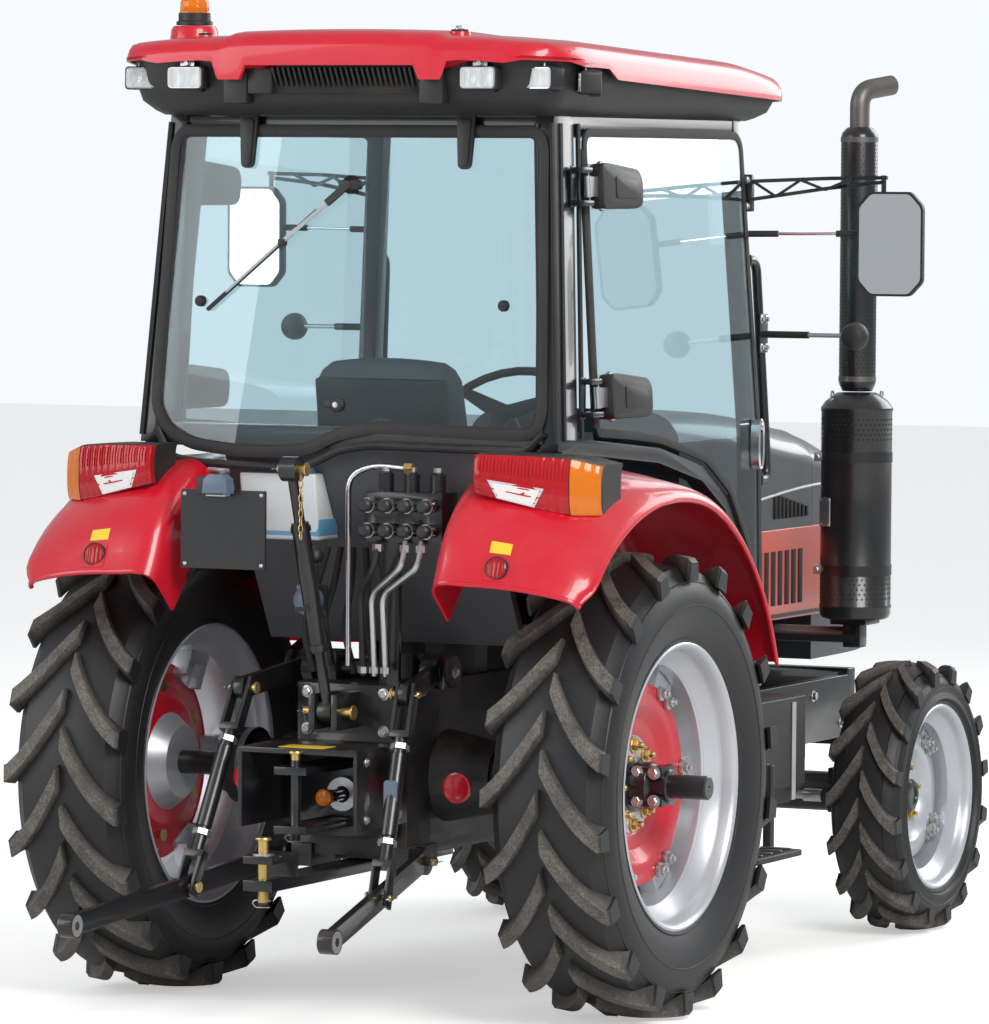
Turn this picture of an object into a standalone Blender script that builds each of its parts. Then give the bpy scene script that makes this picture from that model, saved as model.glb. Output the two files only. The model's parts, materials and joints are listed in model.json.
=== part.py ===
"""Compact four-wheel-drive farm tractor with a cab, three-point linkage and upright exhaust.

World frame: +Z up, the tractor faces -Y, its right-hand side is -X, and it stands on z = 0.
Every size below is in metres. Lengths called "y" are measured from the rear axle, + to the rear,
because an empty named tractor, at the rear axle, carries all the pieces.
"""

from math import atan2, cos, pi, radians, sin, sqrt

import bmesh
import bpy
from mathutils import Matrix, Vector

# ---------------------------------------------------------------- driving dimensions
GAP = 0.0003            # between pieces that touch
RUNNING_GAP = 0.0006    # between the ends of a turning piece and its seat
SIDES = {"left": 1, "right": -1}

FRONT_REACH = 2.95      # rear axle to the foremost face, the weight carrier
REAR_REACH = 1.24       # rear axle to the rearmost point, the lower link balls

REAR_TYRE_R = 0.660
REAR_TYRE_W = 0.370
REAR_TRACK_X = 0.745    # centre plane of a rear tyre
REAR_RIM_R = 0.4064     # flange of a 30 inch rim
REAR_RIM_W = 0.306
FRONT_TYRE_R = 0.428
FRONT_TYRE_W = 0.245
FRONT_TRACK_X = 0.665
FRONT_RIM_R = 0.291     # flange of a 20 inch rim
FRONT_RIM_W = 0.216
WHEELBASE = 2.33
KINGPIN_X = 0.515
FLANGE_H = 0.014        # height of a rim's flange over its bead seat
FLANGE_T = 0.010
RIM_SKIN = 0.008
WELL_DEPTH = 0.045
DISC_T = 0.012
DISC_DISH = 0.035
REAR_HUB = (-0.075, 0.055, 0.095)   # inboard end, outboard end, radius, from the tyre's centre plane
FRONT_HUB = (-0.055, 0.052, 0.075)
HUB_CAP = 0.004
BAR_AXLE_R = 0.034
BAR_AXLE_END_X = 0.98
TRUMPET_END_X = 0.535
TRUMPET_FLANGE_R = 0.11
STEER_ARM = 0.15        # kingpin to the steering rod
STEER_ROD_R = 0.013
STEER_ROD_END_X = 0.425
KNUCKLE_R = 0.068

GEARBOX_HALF_W = 0.17
ENGINE_HALF_W = 0.20
ENGINE_BOTTOM_Z = 0.60
ENGINE_TOP_Z = 1.20
ENGINE_FRONT_Y = -2.10
ENGINE_REAR_Y = -1.19
GEARBOX_TOP_Z = 0.93
GEARBOX_REAR_Y = 0.27
CLUTCH_TOP_Z = 0.798
RAIL_T = 0.035
RAIL_TOP_Z = 0.75
RAIL_BOTTOM_Z = 0.55

HOOD_REAR_Y = -1.22
HOOD_SEAM_Z = 1.268     # lower edge of the hood sides
HOOD_SKIN = 0.012
HOOD_HINGE_Z = 1.60
NOSE_REAR_Y = -2.47
NOSE_BOTTOM_Z = 0.84
SIDE_PANEL_BOTTOM_Z = 0.985
SIDE_PANEL_X = 0.352
SIDE_PANEL_T = 0.018

CAB_BOTTOM_HALF_W = 0.655
CAB_TOP_HALF_W = 0.600
CAB_BOTTOM_Z = 0.93
CAB_TOP_Z = 2.53
CAB_REAR_Y = 0.325      # rear face of the cab posts at window sill height
CAB_REAR_TOP_Y = 0.250
CAB_FRONT_Y = -1.150
CAB_FRONT_TOP_Y = -1.080
WINDOW_SILL_Z = 1.60
POST = 0.055
GLASS_T = 0.006
FLOOR_T = 0.035
FLOOR_LOW_Z = 0.80
FLOOR_HIGH_Z = 1.03
REAR_PANEL_FOOT_Y = 0.0
POST_FOOT_Z = CAB_BOTTOM_Z - 0.08

ROOF_TOP_Z = 2.785
ROOF_RIM_Z = 2.635
ROOF_HALF_W = 0.700
ROOF_REAR_Y = 0.455
ROOF_FRONT_Y = -1.290
ROOF_FALL = 0.035       # fall of the roof to the front, in metres a metre
BEACON_X = 0.545
BEACON_Y = 0.215
BEACON_SEAT_Z = 2.785
VISOR_BOTTOM_Z = CAB_TOP_Z + GAP

FENDER_INNER_X = 0.425
FENDER_OUTER_X = 0.885
FENDER_T = 0.008

HITCH_PIVOT = Vector((0.215, 0.26, 0.435))
LINK_BALL = Vector((0.395, 1.206, 0.315))
LINK_BALL_R = REAR_REACH - LINK_BALL.y
LIFT_AXIS = Vector((0.0, 0.150, 0.962))
LIFT_SHAFT_R = 0.028
LIFT_ARM_X = 0.205
TOP_LINK_FOOT = Vector((0.0, 0.43, 0.860))
TOP_LINK_HEAD = Vector((0.045, 0.575, 1.545))
LIFT_ARM_END = Vector((0.257, 0.455, 0.920))
LIFT_ROD_FOOT = 0.47    # share of the lower link's length at which the lift rod holds it
HITCH_PIN_R = 0.013

EXHAUST_X = -0.600
EXHAUST_Y = -2.030
SILENCER_R = 0.113
SILENCER_BOTTOM_Z = 0.995
SILENCER_TOP_Z = 1.665
STACK_R = 0.059
STACK_TOP_Z = 2.53

DOOR_AXIS_Y = 0.110
DOOR_AXIS_OUT = 0.030   # hinge axis outside the door glass
HINGE_HEIGHTS = (1.775, 2.400)
MIRROR_X = 1.050
MIRROR_Y = -1.160
MIRROR_Z = 2.170
MIRROR_W = 0.210
MIRROR_H = 0.320

WHEEL_SIDES = 24        # flats round a tyre; one of them stands on the ground
REAR_AXLE_Y = (FRONT_REACH - REAR_REACH) / 2
REAR_AXLE_Z = REAR_TYRE_R * cos(pi / WHEEL_SIDES)
FRONT_AXLE_Z = FRONT_TYRE_R * cos(pi / WHEEL_SIDES)


# ---------------------------------------------------------------- helpers
def clear_scene():
    for obj in list(bpy.data.objects):
        bpy.data.objects.remove(obj, do_unlink=True)


def finish(name, colour, roughness, metallic=0.0):
    """A Principled material of one colour."""
    material = bpy.data.materials.get(name) or bpy.data.materials.new(name)
    material.use_nodes = True
    shader = material.node_tree.nodes["Principled BSDF"]
    shader.inputs["Base Color"].default_value = (*colour, 1)
    shader.inputs["Roughness"].default_value = roughness
    shader.inputs["Metallic"].default_value = metallic
    return material


RED = ("red_paint", (0.55, 0.012, 0.03), 0.22, 0.0)
BLACK = ("black_paint", (0.012, 0.013, 0.016), 0.35, 0.0)
PLASTIC = ("black_plastic", (0.018, 0.018, 0.02), 0.5, 0.0)
CASTING = ("cast_iron", (0.03, 0.03, 0.034), 0.5, 0.4)
STEEL = ("rim_steel", (0.62, 0.64, 0.68), 0.35, 0.8)
RUBBER = ("tyre_rubber", (0.022, 0.021, 0.02), 0.75, 0.0)
GLASS = ("glass", (0.55, 0.68, 0.7), 0.05, 0.0)
LAMP = ("lamp_lens", (0.6, 0.02, 0.02), 0.15, 0.0)
AMBER = ("amber_lens", (0.9, 0.28, 0.02), 0.15, 0.0)
GREY = ("hood_grey", (0.05, 0.055, 0.065), 0.4, 0.0)
FABRIC = ("seat_cover", (0.03, 0.03, 0.032), 0.8, 0.0)
TANK = ("white_tank", (0.75, 0.77, 0.78), 0.45, 0.0)


def solid(name, points, faces):
    """A closed mesh from points and faces, its normals facing out."""
    mesh = bpy.data.meshes.new(name)
    mesh.from_pydata([tuple(p) for p in points], [], faces)
    shape = bmesh.new()
    shape.from_mesh(mesh)
    bmesh.ops.remove_doubles(shape, verts=shape.verts, dist=1e-6)
    bmesh.ops.recalc_face_normals(shape, faces=shape.faces)
    shape.to_mesh(mesh)
    shape.free()
    obj = bpy.data.objects.new(name, mesh)
    bpy.context.scene.collection.objects.link(obj)
    return obj


def loft(rings, name="loft"):
    """Joins rings of equally many points, and closes both ends."""
    count = len(rings[0])
    points = [p for ring in rings for p in ring]
    faces = []
    for i in range(len(rings) - 1):
        for j in range(count):
            k = (j + 1) % count
            a, b, c, d = i * count + j, i * count + k, (i + 1) * count + k, (i + 1) * count + j
            faces += [(a, b, c), (a, c, d)]
    faces.append(tuple(range(count)))
    last = (len(rings) - 1) * count
    faces.append(tuple(range(last, last + count)))
    return solid(name, points, faces)


def box(low, high, name="box"):
    x0, y0, z0 = low
    x1, y1, z1 = high
    rings = [[(x, y0, z0), (x, y1, z0), (x, y1, z1), (x, y0, z1)] for x in (x0, x1)]
    return loft(rings, name)


def prism(outline, axis, low, high, name="prism"):
    """An outline in the two other axes, extruded along axis from low to high."""
    place = {"X": lambda u, v, h: (h, u, v), "Y": lambda u, v, h: (u, h, v), "Z": lambda u, v, h: (u, v, h)}[axis]
    return loft([[place(u, v, h) for u, v in outline] for h in (low, high)], name)


def turned(profile, centre, axis="X", sides=32, name="turned"):
    """A closed profile of (distance along the axis, radius) turned about the axis, with a flat at the bottom."""
    points, faces = [], []
    count = len(profile)
    for i in range(sides):
        angle = 2 * pi * (i + 0.5) / sides
        for along, r in profile:
            a, b = r * cos(angle), r * sin(angle)
            offset = {"X": (along, a, b), "Y": (b, along, a), "Z": (a, b, along)}[axis]
            points.append(Vector(centre) + Vector(offset))
    for i in range(sides):
        n = (i + 1) % sides
        for j in range(count):
            k = (j + 1) % count
            if profile[j][1] == 0 and profile[k][1] == 0:
                continue
            faces.append((i * count + j, i * count + k, n * count + k, n * count + j))
    return solid(name, points, faces)


def rod(start, end, radius, sides=16, end_radius=None):
    """A round bar between two points."""
    start, end = Vector(start), Vector(end)
    turn = (end - start).to_track_quat("Z", "Y").to_matrix()
    rings = []
    for centre, r in ((start, radius), (end, end_radius or radius)):
        ring = [centre + turn @ Vector((r * cos(2 * pi * i / sides), r * sin(2 * pi * i / sides), 0)) for i in range(sides)]
        rings.append(ring)
    return loft(rings, "rod")


def rounded_path(corners, bend, steps=4):
    """A polyline's points with each inner corner made an arc of tangent length bend."""
    corners = [Vector(c) for c in corners]
    path = [corners[0]]
    for before, corner, after in zip(corners, corners[1:], corners[2:]):
        reach = min(bend, (before - corner).length / 2.1, (after - corner).length / 2.1)
        a = corner + (before - corner).normalized() * reach
        b = corner + (after - corner).normalized() * reach
        for i in range(steps + 1):
            t = i / steps
            path.append(a * (1 - t) ** 2 + corner * 2 * t * (1 - t) + b * t ** 2)
    path.append(corners[-1])
    return path


def tube(corners, radius, bend=0.06, sides=12, steps=4):
    """A round tube along a path with rounded corners."""
    path = rounded_path(corners, bend, steps)
    rings = []
    side = None
    for i, point in enumerate(path):
        before = path[max(i - 1, 0)]
        after = path[min(i + 1, len(path) - 1)]
        along = (after - before).normalized()
        if side is None:
            side = along.orthogonal().normalized()
        side = (side - along * side.dot(along)).normalized()
        other = along.cross(side)
        ring = []
        for k in range(sides):
            angle = 2 * pi * k / sides
            ring.append(point + side * (radius * cos(angle)) + other * (radius * sin(angle)))
        rings.append(ring)
    return loft(rings, "tube")


def bar(corners, width, height, across=(1, 0, 0)):
    """A flat bar along a path in a plane; width lies along across."""
    corners = [Vector(c) for c in corners]
    across = Vector(across)
    rings = []
    for i, point in enumerate(corners):
        before = corners[max(i - 1, 0)]
        after = corners[min(i + 1, len(corners) - 1)]
        along = (after - before).normalized()
        up = along.cross(across).normalized()
        inner = (corners[i] - before).normalized() if i else along
        stretch = 1 / max(0.5, along.dot(inner))
        w, h = across * (width / 2), up * (height / 2 * stretch)
        rings.append([point - w - h, point + w - h, point + w + h, point - w + h])
    return loft(rings, "bar")


def part(name, pieces, look, cutters=(), pivot=None, smooth=40):
    """Unites the pieces into one node, takes the cutters away, and sets its origin on its pivot."""
    node = pieces[0]
    node.name = name
    node.data.name = name
    node.data.materials.append(finish(*look))
    if pivot is not None:
        node.data.transform(Matrix.Translation(-Vector(pivot)))
        node.location = pivot
    for operation, helpers in (("UNION", pieces[1:]), ("DIFFERENCE", cutters)):
        for number, helper in enumerate(helpers):
            helper.name = f"{name}_{operation.lower()}_{number}"
            helper.hide_render = True
            helper.display_type = "WIRE"
            helper.parent = tractor
            boolean = node.modifiers.new(helper.name, "BOOLEAN")
            boolean.operation = operation
            boolean.solver = "EXACT"
            boolean.object = helper
    node.parent = tractor
    node.data.shade_smooth()
    node.data.set_sharp_from_angle(angle=radians(smooth))
    return node


def mirrored(vector, side):
    return Vector((vector[0] * side, vector[1], vector[2]))


def between(low, high, share):
    return low + (high - low) * share


def cab_half_width(z):
    """Half-width of the cab's outer face at a height; it narrows towards the roof."""
    share = (z - WINDOW_SILL_Z) / (CAB_TOP_Z - WINDOW_SILL_Z)
    return CAB_BOTTOM_HALF_W + (CAB_TOP_HALF_W - CAB_BOTTOM_HALF_W) * max(share, 0)


def cab_rear_y(z):
    share = (z - WINDOW_SILL_Z) / (CAB_TOP_Z - WINDOW_SILL_Z)
    return CAB_REAR_Y + (CAB_REAR_TOP_Y - CAB_REAR_Y) * share


def cab_front_y(z):
    share = (z - CAB_BOTTOM_Z) / (CAB_TOP_Z - CAB_BOTTOM_Z)
    return CAB_FRONT_Y + (CAB_FRONT_TOP_Y - CAB_FRONT_Y) * share


# ---------------------------------------------------------------- wheels
def tyre(name, centre, radius, width, rim_radius, rim_width, pivot):
    """A closed ring that sits on the rim's bead seats, between its flanges."""
    bead = rim_radius - FLANGE_H
    in_flange = rim_width / 2 - FLANGE_T - 0.001
    half = width / 2
    profile = [
        # (across, radius)
        (-in_flange, bead), (in_flange, bead), (in_flange, rim_radius),
        (half, between(rim_radius, radius, 0.45)), (half * 0.96, between(rim_radius, radius, 0.85)),
        (half * 0.80, radius),
    ]
    profile += [(-across, r) for across, r in reversed(profile[2:])]
    ring = turned(profile, centre, "X", WHEEL_SIDES)
    return part(name, [ring], RUBBER, pivot=pivot)


def rim(name, centre, side, rim_radius, rim_width, disc, hub, shaft):
    """A drop-centre rim, its dished disc, its hub and, at the rear, the bar axle, as one turned profile.

    disc is the disc's place across the wheel; hub and shaft are (inboard end, outboard end, radius).
    """
    half = rim_width / 2
    seat = rim_radius - FLANGE_H - 2 * GAP
    inside = seat - RIM_SKIN
    well = seat - WELL_DEPTH
    well_inside = well - RIM_SKIN
    hub_in, hub_out, hub_r = hub
    shaft_in, shaft_out, shaft_r = shaft
    profile = [(shaft_in, 0.0), (shaft_in, shaft_r), (hub_in, shaft_r), (hub_in, hub_r), (disc, hub_r)]
    profile += [(disc, well * 0.55), (disc + DISC_DISH, well * 0.80), (disc + DISC_DISH, well_inside)]
    profile += [(-half * 0.41, well_inside), (-half * 0.66, inside), (-half, inside), (-half, rim_radius)]
    profile += [(-half + FLANGE_T, rim_radius), (-half + FLANGE_T, seat), (-half * 0.70, seat), (-half * 0.45, well)]
    profile += [(half * 0.45, well), (half * 0.70, seat), (half - FLANGE_T, seat), (half - FLANGE_T, rim_radius)]
    profile += [(half, rim_radius), (half, inside), (half * 0.66, inside), (half * 0.41, well_inside)]
    disc_out = disc + DISC_T
    profile += [(disc_out + DISC_DISH, well_inside), (disc_out + DISC_DISH, well * 0.78), (disc_out, well * 0.52)]
    profile += [(disc_out, hub_r), (hub_out, hub_r), (hub_out, shaft_r), (shaft_out, shaft_r), (shaft_out, 0.0)]
    body = turned([(across * side, r) for across, r in profile], centre, "X", WHEEL_SIDES)
    return part(name, [body], STEEL, pivot=centre)


def rear_wheels():
    for word, side in SIDES.items():
        centre = Vector((side * REAR_TRACK_X, 0, REAR_AXLE_Z))
        shaft = (TRUMPET_END_X + RUNNING_GAP - REAR_TRACK_X, BAR_AXLE_END_X - REAR_TRACK_X, BAR_AXLE_R)
        rim(f"rear_rim_{word}", centre, side, REAR_RIM_R, REAR_RIM_W, -0.030, REAR_HUB, shaft)
        tyre(f"rear_tyre_{word}", centre, REAR_TYRE_R, REAR_TYRE_W, REAR_RIM_R, REAR_RIM_W, centre)


def front_wheels():
    for word, side in SIDES.items():
        centre = Vector((side * FRONT_TRACK_X, -WHEELBASE, FRONT_AXLE_Z))
        shaft = (FRONT_HUB[0] - HUB_CAP, FRONT_HUB[1] + 0.018, 0.045)
        rim(f"front_rim_{word}", centre, side, FRONT_RIM_R, FRONT_RIM_W, -0.035, FRONT_HUB, shaft)
        tyre(f"front_tyre_{word}", centre, FRONT_TYRE_R, FRONT_TYRE_W, FRONT_RIM_R, FRONT_RIM_W, centre)


# ---------------------------------------------------------------- driveline and frame
def gearbox():
    """Clutch housing, gearbox and rear axle case with its trumpets, one row of castings."""
    pieces = [box((-GEARBOX_HALF_W, -0.42, 0.44), (GEARBOX_HALF_W, GEARBOX_REAR_Y, GEARBOX_TOP_Z), "gearbox")]
    pieces.append(box((-0.14, ENGINE_REAR_Y + GAP, 0.50), (0.14, -0.40, CLUTCH_TOP_Z)))
    pieces.append(rod((-TRUMPET_END_X, 0, REAR_AXLE_Z), (TRUMPET_END_X, 0, REAR_AXLE_Z), 0.082, 20))
    for side in SIDES.values():
        pieces.append(rod((side * 0.16, 0, REAR_AXLE_Z), (side * 0.34, 0, REAR_AXLE_Z), 0.135, 20, 0.10))
        pieces.append(rod((side * 0.44, 0, REAR_AXLE_Z), (side * 0.50, 0, REAR_AXLE_Z), TRUMPET_FLANGE_R, 20))
        pieces.append(rod((side * (HITCH_PIVOT.x - 0.045), HITCH_PIVOT.y, HITCH_PIVOT.z),
                          (side * (HITCH_PIVOT.x + 0.030), HITCH_PIVOT.y, HITCH_PIVOT.z), HITCH_PIN_R, 12))
        pieces.append(box((side * 0.12, 0.10, 0.405), (side * (HITCH_PIVOT.x - 0.030), HITCH_PIVOT.y + 0.03, 0.47)))
        pieces.append(box((side * 0.09, LIFT_AXIS.y - 0.05, GEARBOX_TOP_Z - 0.01), (side * 0.15, LIFT_AXIS.y + 0.05, LIFT_AXIS.z + 0.05)))
    bore = rod((-0.2, LIFT_AXIS.y, LIFT_AXIS.z), (0.2, LIFT_AXIS.y, LIFT_AXIS.z), LIFT_SHAFT_R + RUNNING_GAP, 20)
    part("gearbox", pieces, CASTING, [bore])


def engine():
    low = (-ENGINE_HALF_W, ENGINE_FRONT_Y, ENGINE_BOTTOM_Z)
    high = (ENGINE_HALF_W, ENGINE_REAR_Y, ENGINE_TOP_Z)
    part("engine", [box(low, high, "engine")], CASTING)


def front_frame():
    """Two side rails, the axle carrier casting under the engine, and the weight carrier in front."""
    rail_in = ENGINE_HALF_W + GAP
    rail_out = rail_in + RAIL_T
    pieces = [box((-rail_out, -WHEELBASE - 0.20, 0.505), (rail_out, -WHEELBASE + 0.22, ENGINE_BOTTOM_Z - GAP), "front_frame")]
    for side in SIDES.values():
        pieces.append(box((side * rail_in, -FRONT_REACH + 0.05, RAIL_BOTTOM_Z), (side * rail_out, -1.42, RAIL_TOP_Z)))
    pieces.append(box((-rail_out, -FRONT_REACH, 0.52), (rail_out, -FRONT_REACH + 0.06, RAIL_TOP_Z + 0.02)))
    part("front_frame", pieces, CASTING)


def front_axle():
    """The driven front axle's beam, with the yokes that hold the kingpins and the steering cylinder."""
    end = KINGPIN_X - KNUCKLE_R - RUNNING_GAP
    beam = [(-end, 0), (end, 0), (end, 0.036), (end - 0.04, 0.062), (0.04 - end, 0.062), (-end, 0.036)]
    pieces = [turned(beam, (0, -WHEELBASE, FRONT_AXLE_Z), "X", 20)]
    pieces.append(box((-0.15, -WHEELBASE - 0.11, 0.345), (0.15, -WHEELBASE + 0.09, 0.5047)))
    rod_y = -WHEELBASE + STEER_ARM
    barrel = turned([(-0.15, STEER_ROD_R + RUNNING_GAP), (0.15, STEER_ROD_R + RUNNING_GAP), (0.15, 0.033), (-0.15, 0.033)],
                    (0, rod_y, FRONT_AXLE_Z), "X", 20)
    pieces.append(barrel)
    pieces.append(box((-0.10, -WHEELBASE + 0.05, FRONT_AXLE_Z - 0.02), (0.10, rod_y - 0.022, FRONT_AXLE_Z + 0.02)))
    for side in SIDES.values():
        pieces.append(box((side * (end - 0.04), -WHEELBASE - 0.055, 0.36), (side * (end - 0.004), -WHEELBASE + 0.030, 0.50)))
    part("front_axle", pieces, CASTING)


def knuckles():
    """Each steering knuckle is a bevel gear case on the kingpin, with the hub and the steering arm."""
    for word, side in SIDES.items():
        pivot = Vector((side * KINGPIN_X, -WHEELBASE, FRONT_AXLE_Z))
        stub = FRONT_TRACK_X - KINGPIN_X + FRONT_HUB[0] - HUB_CAP - RUNNING_GAP
        pieces = [rod(pivot + Vector((0, 0, -0.12)), pivot + Vector((0, 0, 0.13)), KNUCKLE_R, 24)]
        pieces.append(rod(pivot, pivot + Vector((side * stub, 0, 0)), 0.062, 24))
        foot = pivot + Vector((-side * 0.045, STEER_ARM, 0))
        pieces.append(bar([pivot + Vector((0, 0.03, 0)), foot + Vector((0, 0.004, 0))], 0.04, 0.024, (1, 0, 0)))
        pieces.append(box(foot + Vector((-0.02, -0.02, -0.012)), foot + Vector((0.02, 0.02, 0.012))))
        part(f"knuckle_{word}", pieces, CASTING, pivot=pivot)


def steering_rod():
    """The rod through the steering cylinder; it slides and pushes both knuckle arms."""
    y = -WHEELBASE + STEER_ARM
    pieces = [rod((-STEER_ROD_END_X, y, FRONT_AXLE_Z), (STEER_ROD_END_X, y, FRONT_AXLE_Z), STEER_ROD_R, 16)]
    for side in SIDES.values():
        pieces.append(rod((side * (STEER_ROD_END_X - 0.05), y, FRONT_AXLE_Z), (side * (STEER_ROD_END_X + 0.012), y, FRONT_AXLE_Z), 0.02, 16))
    part("steering_rod", pieces, STEEL)


# ---------------------------------------------------------------- hood
def hood_ring(y, half, low, top, shoulder):
    """A ring of the hood's outline at one y: flat sides, round shoulders, crowned top."""
    right = [(half, low), (half, top - shoulder * 0.95)]
    for i in range(1, 5):
        angle = radians(90 * i / 5)
        right.append((half - shoulder * (1 - cos(angle)), top - shoulder * 0.95 * (1 - sin(angle))))
    right.append((half - shoulder * 1.4, top + 0.006))
    ring = [(x, y, z) for x, z in right] + [(-x, y, z) for x, z in reversed(right)]
    return ring


HOOD_SECTIONS = [
    # y, half-width, lower edge, top, shoulder radius
    (HOOD_REAR_Y, 0.352, HOOD_SEAM_Z, 1.655, 0.11),
    (-1.75, 0.352, HOOD_SEAM_Z, 1.630, 0.11),
    (-2.25, 0.345, HOOD_SEAM_Z, 1.570, 0.11),
    (-2.60, 0.330, HOOD_SEAM_Z, 1.480, 0.10),
    (-2.80, 0.310, HOOD_SEAM_Z, 1.390, 0.09),
]
NOSE_SECTIONS = [
    (NOSE_REAR_Y, 0.338, NOSE_BOTTOM_Z, 1.45, 0.10),
    (-2.72, 0.325, NOSE_BOTTOM_Z, 1.40, 0.10),
    (-2.86, 0.290, NOSE_BOTTOM_Z, 1.34, 0.09),
    (-2.92, 0.250, NOSE_BOTTOM_Z + 0.01, 1.27, 0.07),
]


def hood():
    pieces = [loft([hood_ring(*row) for row in HOOD_SECTIONS]), loft([hood_ring(*row) for row in NOSE_SECTIONS])]
    hollow_top = [(y + (HOOD_SKIN if i == 4 else 0.02 * (i == 0)), half - HOOD_SKIN, low - 0.05, top - HOOD_SKIN, shoulder)
                  for i, (y, half, low, top, shoulder) in enumerate(HOOD_SECTIONS)]
    hollow_nose = [(y + (0.02 if i == 3 else 0.03 * (i == 0)), half - HOOD_SKIN, low - 0.05, top - HOOD_SKIN, shoulder)
                   for i, (y, half, low, top, shoulder) in enumerate(NOSE_SECTIONS)]
    cutters = [loft([hood_ring(*row) for row in hollow_top]), loft([hood_ring(*row) for row in hollow_nose])]
    part("hood", pieces, GREY, cutters, pivot=(0, HOOD_REAR_Y, HOOD_HINGE_Z), smooth=30)


def side_panels():
    """Fixed panels below the hood's seam, each on two brackets off the engine."""
    for word, side in SIDES.items():
        inner = SIDE_PANEL_X - SIDE_PANEL_T
        pieces = [box((side * inner, NOSE_REAR_Y + 0.006, SIDE_PANEL_BOTTOM_Z),
                      (side * SIDE_PANEL_X, HOOD_REAR_Y, HOOD_SEAM_Z - 2 * GAP))]
        for y in (-1.95, -1.35):
            pieces.append(box((side * (ENGINE_HALF_W + GAP), y - 0.02, 1.05), (side * (inner + 0.004), y + 0.02, 1.07)))
        part(f"side_panel_{word}", pieces, RED)


# ---------------------------------------------------------------- cab
SILL_LINE = [
    # y, z of the cab's lower side rail, from the rear post to the foot of the front post
    (CAB_REAR_Y - POST / 2, 1.612), (0.05, 1.600), (-0.38, 1.565), (-0.70, 1.500), (-0.88, 1.405),
    (-1.02, 1.240), (-1.09, 1.060), (CAB_FRONT_Y + POST / 2, CAB_BOTTOM_Z),
]


def cab_frame():
    """Posts, sills and rails of the cab, welded into one frame."""
    pieces = []
    rail_z = CAB_TOP_Z - POST / 2
    for side in SIDES.values():
        foot = (side * (CAB_BOTTOM_HALF_W - POST / 2), CAB_REAR_Y - 0.045, 1.60)
        head = (side * (CAB_TOP_HALF_W - POST / 2), CAB_REAR_TOP_Y - 0.045, CAB_TOP_Z)
        rings = []
        for x, y, z in (foot, head):
            rings.append([(x - POST / 2, y - 0.085, z), (x + POST / 2, y - 0.085, z), (x + POST / 2, y + 0.045, z), (x - POST / 2, y + 0.045, z)])
        pieces.append(loft(rings, "post"))
        foot = (side * (CAB_BOTTOM_HALF_W - POST / 2), CAB_FRONT_Y + POST / 2, POST_FOOT_Z)
        knee = (side * (CAB_BOTTOM_HALF_W - POST / 2), cab_front_y(WINDOW_SILL_Z) + POST / 2, WINDOW_SILL_Z)
        head = (side * (CAB_TOP_HALF_W - POST / 2), CAB_FRONT_TOP_Y + POST / 2, CAB_TOP_Z)
        rings = []
        for x, y, z in (foot, knee, head):
            rings.append([(x - POST / 2, y - POST / 2, z), (x + POST / 2, y - POST / 2, z), (x + POST / 2, y + POST / 2, z), (x - POST / 2, y + POST / 2, z)])
        pieces.append(loft(rings, "post"))
        path = [(side * (CAB_BOTTOM_HALF_W - POST / 2), y, z) for y, z in SILL_LINE]
        pieces.append(bar(path, POST * 0.96, 0.042))
        x = side * (CAB_TOP_HALF_W - POST / 2)
        pieces.append(box((x - POST * 0.47, CAB_FRONT_TOP_Y + 0.01, CAB_TOP_Z - POST), (x + POST * 0.47, CAB_REAR_TOP_Y - 0.01, CAB_TOP_Z - 0.001)))
    inner = CAB_TOP_HALF_W - 0.03
    pieces.append(box((-inner, CAB_FRONT_TOP_Y + 0.003, CAB_TOP_Z - 0.052), (inner, CAB_FRONT_TOP_Y + POST - 0.003, CAB_TOP_Z - 0.002)))
    pieces.append(box((-inner, CAB_REAR_TOP_Y - 0.075, CAB_TOP_Z - 0.050), (inner, CAB_REAR_TOP_Y - 0.004, CAB_TOP_Z - 0.003)))
    inner = CAB_BOTTOM_HALF_W - 0.03
    pieces.append(box((-inner, CAB_REAR_Y - 0.080, 1.592), (inner, CAB_REAR_Y - 0.004, 1.655)))
    part("cab_frame", pieces, BLACK)


def rear_panel_y(z):
    """Rear face of the sloping panel under the rear window."""
    return between(REAR_PANEL_FOOT_Y, CAB_REAR_Y - 0.020, (z - FLOOR_HIGH_Z) / (1.592 - FLOOR_HIGH_Z))


def cab_floor():
    """Floor pan: low in front of the seat, high over the gearbox, with the panel under the rear window."""
    half = 0.400
    wide = CAB_BOTTOM_HALF_W - POST - GAP
    front = CAB_FRONT_Y + 0.002
    step_y = -0.820
    low_top, high_top = FLOOR_LOW_Z + FLOOR_T, FLOOR_HIGH_Z + FLOOR_T
    panel_top = 1.592 - GAP
    side_view = [
        # y, z round the pan's side view
        (front, FLOOR_LOW_Z), (step_y, FLOOR_LOW_Z), (step_y, FLOOR_HIGH_Z), (REAR_PANEL_FOOT_Y, FLOOR_HIGH_Z),
        (rear_panel_y(panel_top), panel_top), (rear_panel_y(panel_top) - FLOOR_T, panel_top),
        (rear_panel_y(high_top) - FLOOR_T, high_top), (step_y - FLOOR_T, high_top), (step_y - FLOOR_T, low_top), (front, low_top),
    ]
    pieces = [prism(side_view, "X", -half, half, "cab_floor")]
    for side in SIDES.values():
        pieces.append(box((side * (half - 0.01), front + 0.001, FLOOR_LOW_Z + 0.001), (side * wide, step_y - 0.001, low_top - 0.001)))
        pieces.append(box((side * 0.42, front + 0.002, FLOOR_LOW_Z + 0.01), (side * (CAB_BOTTOM_HALF_W - 0.008), front + 0.09, POST_FOOT_Z - GAP)))
        pieces.append(box((side * 0.05, -0.30, GEARBOX_TOP_Z + GAP), (side * 0.15, -0.22, FLOOR_HIGH_Z + 0.002)))
    part("cab_floor", pieces, PLASTIC)


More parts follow.
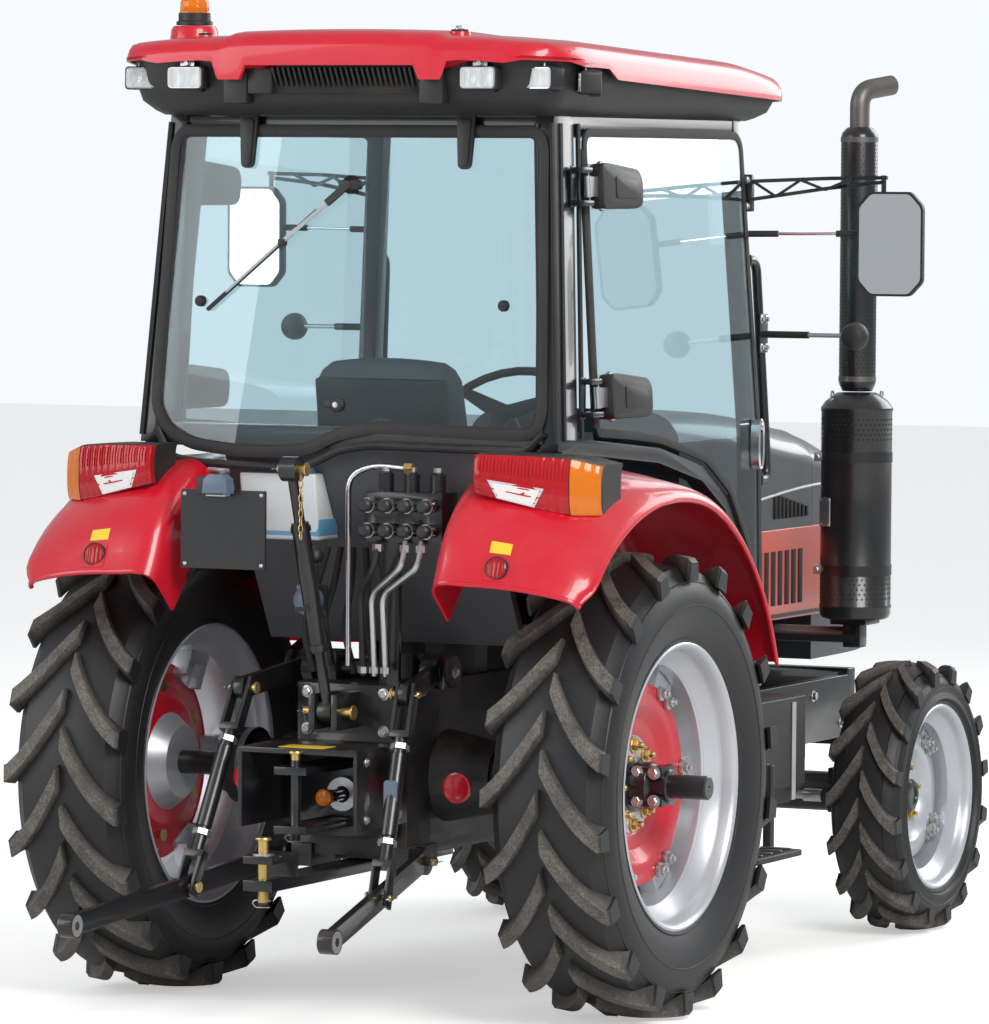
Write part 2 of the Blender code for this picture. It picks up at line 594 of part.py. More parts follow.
def dashboard():
    """Bulkhead, console, and the steering column with its wheel."""
    front = CAB_FRONT_Y + 0.004
    half = CAB_BOTTOM_HALF_W - POST - 0.004
    pieces = [box((-half, front, POST_FOOT_Z + GAP), (half, front + 0.035, 1.42), "dashboard")]
    outline = [(front + 0.03, 0.90), (front + 0.16, 0.90), (front + 0.30, 1.30), (front + 0.32, 1.50), (front + 0.16, 1.60), (front + 0.03, 1.40)]
    pieces.append(prism(outline, "X", -0.17, 0.17))
    hub = Vector((0, front + 0.42, 1.66))
    pieces.append(rod((0, front + 0.22, 1.48), hub, 0.028, 12))
    tilt = Matrix.Rotation(radians(-38), 4, "X")
    grip = [(0.014 * cos(2 * pi * i / 6), 0.20 + 0.014 * sin(2 * pi * i / 6)) for i in range(6)]
    wheel = turned(grip, (0, 0, 0), "Z", 24)
    star = []
    for turn in (90, 210, 330):
        for radius, swing in ((0.200, -4), (0.200, 4), (0.035, 60)):
            angle = radians(turn + swing)
            star.append((radius * cos(angle), radius * sin(angle)))
    spokes = prism(star, "Z", -0.005, 0.006)
    for piece in (wheel, spokes):
        piece.data.transform(Matrix.Translation(hub) @ tilt)
        pieces.append(piece)
    part("dashboard", pieces, PLASTIC)


def seat():
    """Base on the floor, cushion, backrest and armrests."""
    top = FLOOR_HIGH_Z + FLOOR_T
    pieces = [box((-0.16, -0.42, top + GAP), (0.16, -0.06, top + 0.20), "seat")]
    pieces.append(box((-0.24, -0.50, top + 0.18), (0.24, 0.00, top + 0.30)))
    outline = [(-0.06, top + 0.25), (0.07, top + 0.25), (0.16, top + 0.80), (0.06, top + 0.82)]
    pieces.append(prism(outline, "X", -0.23, 0.23))
    for side in SIDES.values():
        pieces.append(box((side * 0.215, -0.34, top + 0.42), (side * 0.285, 0.03, top + 0.46)))
        pieces.append(box((side * 0.225, 0.00, top + 0.40), (side * 0.275, 0.06, top + 0.455)))
    part("seat", pieces, FABRIC)


def windscreen():
    """Curved glass between the front posts."""
    low_z, high_z = 1.42, CAB_TOP_Z - 0.01
    rings = []
    for z in (low_z, high_z):
        half = cab_half_width(z) - 0.036
        ring = []
        for offset, sense in ((0.0, 1), (GLASS_T, -1)):
            for i in range(9):
                x = half * (-1 + i / 4) * sense
                bow = 0.045 * (1 - (x / half) ** 2)
                ring.append((x, cab_front_y(z) - GAP - bow - offset, z))
        rings.append(ring)
    part("windscreen", [loft(rings)], GLASS)


REAR_WINDOW_OUTLINE = [
    # x, z clockwise from the top left, seen from behind
    (0.555, 2.500), (-0.555, 2.500), (-0.585, 2.460), (-0.615, 1.700), (-0.590, 1.640), (-0.520, 1.628),
    (-0.100, 1.640), (0.000, 1.636), (0.100, 1.585), (0.200, 1.567), (0.300, 1.566), (0.480, 1.582), (0.560, 1.620),
    (0.618, 1.700), (0.588, 2.460),
]


def rear_window():
    """Top-hinged glass that lies against the rear posts."""
    rings = []
    for offset in (2 * GAP, 2 * GAP + GLASS_T):
        rings.append([(x, cab_rear_y(z) + offset, z) for x, z in REAR_WINDOW_OUTLINE])
    part("rear_window", [loft(rings)], GLASS)


def door_outlines():
    """The door glass's edges as (y, z): the leaning pane above the window sill, and the upright one below."""
    front = [(cab_front_y(z) + 0.012, z) for z in (WINDOW_SILL_Z, 2.47)]
    lifted = [(y, z + 0.036) for y, z in SILL_LINE[2:6]]
    upper = [(0.075, 1.636), lifted[0], *front, (front[1][0] + 0.04, 2.497), (0.075, 2.497)]
    knee = WINDOW_SILL_Z + 0.004
    lower = [(lifted[0][0] - 0.004, knee), *lifted[1:], (-1.075, 1.12), (-1.100, 0.985), (cab_front_y(1.05) + 0.012, 0.965)]
    lower.append((cab_front_y(WINDOW_SILL_Z) + 0.012, knee))
    return upper, lower


def door_hinge_axis(side):
    """Two points on the door's hinge axis, which leans with the door."""
    return [Vector((side * (cab_half_width(z) + DOOR_AXIS_OUT), DOOR_AXIS_Y, z)) for z in (WINDOW_SILL_Z, CAB_TOP_Z)]


def on_door(side, y_low, y_high, z_low, z_high, inner, outer):
    """A block on the door's leaning face, between two distances out from it."""
    rings = []
    for z in (z_low, z_high):
        x = cab_half_width(z)
        rings.append([(side * (x + inner), y_low, z), (side * (x + inner), y_high, z), (side * (x + outer), y_high, z), (side * (x + outer), y_low, z)])
    return loft(rings)


def doors():
    """Frameless glass doors, their hinge arms and their handles."""
    for word, side in SIDES.items():
        upper, lower = door_outlines()
        near, far = 2 * GAP, 2 * GAP + GLASS_T
        pieces = [loft([[(side * (cab_half_width(z) + offset), y, z) for y, z in upper] for offset in (near, far)])]
        pieces.append(loft([[(side * (CAB_BOTTOM_HALF_W + offset), y, z) for y, z in lower] for offset in (near, far)]))
        for z in HINGE_HEIGHTS:
            pieces.append(on_door(side, -0.230, DOOR_AXIS_Y + 0.018, z - 0.065, z + 0.065, 0.004, 0.058))
        pieces.append(on_door(side, -1.075, -1.030, 1.50, 1.66, 0.004, 0.042))
        part(f"door_{word}", pieces, GLASS, pivot=tuple(door_hinge_axis(side)[0]))


def roof_ring(z, half, front, rear, corner):
    """A rounded rectangle at one height."""
    ring = []
    for cx, cy, start in ((half - corner, rear - corner, 0), (-half + corner, rear - corner, 90),
                          (-half + corner, front + corner, 180), (half - corner, front + corner, 270)):
        for i in range(5):
            angle = radians(start + 90 * i / 4)
            ring.append((cx + corner * cos(angle), cy + corner * sin(angle), z))
    return ring


def roof_level(z, y):
    """The roof's rim falls towards the front."""
    return z - ROOF_FALL * (ROOF_REAR_Y - y)


def tilted(ring):
    return [(x, y, roof_level(z, y)) for x, y, z in ring]


def roof():
    rings = [
        tilted(roof_ring(ROOF_RIM_Z + 0.040, ROOF_HALF_W - 0.015, ROOF_FRONT_Y + 0.01, ROOF_REAR_Y - 0.01, 0.12)),
        tilted(roof_ring(ROOF_RIM_Z + 0.065, ROOF_HALF_W, ROOF_FRONT_Y, ROOF_REAR_Y, 0.12)),
        tilted(roof_ring(ROOF_RIM_Z + 0.115, ROOF_HALF_W, ROOF_FRONT_Y + 0.005, ROOF_REAR_Y - 0.003, 0.13)),
        tilted(roof_ring(ROOF_RIM_Z + 0.150, ROOF_HALF_W - 0.05, ROOF_FRONT_Y + 0.06, ROOF_REAR_Y - 0.05, 0.13)),
        tilted(roof_ring(ROOF_TOP_Z, ROOF_HALF_W - 0.22, ROOF_FRONT_Y + 0.28, ROOF_REAR_Y - 0.16, 0.16)),
    ]
    boss = rod((BEACON_X, BEACON_Y, ROOF_RIM_Z + 0.10), (BEACON_X, BEACON_Y, BEACON_SEAT_Z), 0.060, 16)
    part("roof", [loft(rings), boss], RED, smooth=25)


WORK_LIGHTS = [
    # x, y, z, turn about z in degrees
    (0.456, 0.437, 2.640, 0), (0.612, 0.392, 2.640, 0),
    (-0.456, 0.437, 2.640, 0), (-0.612, 0.392, 2.640, -12), (-0.675, 0.230, 2.630, -62),
]


def roof_visor():
    """Black underside of the roof with the work lights on its rear edge."""
    rings = [
        roof_ring(VISOR_BOTTOM_Z, 0.600, -1.170, 0.330, 0.06),
        roof_ring(VISOR_BOTTOM_Z + 0.035, 0.660, -1.235, 0.395, 0.09),
    ]
    rings.append(tilted(roof_ring(ROOF_RIM_Z + 0.040 - GAP, ROOF_HALF_W - 0.025, ROOF_FRONT_Y + 0.02, ROOF_REAR_Y - 0.03, 0.11)))
    pieces = [loft(rings)]
    for x, y, z, turn in WORK_LIGHTS:
        lamp = box((-0.062, -0.075, -0.040), (0.062, 0.012, 0.034))
        lamp.data.transform(Matrix.Translation((x, y, z - 0.006)) @ Matrix.Rotation(radians(turn), 4, "Z"))
        pieces.append(lamp)
    part("roof_visor", pieces, PLASTIC)


def beacon():
    seat_z = BEACON_SEAT_Z + GAP
    pieces = [rod((BEACON_X, BEACON_Y, seat_z), (BEACON_X, BEACON_Y, seat_z + 0.03), 0.052, 16, 0.048)]
    pieces.append(rod((BEACON_X, BEACON_Y, seat_z + 0.02), (BEACON_X, BEACON_Y, seat_z + 0.085), 0.044, 16, 0.038))
    part("beacon", pieces, AMBER)


# ---------------------------------------------------------------- fenders and lamps
FENDER_STATIONS = [
    # angle about the axle from the rear, crown radius, lip radius
    (41, 0.914, 0.838), (52, 0.972, 0.845), (63, 0.985, 0.840), (75, 0.945, 0.832), (90, 0.908, 0.826),
    (108, 0.905, 0.828), (125, 0.900, 0.822), (142, 0.880, 0.812), (158, 0.835, 0.800),
]


def fender_section(crown, lip):
    """Across the fender, (x, radius): inner wall, rounded crown, slope and turned-down lip, then back inside."""
    low = 0.735
    outer = [(FENDER_INNER_X, low), (FENDER_INNER_X, crown - 0.05), (FENDER_INNER_X + 0.015, crown - 0.015), (FENDER_INNER_X + 0.05, crown)]
    outer += [(0.70, between(crown, lip, 0.30)), (0.83, between(crown, lip, 0.62)), (FENDER_OUTER_X - 0.012, lip + 0.010), (FENDER_OUTER_X, lip - 0.02)]
    t = FENDER_T
    inner = [(FENDER_INNER_X + t, low), (FENDER_INNER_X + t, crown - 0.055), (FENDER_INNER_X + 0.02, crown - 0.024), (FENDER_INNER_X + 0.052, crown - t)]
    inner += [(0.70, between(crown, lip, 0.30) - t), (0.826, between(crown, lip, 0.62) - t), (FENDER_OUTER_X - 0.018, lip + 0.002), (FENDER_OUTER_X - t, lip - 0.02)]
    return outer + inner[::-1]


def fender_rings(side, section):
    rings = []
    for angle, crown, lip in FENDER_STATIONS:
        a = radians(angle)
        rings.append([(side * x, r * cos(a), REAR_AXLE_Z + r * sin(a)) for x, r in section(crown, lip)])
    return rings


def fender_envelope(crown, lip):
    """The fender's outer line a little enlarged and closed below, which cuts what sits on the fender."""
    outer = fender_section(crown, lip)[:8]
    grown = [(FENDER_INNER_X - 0.1, 0.5), (FENDER_INNER_X - 0.1, crown + GAP), (FENDER_INNER_X + 0.05, crown + 2 * GAP)]
    grown += [(x, r + 2 * GAP) for x, r in outer[4:6]]
    grown += [(FENDER_OUTER_X - 0.012, lip + 0.010 + 2 * GAP), (FENDER_OUTER_X + GAP, lip - 0.02), (FENDER_OUTER_X + GAP, 0.5)]
    return grown


def fenders():
    foot_z = REAR_AXLE_Z + TRUMPET_FLANGE_R + GAP
    for word, side in SIDES.items():
        shell = loft(fender_rings(side, fender_section))
        foot = box((side * (FENDER_INNER_X - 0.012), -0.05, foot_z), (side * 0.49, 0.05, foot_z + 0.02))
        upright = box((side * (FENDER_INNER_X - 0.013), -0.045, foot_z + 0.01), (side * (FENDER_INNER_X + 0.006), 0.045, REAR_AXLE_Z + 0.80))
        part(f"fender_{word}", [shell, foot, upright], RED, smooth=25)


def tail_lamps():
    """Lamp cluster on the crown of each fender."""
    for word, side in SIDES.items():
        rings = []
        for x, rear, low, high in ((0.500, 0.560, 1.490, 1.602), (0.660, 0.530, 1.450, 1.600), (0.770, 0.490, 1.430, 1.592), (0.832, 0.440, 1.430, 1.572)):
            rings.append([(side * x, rear - 0.16, low), (side * x, rear, low), (side * x, rear - 0.015, high), (side * x, rear - 0.16, high)])
        part(f"tail_lamp_{word}", [loft(rings)], LAMP, [loft(fender_rings(side, fender_envelope))])


# ---------------------------------------------------------------- exhaust, rails and mirrors
def exhaust():
    centre = (EXHAUST_X, EXHAUST_Y, 0)
    profile = [(SILENCER_BOTTOM_Z, 0.0), (SILENCER_BOTTOM_Z, SILENCER_R), (SILENCER_TOP_Z, SILENCER_R),
               (SILENCER_TOP_Z + 0.035, SILENCER_R * 0.72), (SILENCER_TOP_Z + 0.038, 0.0)]
    pieces = [turned(profile, centre, "Z", 32)]
    arm_low = (EXHAUST_X - 0.06, EXHAUST_Y - 0.06, 0.905)
    arm_high = (-ENGINE_HALF_W - GAP, EXHAUST_Y + 0.08, 0.925)
    pieces.append(box(arm_low, arm_high))
    pieces.append(box((EXHAUST_X - 0.05, EXHAUST_Y - 0.05, 0.915), (EXHAUST_X + 0.05, EXHAUST_Y + 0.07, SILENCER_BOTTOM_Z + 0.004)))
    part("exhaust_silencer", pieces, BLACK)
    start = (EXHAUST_X, EXHAUST_Y, SILENCER_TOP_Z + 0.038 + GAP)
    shield = rod(start, (EXHAUST_X, EXHAUST_Y, STACK_TOP_Z), STACK_R, 24)
    outlet = tube([(EXHAUST_X, EXHAUST_Y, STACK_TOP_Z - 0.03), (EXHAUST_X, EXHAUST_Y, STACK_TOP_Z + 0.085),
                   (EXHAUST_X - 0.055, EXHAUST_Y - 0.125, STACK_TOP_Z + 0.125)], 0.032, 0.07, 16)
    part("exhaust_stack", [shield, outlet], BLACK)


def mirrors():
    """Truss arm, lower stay and mirror head on each front post."""
    for word, side in SIDES.items():
        root_x = cab_half_width(2.33)
        root = Vector((side * (root_x + 0.005), cab_front_y(2.33) - 0.026, 2.335))
        elbow = Vector((side * (MIRROR_X - 0.02), MIRROR_Y, 2.365))
        rings = []
        for z in (2.17, 2.37):
            x, y = cab_half_width(z), cab_front_y(z)
            rings.append([(side * (x - 0.03), y - 0.045, z), (side * (x - 0.03), y - 2 * GAP, z), (side * (x + 0.02), y - 2 * GAP, z), (side * (x + 0.02), y - 0.045, z)])
        pieces = [loft(rings)]
        pieces.append(bar([root, elbow], 0.030, 0.030, (0, 1, 0)))
        pieces.append(bar([Vector((root.x, root.y, 2.20)), Vector((side * (MIRROR_X - 0.03), MIRROR_Y, 2.21))], 0.012, 0.014, (0, 1, 0)))
        pieces.append(rod((side * (MIRROR_X - 0.035), MIRROR_Y, 2.06), (side * (MIRROR_X - 0.035), MIRROR_Y, 2.375), 0.010, 12))
        w, h, c = MIRROR_W / 2, MIRROR_H / 2, 0.045
        outline = [(-w + c, -h), (w - c, -h), (w, -h + c), (w, h - c), (w - c, h), (-w + c, h), (-w, h - c), (-w, -h + c)]
        head = prism(outline, "Y", 0.0, 0.045)
        head.data.transform(Matrix.Translation((side * MIRROR_X, MIRROR_Y - 0.008, MIRROR_Z)) @ Matrix.Rotation(radians(-8 * side), 4, "Z"))
        pieces.append(head)
        part(f"mirror_{word}", pieces, PLASTIC)


def grab_rails():
    """Tube rail in front of each front post, with the arm of the side lamp."""
    for word, side in SIDES.items():
        x = cab_half_width(1.9) - 0.016
        out_y = cab_front_y(1.8) - 0.090
        path = []
        for z, ys in ((2.12, (cab_front_y(2.12) - 3 * GAP, out_y)), (1.46, (out_y, cab_front_y(1.46) - 3 * GAP))):
            path += [(side * (cab_half_width(z) - 0.018), y, z) for y in ys]
        pieces = [tube(path, 0.015, 0.09, 8)]
        pieces.append(box((side * (x - 0.012), out_y + 0.002, 1.84), (side * (x + 0.008), cab_front_y(1.84) - 2 * GAP, 1.96)))
        pieces.append(rod((side * x, out_y + 0.02, 1.90), (side * 0.93, out_y - 0.02, 1.895), 0.009, 8))
        pieces.append(rod((side * 0.93, out_y - 0.055, 1.895), (side * 0.93, out_y + 0.015, 1.895), 0.042, 12))
        part(f"grab_rail_{word}", pieces, BLACK)


# ---------------------------------------------------------------- tanks and steps
def tank_with_step(name, side, inner, outer, low, high):
    """A box between the wheels with the access step that hangs below the door."""
    front, rear = -1.60, -0.80
    outline = [(inner, low), (outer - 0.05, low), (outer, low + 0.06), (outer, high), (inner, high)]
    pieces = [prism([(side * x, z) for x, z in outline], "Y", front, rear)]
    pieces.append(box((side * (0.14 + GAP), -1.00, 0.66), (side * (inner + 0.004), -0.94, 0.72)))
    for y in (-1.30, -0.98):
        pieces.append(box((side * (outer - 0.01), y - 0.012, 0.335), (side * (outer + 0.02), y + 0.012, low + 0.14)))
    pieces.append(box((side * (outer - 0.02), -1.312, 0.330), (side * (outer + 0.11), -0.968, 0.350)))
    part(name, pieces, BLACK)


# ---------------------------------------------------------------- rear of the tractor
def plate_bracket():
    """Blank plate with its lamp on an arm off the left fender."""
    pieces = [box((0.115, 0.588, 1.262), (0.375, 0.596, 1.482), "plate_bracket")]
    pieces.append(box((0.340, 0.420, 1.400), (0.370, 0.590, 1.420)))
    pieces.append(box((0.340, 0.420, 1.36), (FENDER_INNER_X - 0.0005, 0.440, 1.46)))
    pieces.append(box((0.225, 0.590, 1.470), (0.310, 0.640, 1.520)))
    part("plate_bracket", pieces, BLACK)


def washer_tank():
    low, high = 1.33, 1.52
    outline = [(rear_panel_y(low) + 2 * GAP, low), (rear_panel_y(low) + 0.13, low), (rear_panel_y(low) + 0.16, high), (rear_panel_y(high) + 2 * GAP, high)]
    part("washer_tank", [prism(outline, "X", 0.10, 0.34)], TANK)


def valve_block():
    """Remote valve with its couplers, on a bracket that stands on the gearbox."""
    pieces = [box((-0.34, 0.310, 1.34), (-0.10, 0.410, 1.48), "valve_block")]
    pieces.append(box((-0.165, 0.302, GEARBOX_TOP_Z + GAP), (-0.105, 0.320, 1.36)))
    pieces.append(box((-0.164, 0.205, GEARBOX_TOP_Z + GAP), (-0.106, 0.319, GEARBOX_TOP_Z + 0.016)))
    for x in (-0.315, -0.255, -0.195, -0.135):
        for z in (1.375, 1.445):
            pieces.append(rod((x, 0.400, z), (x, 0.475, z), 0.019, 10))
    part("valve_block", pieces, CASTING)


def tow_hitch():
    """Rear cover with the clevis for the top link, the shield over the shaft and the tow clevis."""
    rear = GEARBOX_REAR_Y + GAP
    half = 0.185
    shield_rear = 0.62
    pieces = [box((-0.15, rear, 0.50), (0.15, rear + 0.05, GEARBOX_TOP_Z), "tow_hitch")]
    foot = TOP_LINK_FOOT
    for side in SIDES.values():
        pieces.append(box((side * 0.026, rear + 0.04, foot.z - 0.05), (side * 0.044, foot.y + 0.035, foot.z + 0.05)))
        pieces.append(box((side * (half - 0.012), rear + 0.03, 0.545), (side * half, shield_rear, 0.765)))
    pieces.append(box((-half + 0.001, rear + 0.031, 0.755), (half - 0.001, shield_rear + 0.001, 0.770)))
    pieces.append(rod((-0.055, foot.y, foot.z), (0.055, foot.y, foot.z), HITCH_PIN_R, 12))
    pieces.append(rod((0, rear + 0.04, 0.62), (0, rear + 0.17, 0.62), 0.0175, 12))
    for z in (0.535, 0.700):
        pieces.append(box((-0.05, rear + 0.03, z), (0.05, 0.665, z + 0.022)))
    pieces.append(rod((0, 0.63, 0.515), (0, 0.63, 0.740), 0.014, 12))
    part("tow_hitch", pieces, BLACK)


def drawbar():
    """Swinging drawbar under the gearbox, ending in a clevis with its pin."""
    pieces = [box((-0.045, -0.30, 0.395), (0.045, 0.86, 0.425), "drawbar")]
    pieces.append(box((-0.045, 0.70, 0.470), (0.045, 0.86, 0.492)))
    pieces.append(box((-0.045, 0.70, 0.420), (0.045, 0.735, 0.475)))
    pieces.append(rod((0, 0.825, 0.355), (0, 0.825, 0.540), 0.014, 12))
    pieces.append(box((-0.09, -0.10, 0.420), (0.09, 0.20, 0.440 - GAP)))
    part("drawbar", pieces, BLACK)


def top_link():
    """Upper link stowed upright: clevis eye at its foot, ring at its head."""
    foot, head = TOP_LINK_FOOT, TOP_LINK_HEAD
    across = Vector((1, 0, 0))
    pieces = [rod(foot, foot.lerp(head, 0.33), 0.016, 12)]
    pieces.append(rod(foot.lerp(head, 0.25), foot.lerp(head, 0.78), 0.026, 12))
    pieces.append(rod(foot.lerp(head, 0.75), head, 0.016, 12))
    pieces.append(rod(foot - across * 0.021, foot + across * 0.021, 0.032, 16))
    pieces.append(rod(head - across * 0.024, head + across * 0.024, 0.034, 16))
    bores = [rod(end - across * 0.05, end + across * 0.05, HITCH_PIN_R + RUNNING_GAP, 12) for end in (foot, head)]
    part("top_link", pieces, BLACK, bores, pivot=foot)


def link_point(side, share):
    return mirrored(HITCH_PIVOT.lerp(LINK_BALL, share), side)


def lower_links():
    for word, side in SIDES.items():
        pivot = mirrored(HITCH_PIVOT, side)
        ball = mirrored(LINK_BALL, side)
        eye = Vector((0.014, 0, 0))
        pieces = [bar([pivot, ball], 0.022, 0.058, (1, 0, 0))]
        pieces.append(rod(pivot - eye, pivot + eye, 0.038, 20))
        pieces.append(rod(ball - eye * 1.6, ball + eye * 1.6, LINK_BALL_R, 20))
        bore = rod(pivot - eye * 3, pivot + eye * 3, HITCH_PIN_R + RUNNING_GAP, 12)
        part(f"lower_link_{word}", pieces, BLACK, [bore], pivot=pivot)


def rockshaft():
    """Lift shaft through the bearings on the gearbox top, with an arm on each end."""
    start = LIFT_AXIS + Vector((-LIFT_ARM_X - 0.02, 0, 0))
    pieces = [rod(start, LIFT_AXIS + Vector((LIFT_ARM_X + 0.02, 0, 0)), LIFT_SHAFT_R, 20)]
    bores = []
    across = Vector((1, 0, 0))
    for side in SIDES.values():
        hub = LIFT_AXIS + across * (side * LIFT_ARM_X)
        end = mirrored(LIFT_ARM_END, side)
        pieces.append(bar([hub, end], 0.020, 0.060, (1, 0, 0)))
        pieces.append(rod(hub - across * (side * 0.034), hub + across * (side * 0.018), 0.050, 16))
        pieces.append(rod(end - across * 0.013, end + across * 0.013, 0.032, 16))
        bores.append(rod(end - across * 0.04, end + across * 0.04, HITCH_PIN_R + RUNNING_GAP, 12))
    part("rockshaft", pieces, BLACK, bores, pivot=tuple(LIFT_AXIS))


def lift_rods():
    """Adjustable rods from the lift arms to the lower links: forks at both ends round a turnbuckle."""
    for word, side in SIDES.items():
        top = mirrored(LIFT_ARM_END, side)
        foot = link_point(side, LIFT_ROD_FOOT)
        along = (foot - top).normalized()
        cheek = Vector((0.024, 0, 0))
        pieces = [rod(top + along * 0.12, foot - along * 0.10, 0.019, 12)]
        pieces.append(rod(top - cheek * 1.4, top + cheek * 1.4, HITCH_PIN_R, 12))
        for end, inwards, reach in ((top, along, 0.132), (foot, -along, 0.105)):
            for sign in (-1, 1):
                pieces.append(bar([end - inwards * 0.028 + cheek * sign, end + inwards * reach + cheek * sign], 0.010, 0.038, (1, 0, 0)))
            yoke_low = end + inwards * (reach - 0.012)
            pieces.append(bar([yoke_low - inwards * 0.008, yoke_low + inwards * 0.012], 0.057, 0.040, (1, 0, 0)))
        part(f"lift_rod_{word}", pieces, BLACK, pivot=tuple(top))


# ---------------------------------------------------------------- the whole tractor
clear_scene()
tractor = bpy.data.objects.new("tractor", None)
tractor.location = (0, REAR_AXLE_Y, 0)
bpy.context.scene.collection.objects.link(tractor)

gearbox()
engine()
front_frame()
front_axle()
knuckles()
steering_rod()
rear_wheels()
front_wheels()
hood()
side_panels()
cab_frame()
cab_floor()
dashboard()
seat()
windscreen()
rear_window()
doors()
roof()
roof_visor()
beacon()
fenders()
tail_lamps()
exhaust()
mirrors()
grab_rails()
tank_with_step("fuel_tank", SIDES["left"], 0.30, 0.615, 0.44, 0.79)
tank_with_step("battery_box", SIDES["right"], 0.34, 0.615, 0.46, 0.79)
plate_bracket()
washer_tank()
valve_block()
tow_hitch()
drawbar()
top_link()
lower_links()
rockshaft()
lift_rods()
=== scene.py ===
# %% [markdown]
# # A compact farm tractor
# This lesson dresses a tractor whose construction is already fixed: frame, cab, wheels and linkage come in as
# solids at their real size. Here they get their finish: lugged tyres, painted sheet metal, glass in rubber seals,
# lamps, bolts, pipes and a padded seat. Every new piece takes its place from those solids.

# %% Load the frame
import json
import math
import random

import bmesh
import bpy
from mathutils import Matrix, Vector

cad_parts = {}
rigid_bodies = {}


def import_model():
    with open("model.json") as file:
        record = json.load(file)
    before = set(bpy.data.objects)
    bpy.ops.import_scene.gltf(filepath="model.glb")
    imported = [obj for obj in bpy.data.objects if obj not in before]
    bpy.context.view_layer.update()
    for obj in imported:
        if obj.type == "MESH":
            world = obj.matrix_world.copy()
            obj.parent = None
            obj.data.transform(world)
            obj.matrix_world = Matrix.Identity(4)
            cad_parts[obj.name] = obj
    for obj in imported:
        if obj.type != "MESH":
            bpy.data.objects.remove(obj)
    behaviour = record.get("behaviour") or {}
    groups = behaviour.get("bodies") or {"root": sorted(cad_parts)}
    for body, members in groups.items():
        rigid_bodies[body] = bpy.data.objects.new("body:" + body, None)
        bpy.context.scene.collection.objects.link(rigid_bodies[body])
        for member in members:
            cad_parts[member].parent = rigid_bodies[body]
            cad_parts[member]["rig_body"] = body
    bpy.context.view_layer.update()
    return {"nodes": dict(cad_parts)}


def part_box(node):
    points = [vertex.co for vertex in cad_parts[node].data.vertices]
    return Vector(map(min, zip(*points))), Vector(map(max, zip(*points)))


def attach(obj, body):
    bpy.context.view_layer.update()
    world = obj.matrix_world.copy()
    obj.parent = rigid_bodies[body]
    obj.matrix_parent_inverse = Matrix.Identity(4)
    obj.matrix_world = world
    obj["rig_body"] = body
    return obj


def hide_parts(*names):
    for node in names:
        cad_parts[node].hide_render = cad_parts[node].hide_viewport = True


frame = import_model()
SIDES = {"left": 1, "right": -1}
X, Y, Z = Vector((1, 0, 0)), Vector((0, 1, 0)), Vector((0, 0, 1))

# %% [markdown]
# ## Camera
# A long lens from behind the right rear wheel, a little above the cab floor, keeps the upright lines of the cab
# nearly parallel. The camera is placed by two angles and a point, because those are easy to read and to change.

# %% Camera
CAMERA_AT = Vector((-8.065, 17.471, 2.371))
CAMERA_YAW = math.radians(25.02)
CAMERA_DIP = math.radians(3.0)
CAMERA_ROLL = math.radians(0.4)

forward = Vector((
    math.sin(CAMERA_YAW) * math.cos(CAMERA_DIP),
    -math.cos(CAMERA_YAW) * math.cos(CAMERA_DIP),
    -math.sin(CAMERA_DIP),
))
right = forward.cross(Z).normalized()
right.rotate(Matrix.Rotation(-CAMERA_ROLL, 3, forward))
up = right.cross(forward)
camera_data = bpy.data.cameras.new("camera")
camera_data.lens = 227.4
camera_data.sensor_width = 36
camera_data.clip_end = 200
camera = bpy.data.objects.new("camera", camera_data)
camera.matrix_world = Matrix.Translation(CAMERA_AT) @ Matrix((right, up, -forward)).transposed().to_4x4()
bpy.context.scene.collection.objects.link(camera)
bpy.context.scene.camera = camera
print("camera looks along", [round(v, 3) for v in forward])

# %% [markdown]
# ## Floor and light
# A tractor is a big glossy thing, so it needs big soft lamps. One wide lamp gives the light a direction, a second
# opens the shadows, and an even world fills in the rest. The floor is pale and keeps the tractor's shadow.

# %% Floor and light
FLOOR_HALF = 40


def light_path_strength(nodes, links, strength, seen):
    """A value that is seen for camera and glass rays, and strength for the rays that light the object."""
    path = nodes.new("ShaderNodeLightPath")
    either = nodes.new("ShaderNodeMath")
    either.operation = "MAXIMUM"
    links.new(path.outputs["Is Camera Ray"], either.inputs[0])
    links.new(path.outputs["Is Transmission Ray"], either.inputs[1])
    mix = nodes.new("ShaderNodeMix")
    links.new(either.outputs[0], mix.inputs["Factor"])
    mix.inputs["A"].default_value = strength
    mix.inputs["B"].default_value = seen
    return mix.outputs["Result"]


world = bpy.data.worlds.new("studio")
world.use_nodes = True
bpy.context.scene.world = world
background = world.node_tree.nodes["Background"]
background.inputs["Color"].default_value = (0.93, 0.96, 1.0, 1)
world.node_tree.links.new(
    light_path_strength(world.node_tree.nodes, world.node_tree.links, 0.48, 1.0), background.inputs["Strength"])

floor_mesh = bpy.data.meshes.new("studio_floor")
floor_mesh.from_pydata(
    [(x, y, -0.001) for x, y in ((-FLOOR_HALF, -FLOOR_HALF), (FLOOR_HALF, -FLOOR_HALF),
                                 (FLOOR_HALF, FLOOR_HALF), (-FLOOR_HALF, FLOOR_HALF))], [], [(0, 1, 2, 3)])
studio_floor = bpy.data.objects.new("studio_floor", floor_mesh)
bpy.context.scene.collection.objects.link(studio_floor)


def area_light(name, at, aim, size, power, colour=(1, 1, 1)):
    """A square soft lamp at a point, turned to aim at another."""
    data = bpy.data.lights.new(name, "AREA")
    data.size = size
    data.energy = power
    data.color = colour
    lamp = bpy.data.objects.new(name, data)
    lamp.location = at
    lamp.rotation_euler = (Vector(aim) - Vector(at)).to_track_quat("-Z", "Y").to_euler()
    bpy.context.scene.collection.objects.link(lamp)
    return lamp


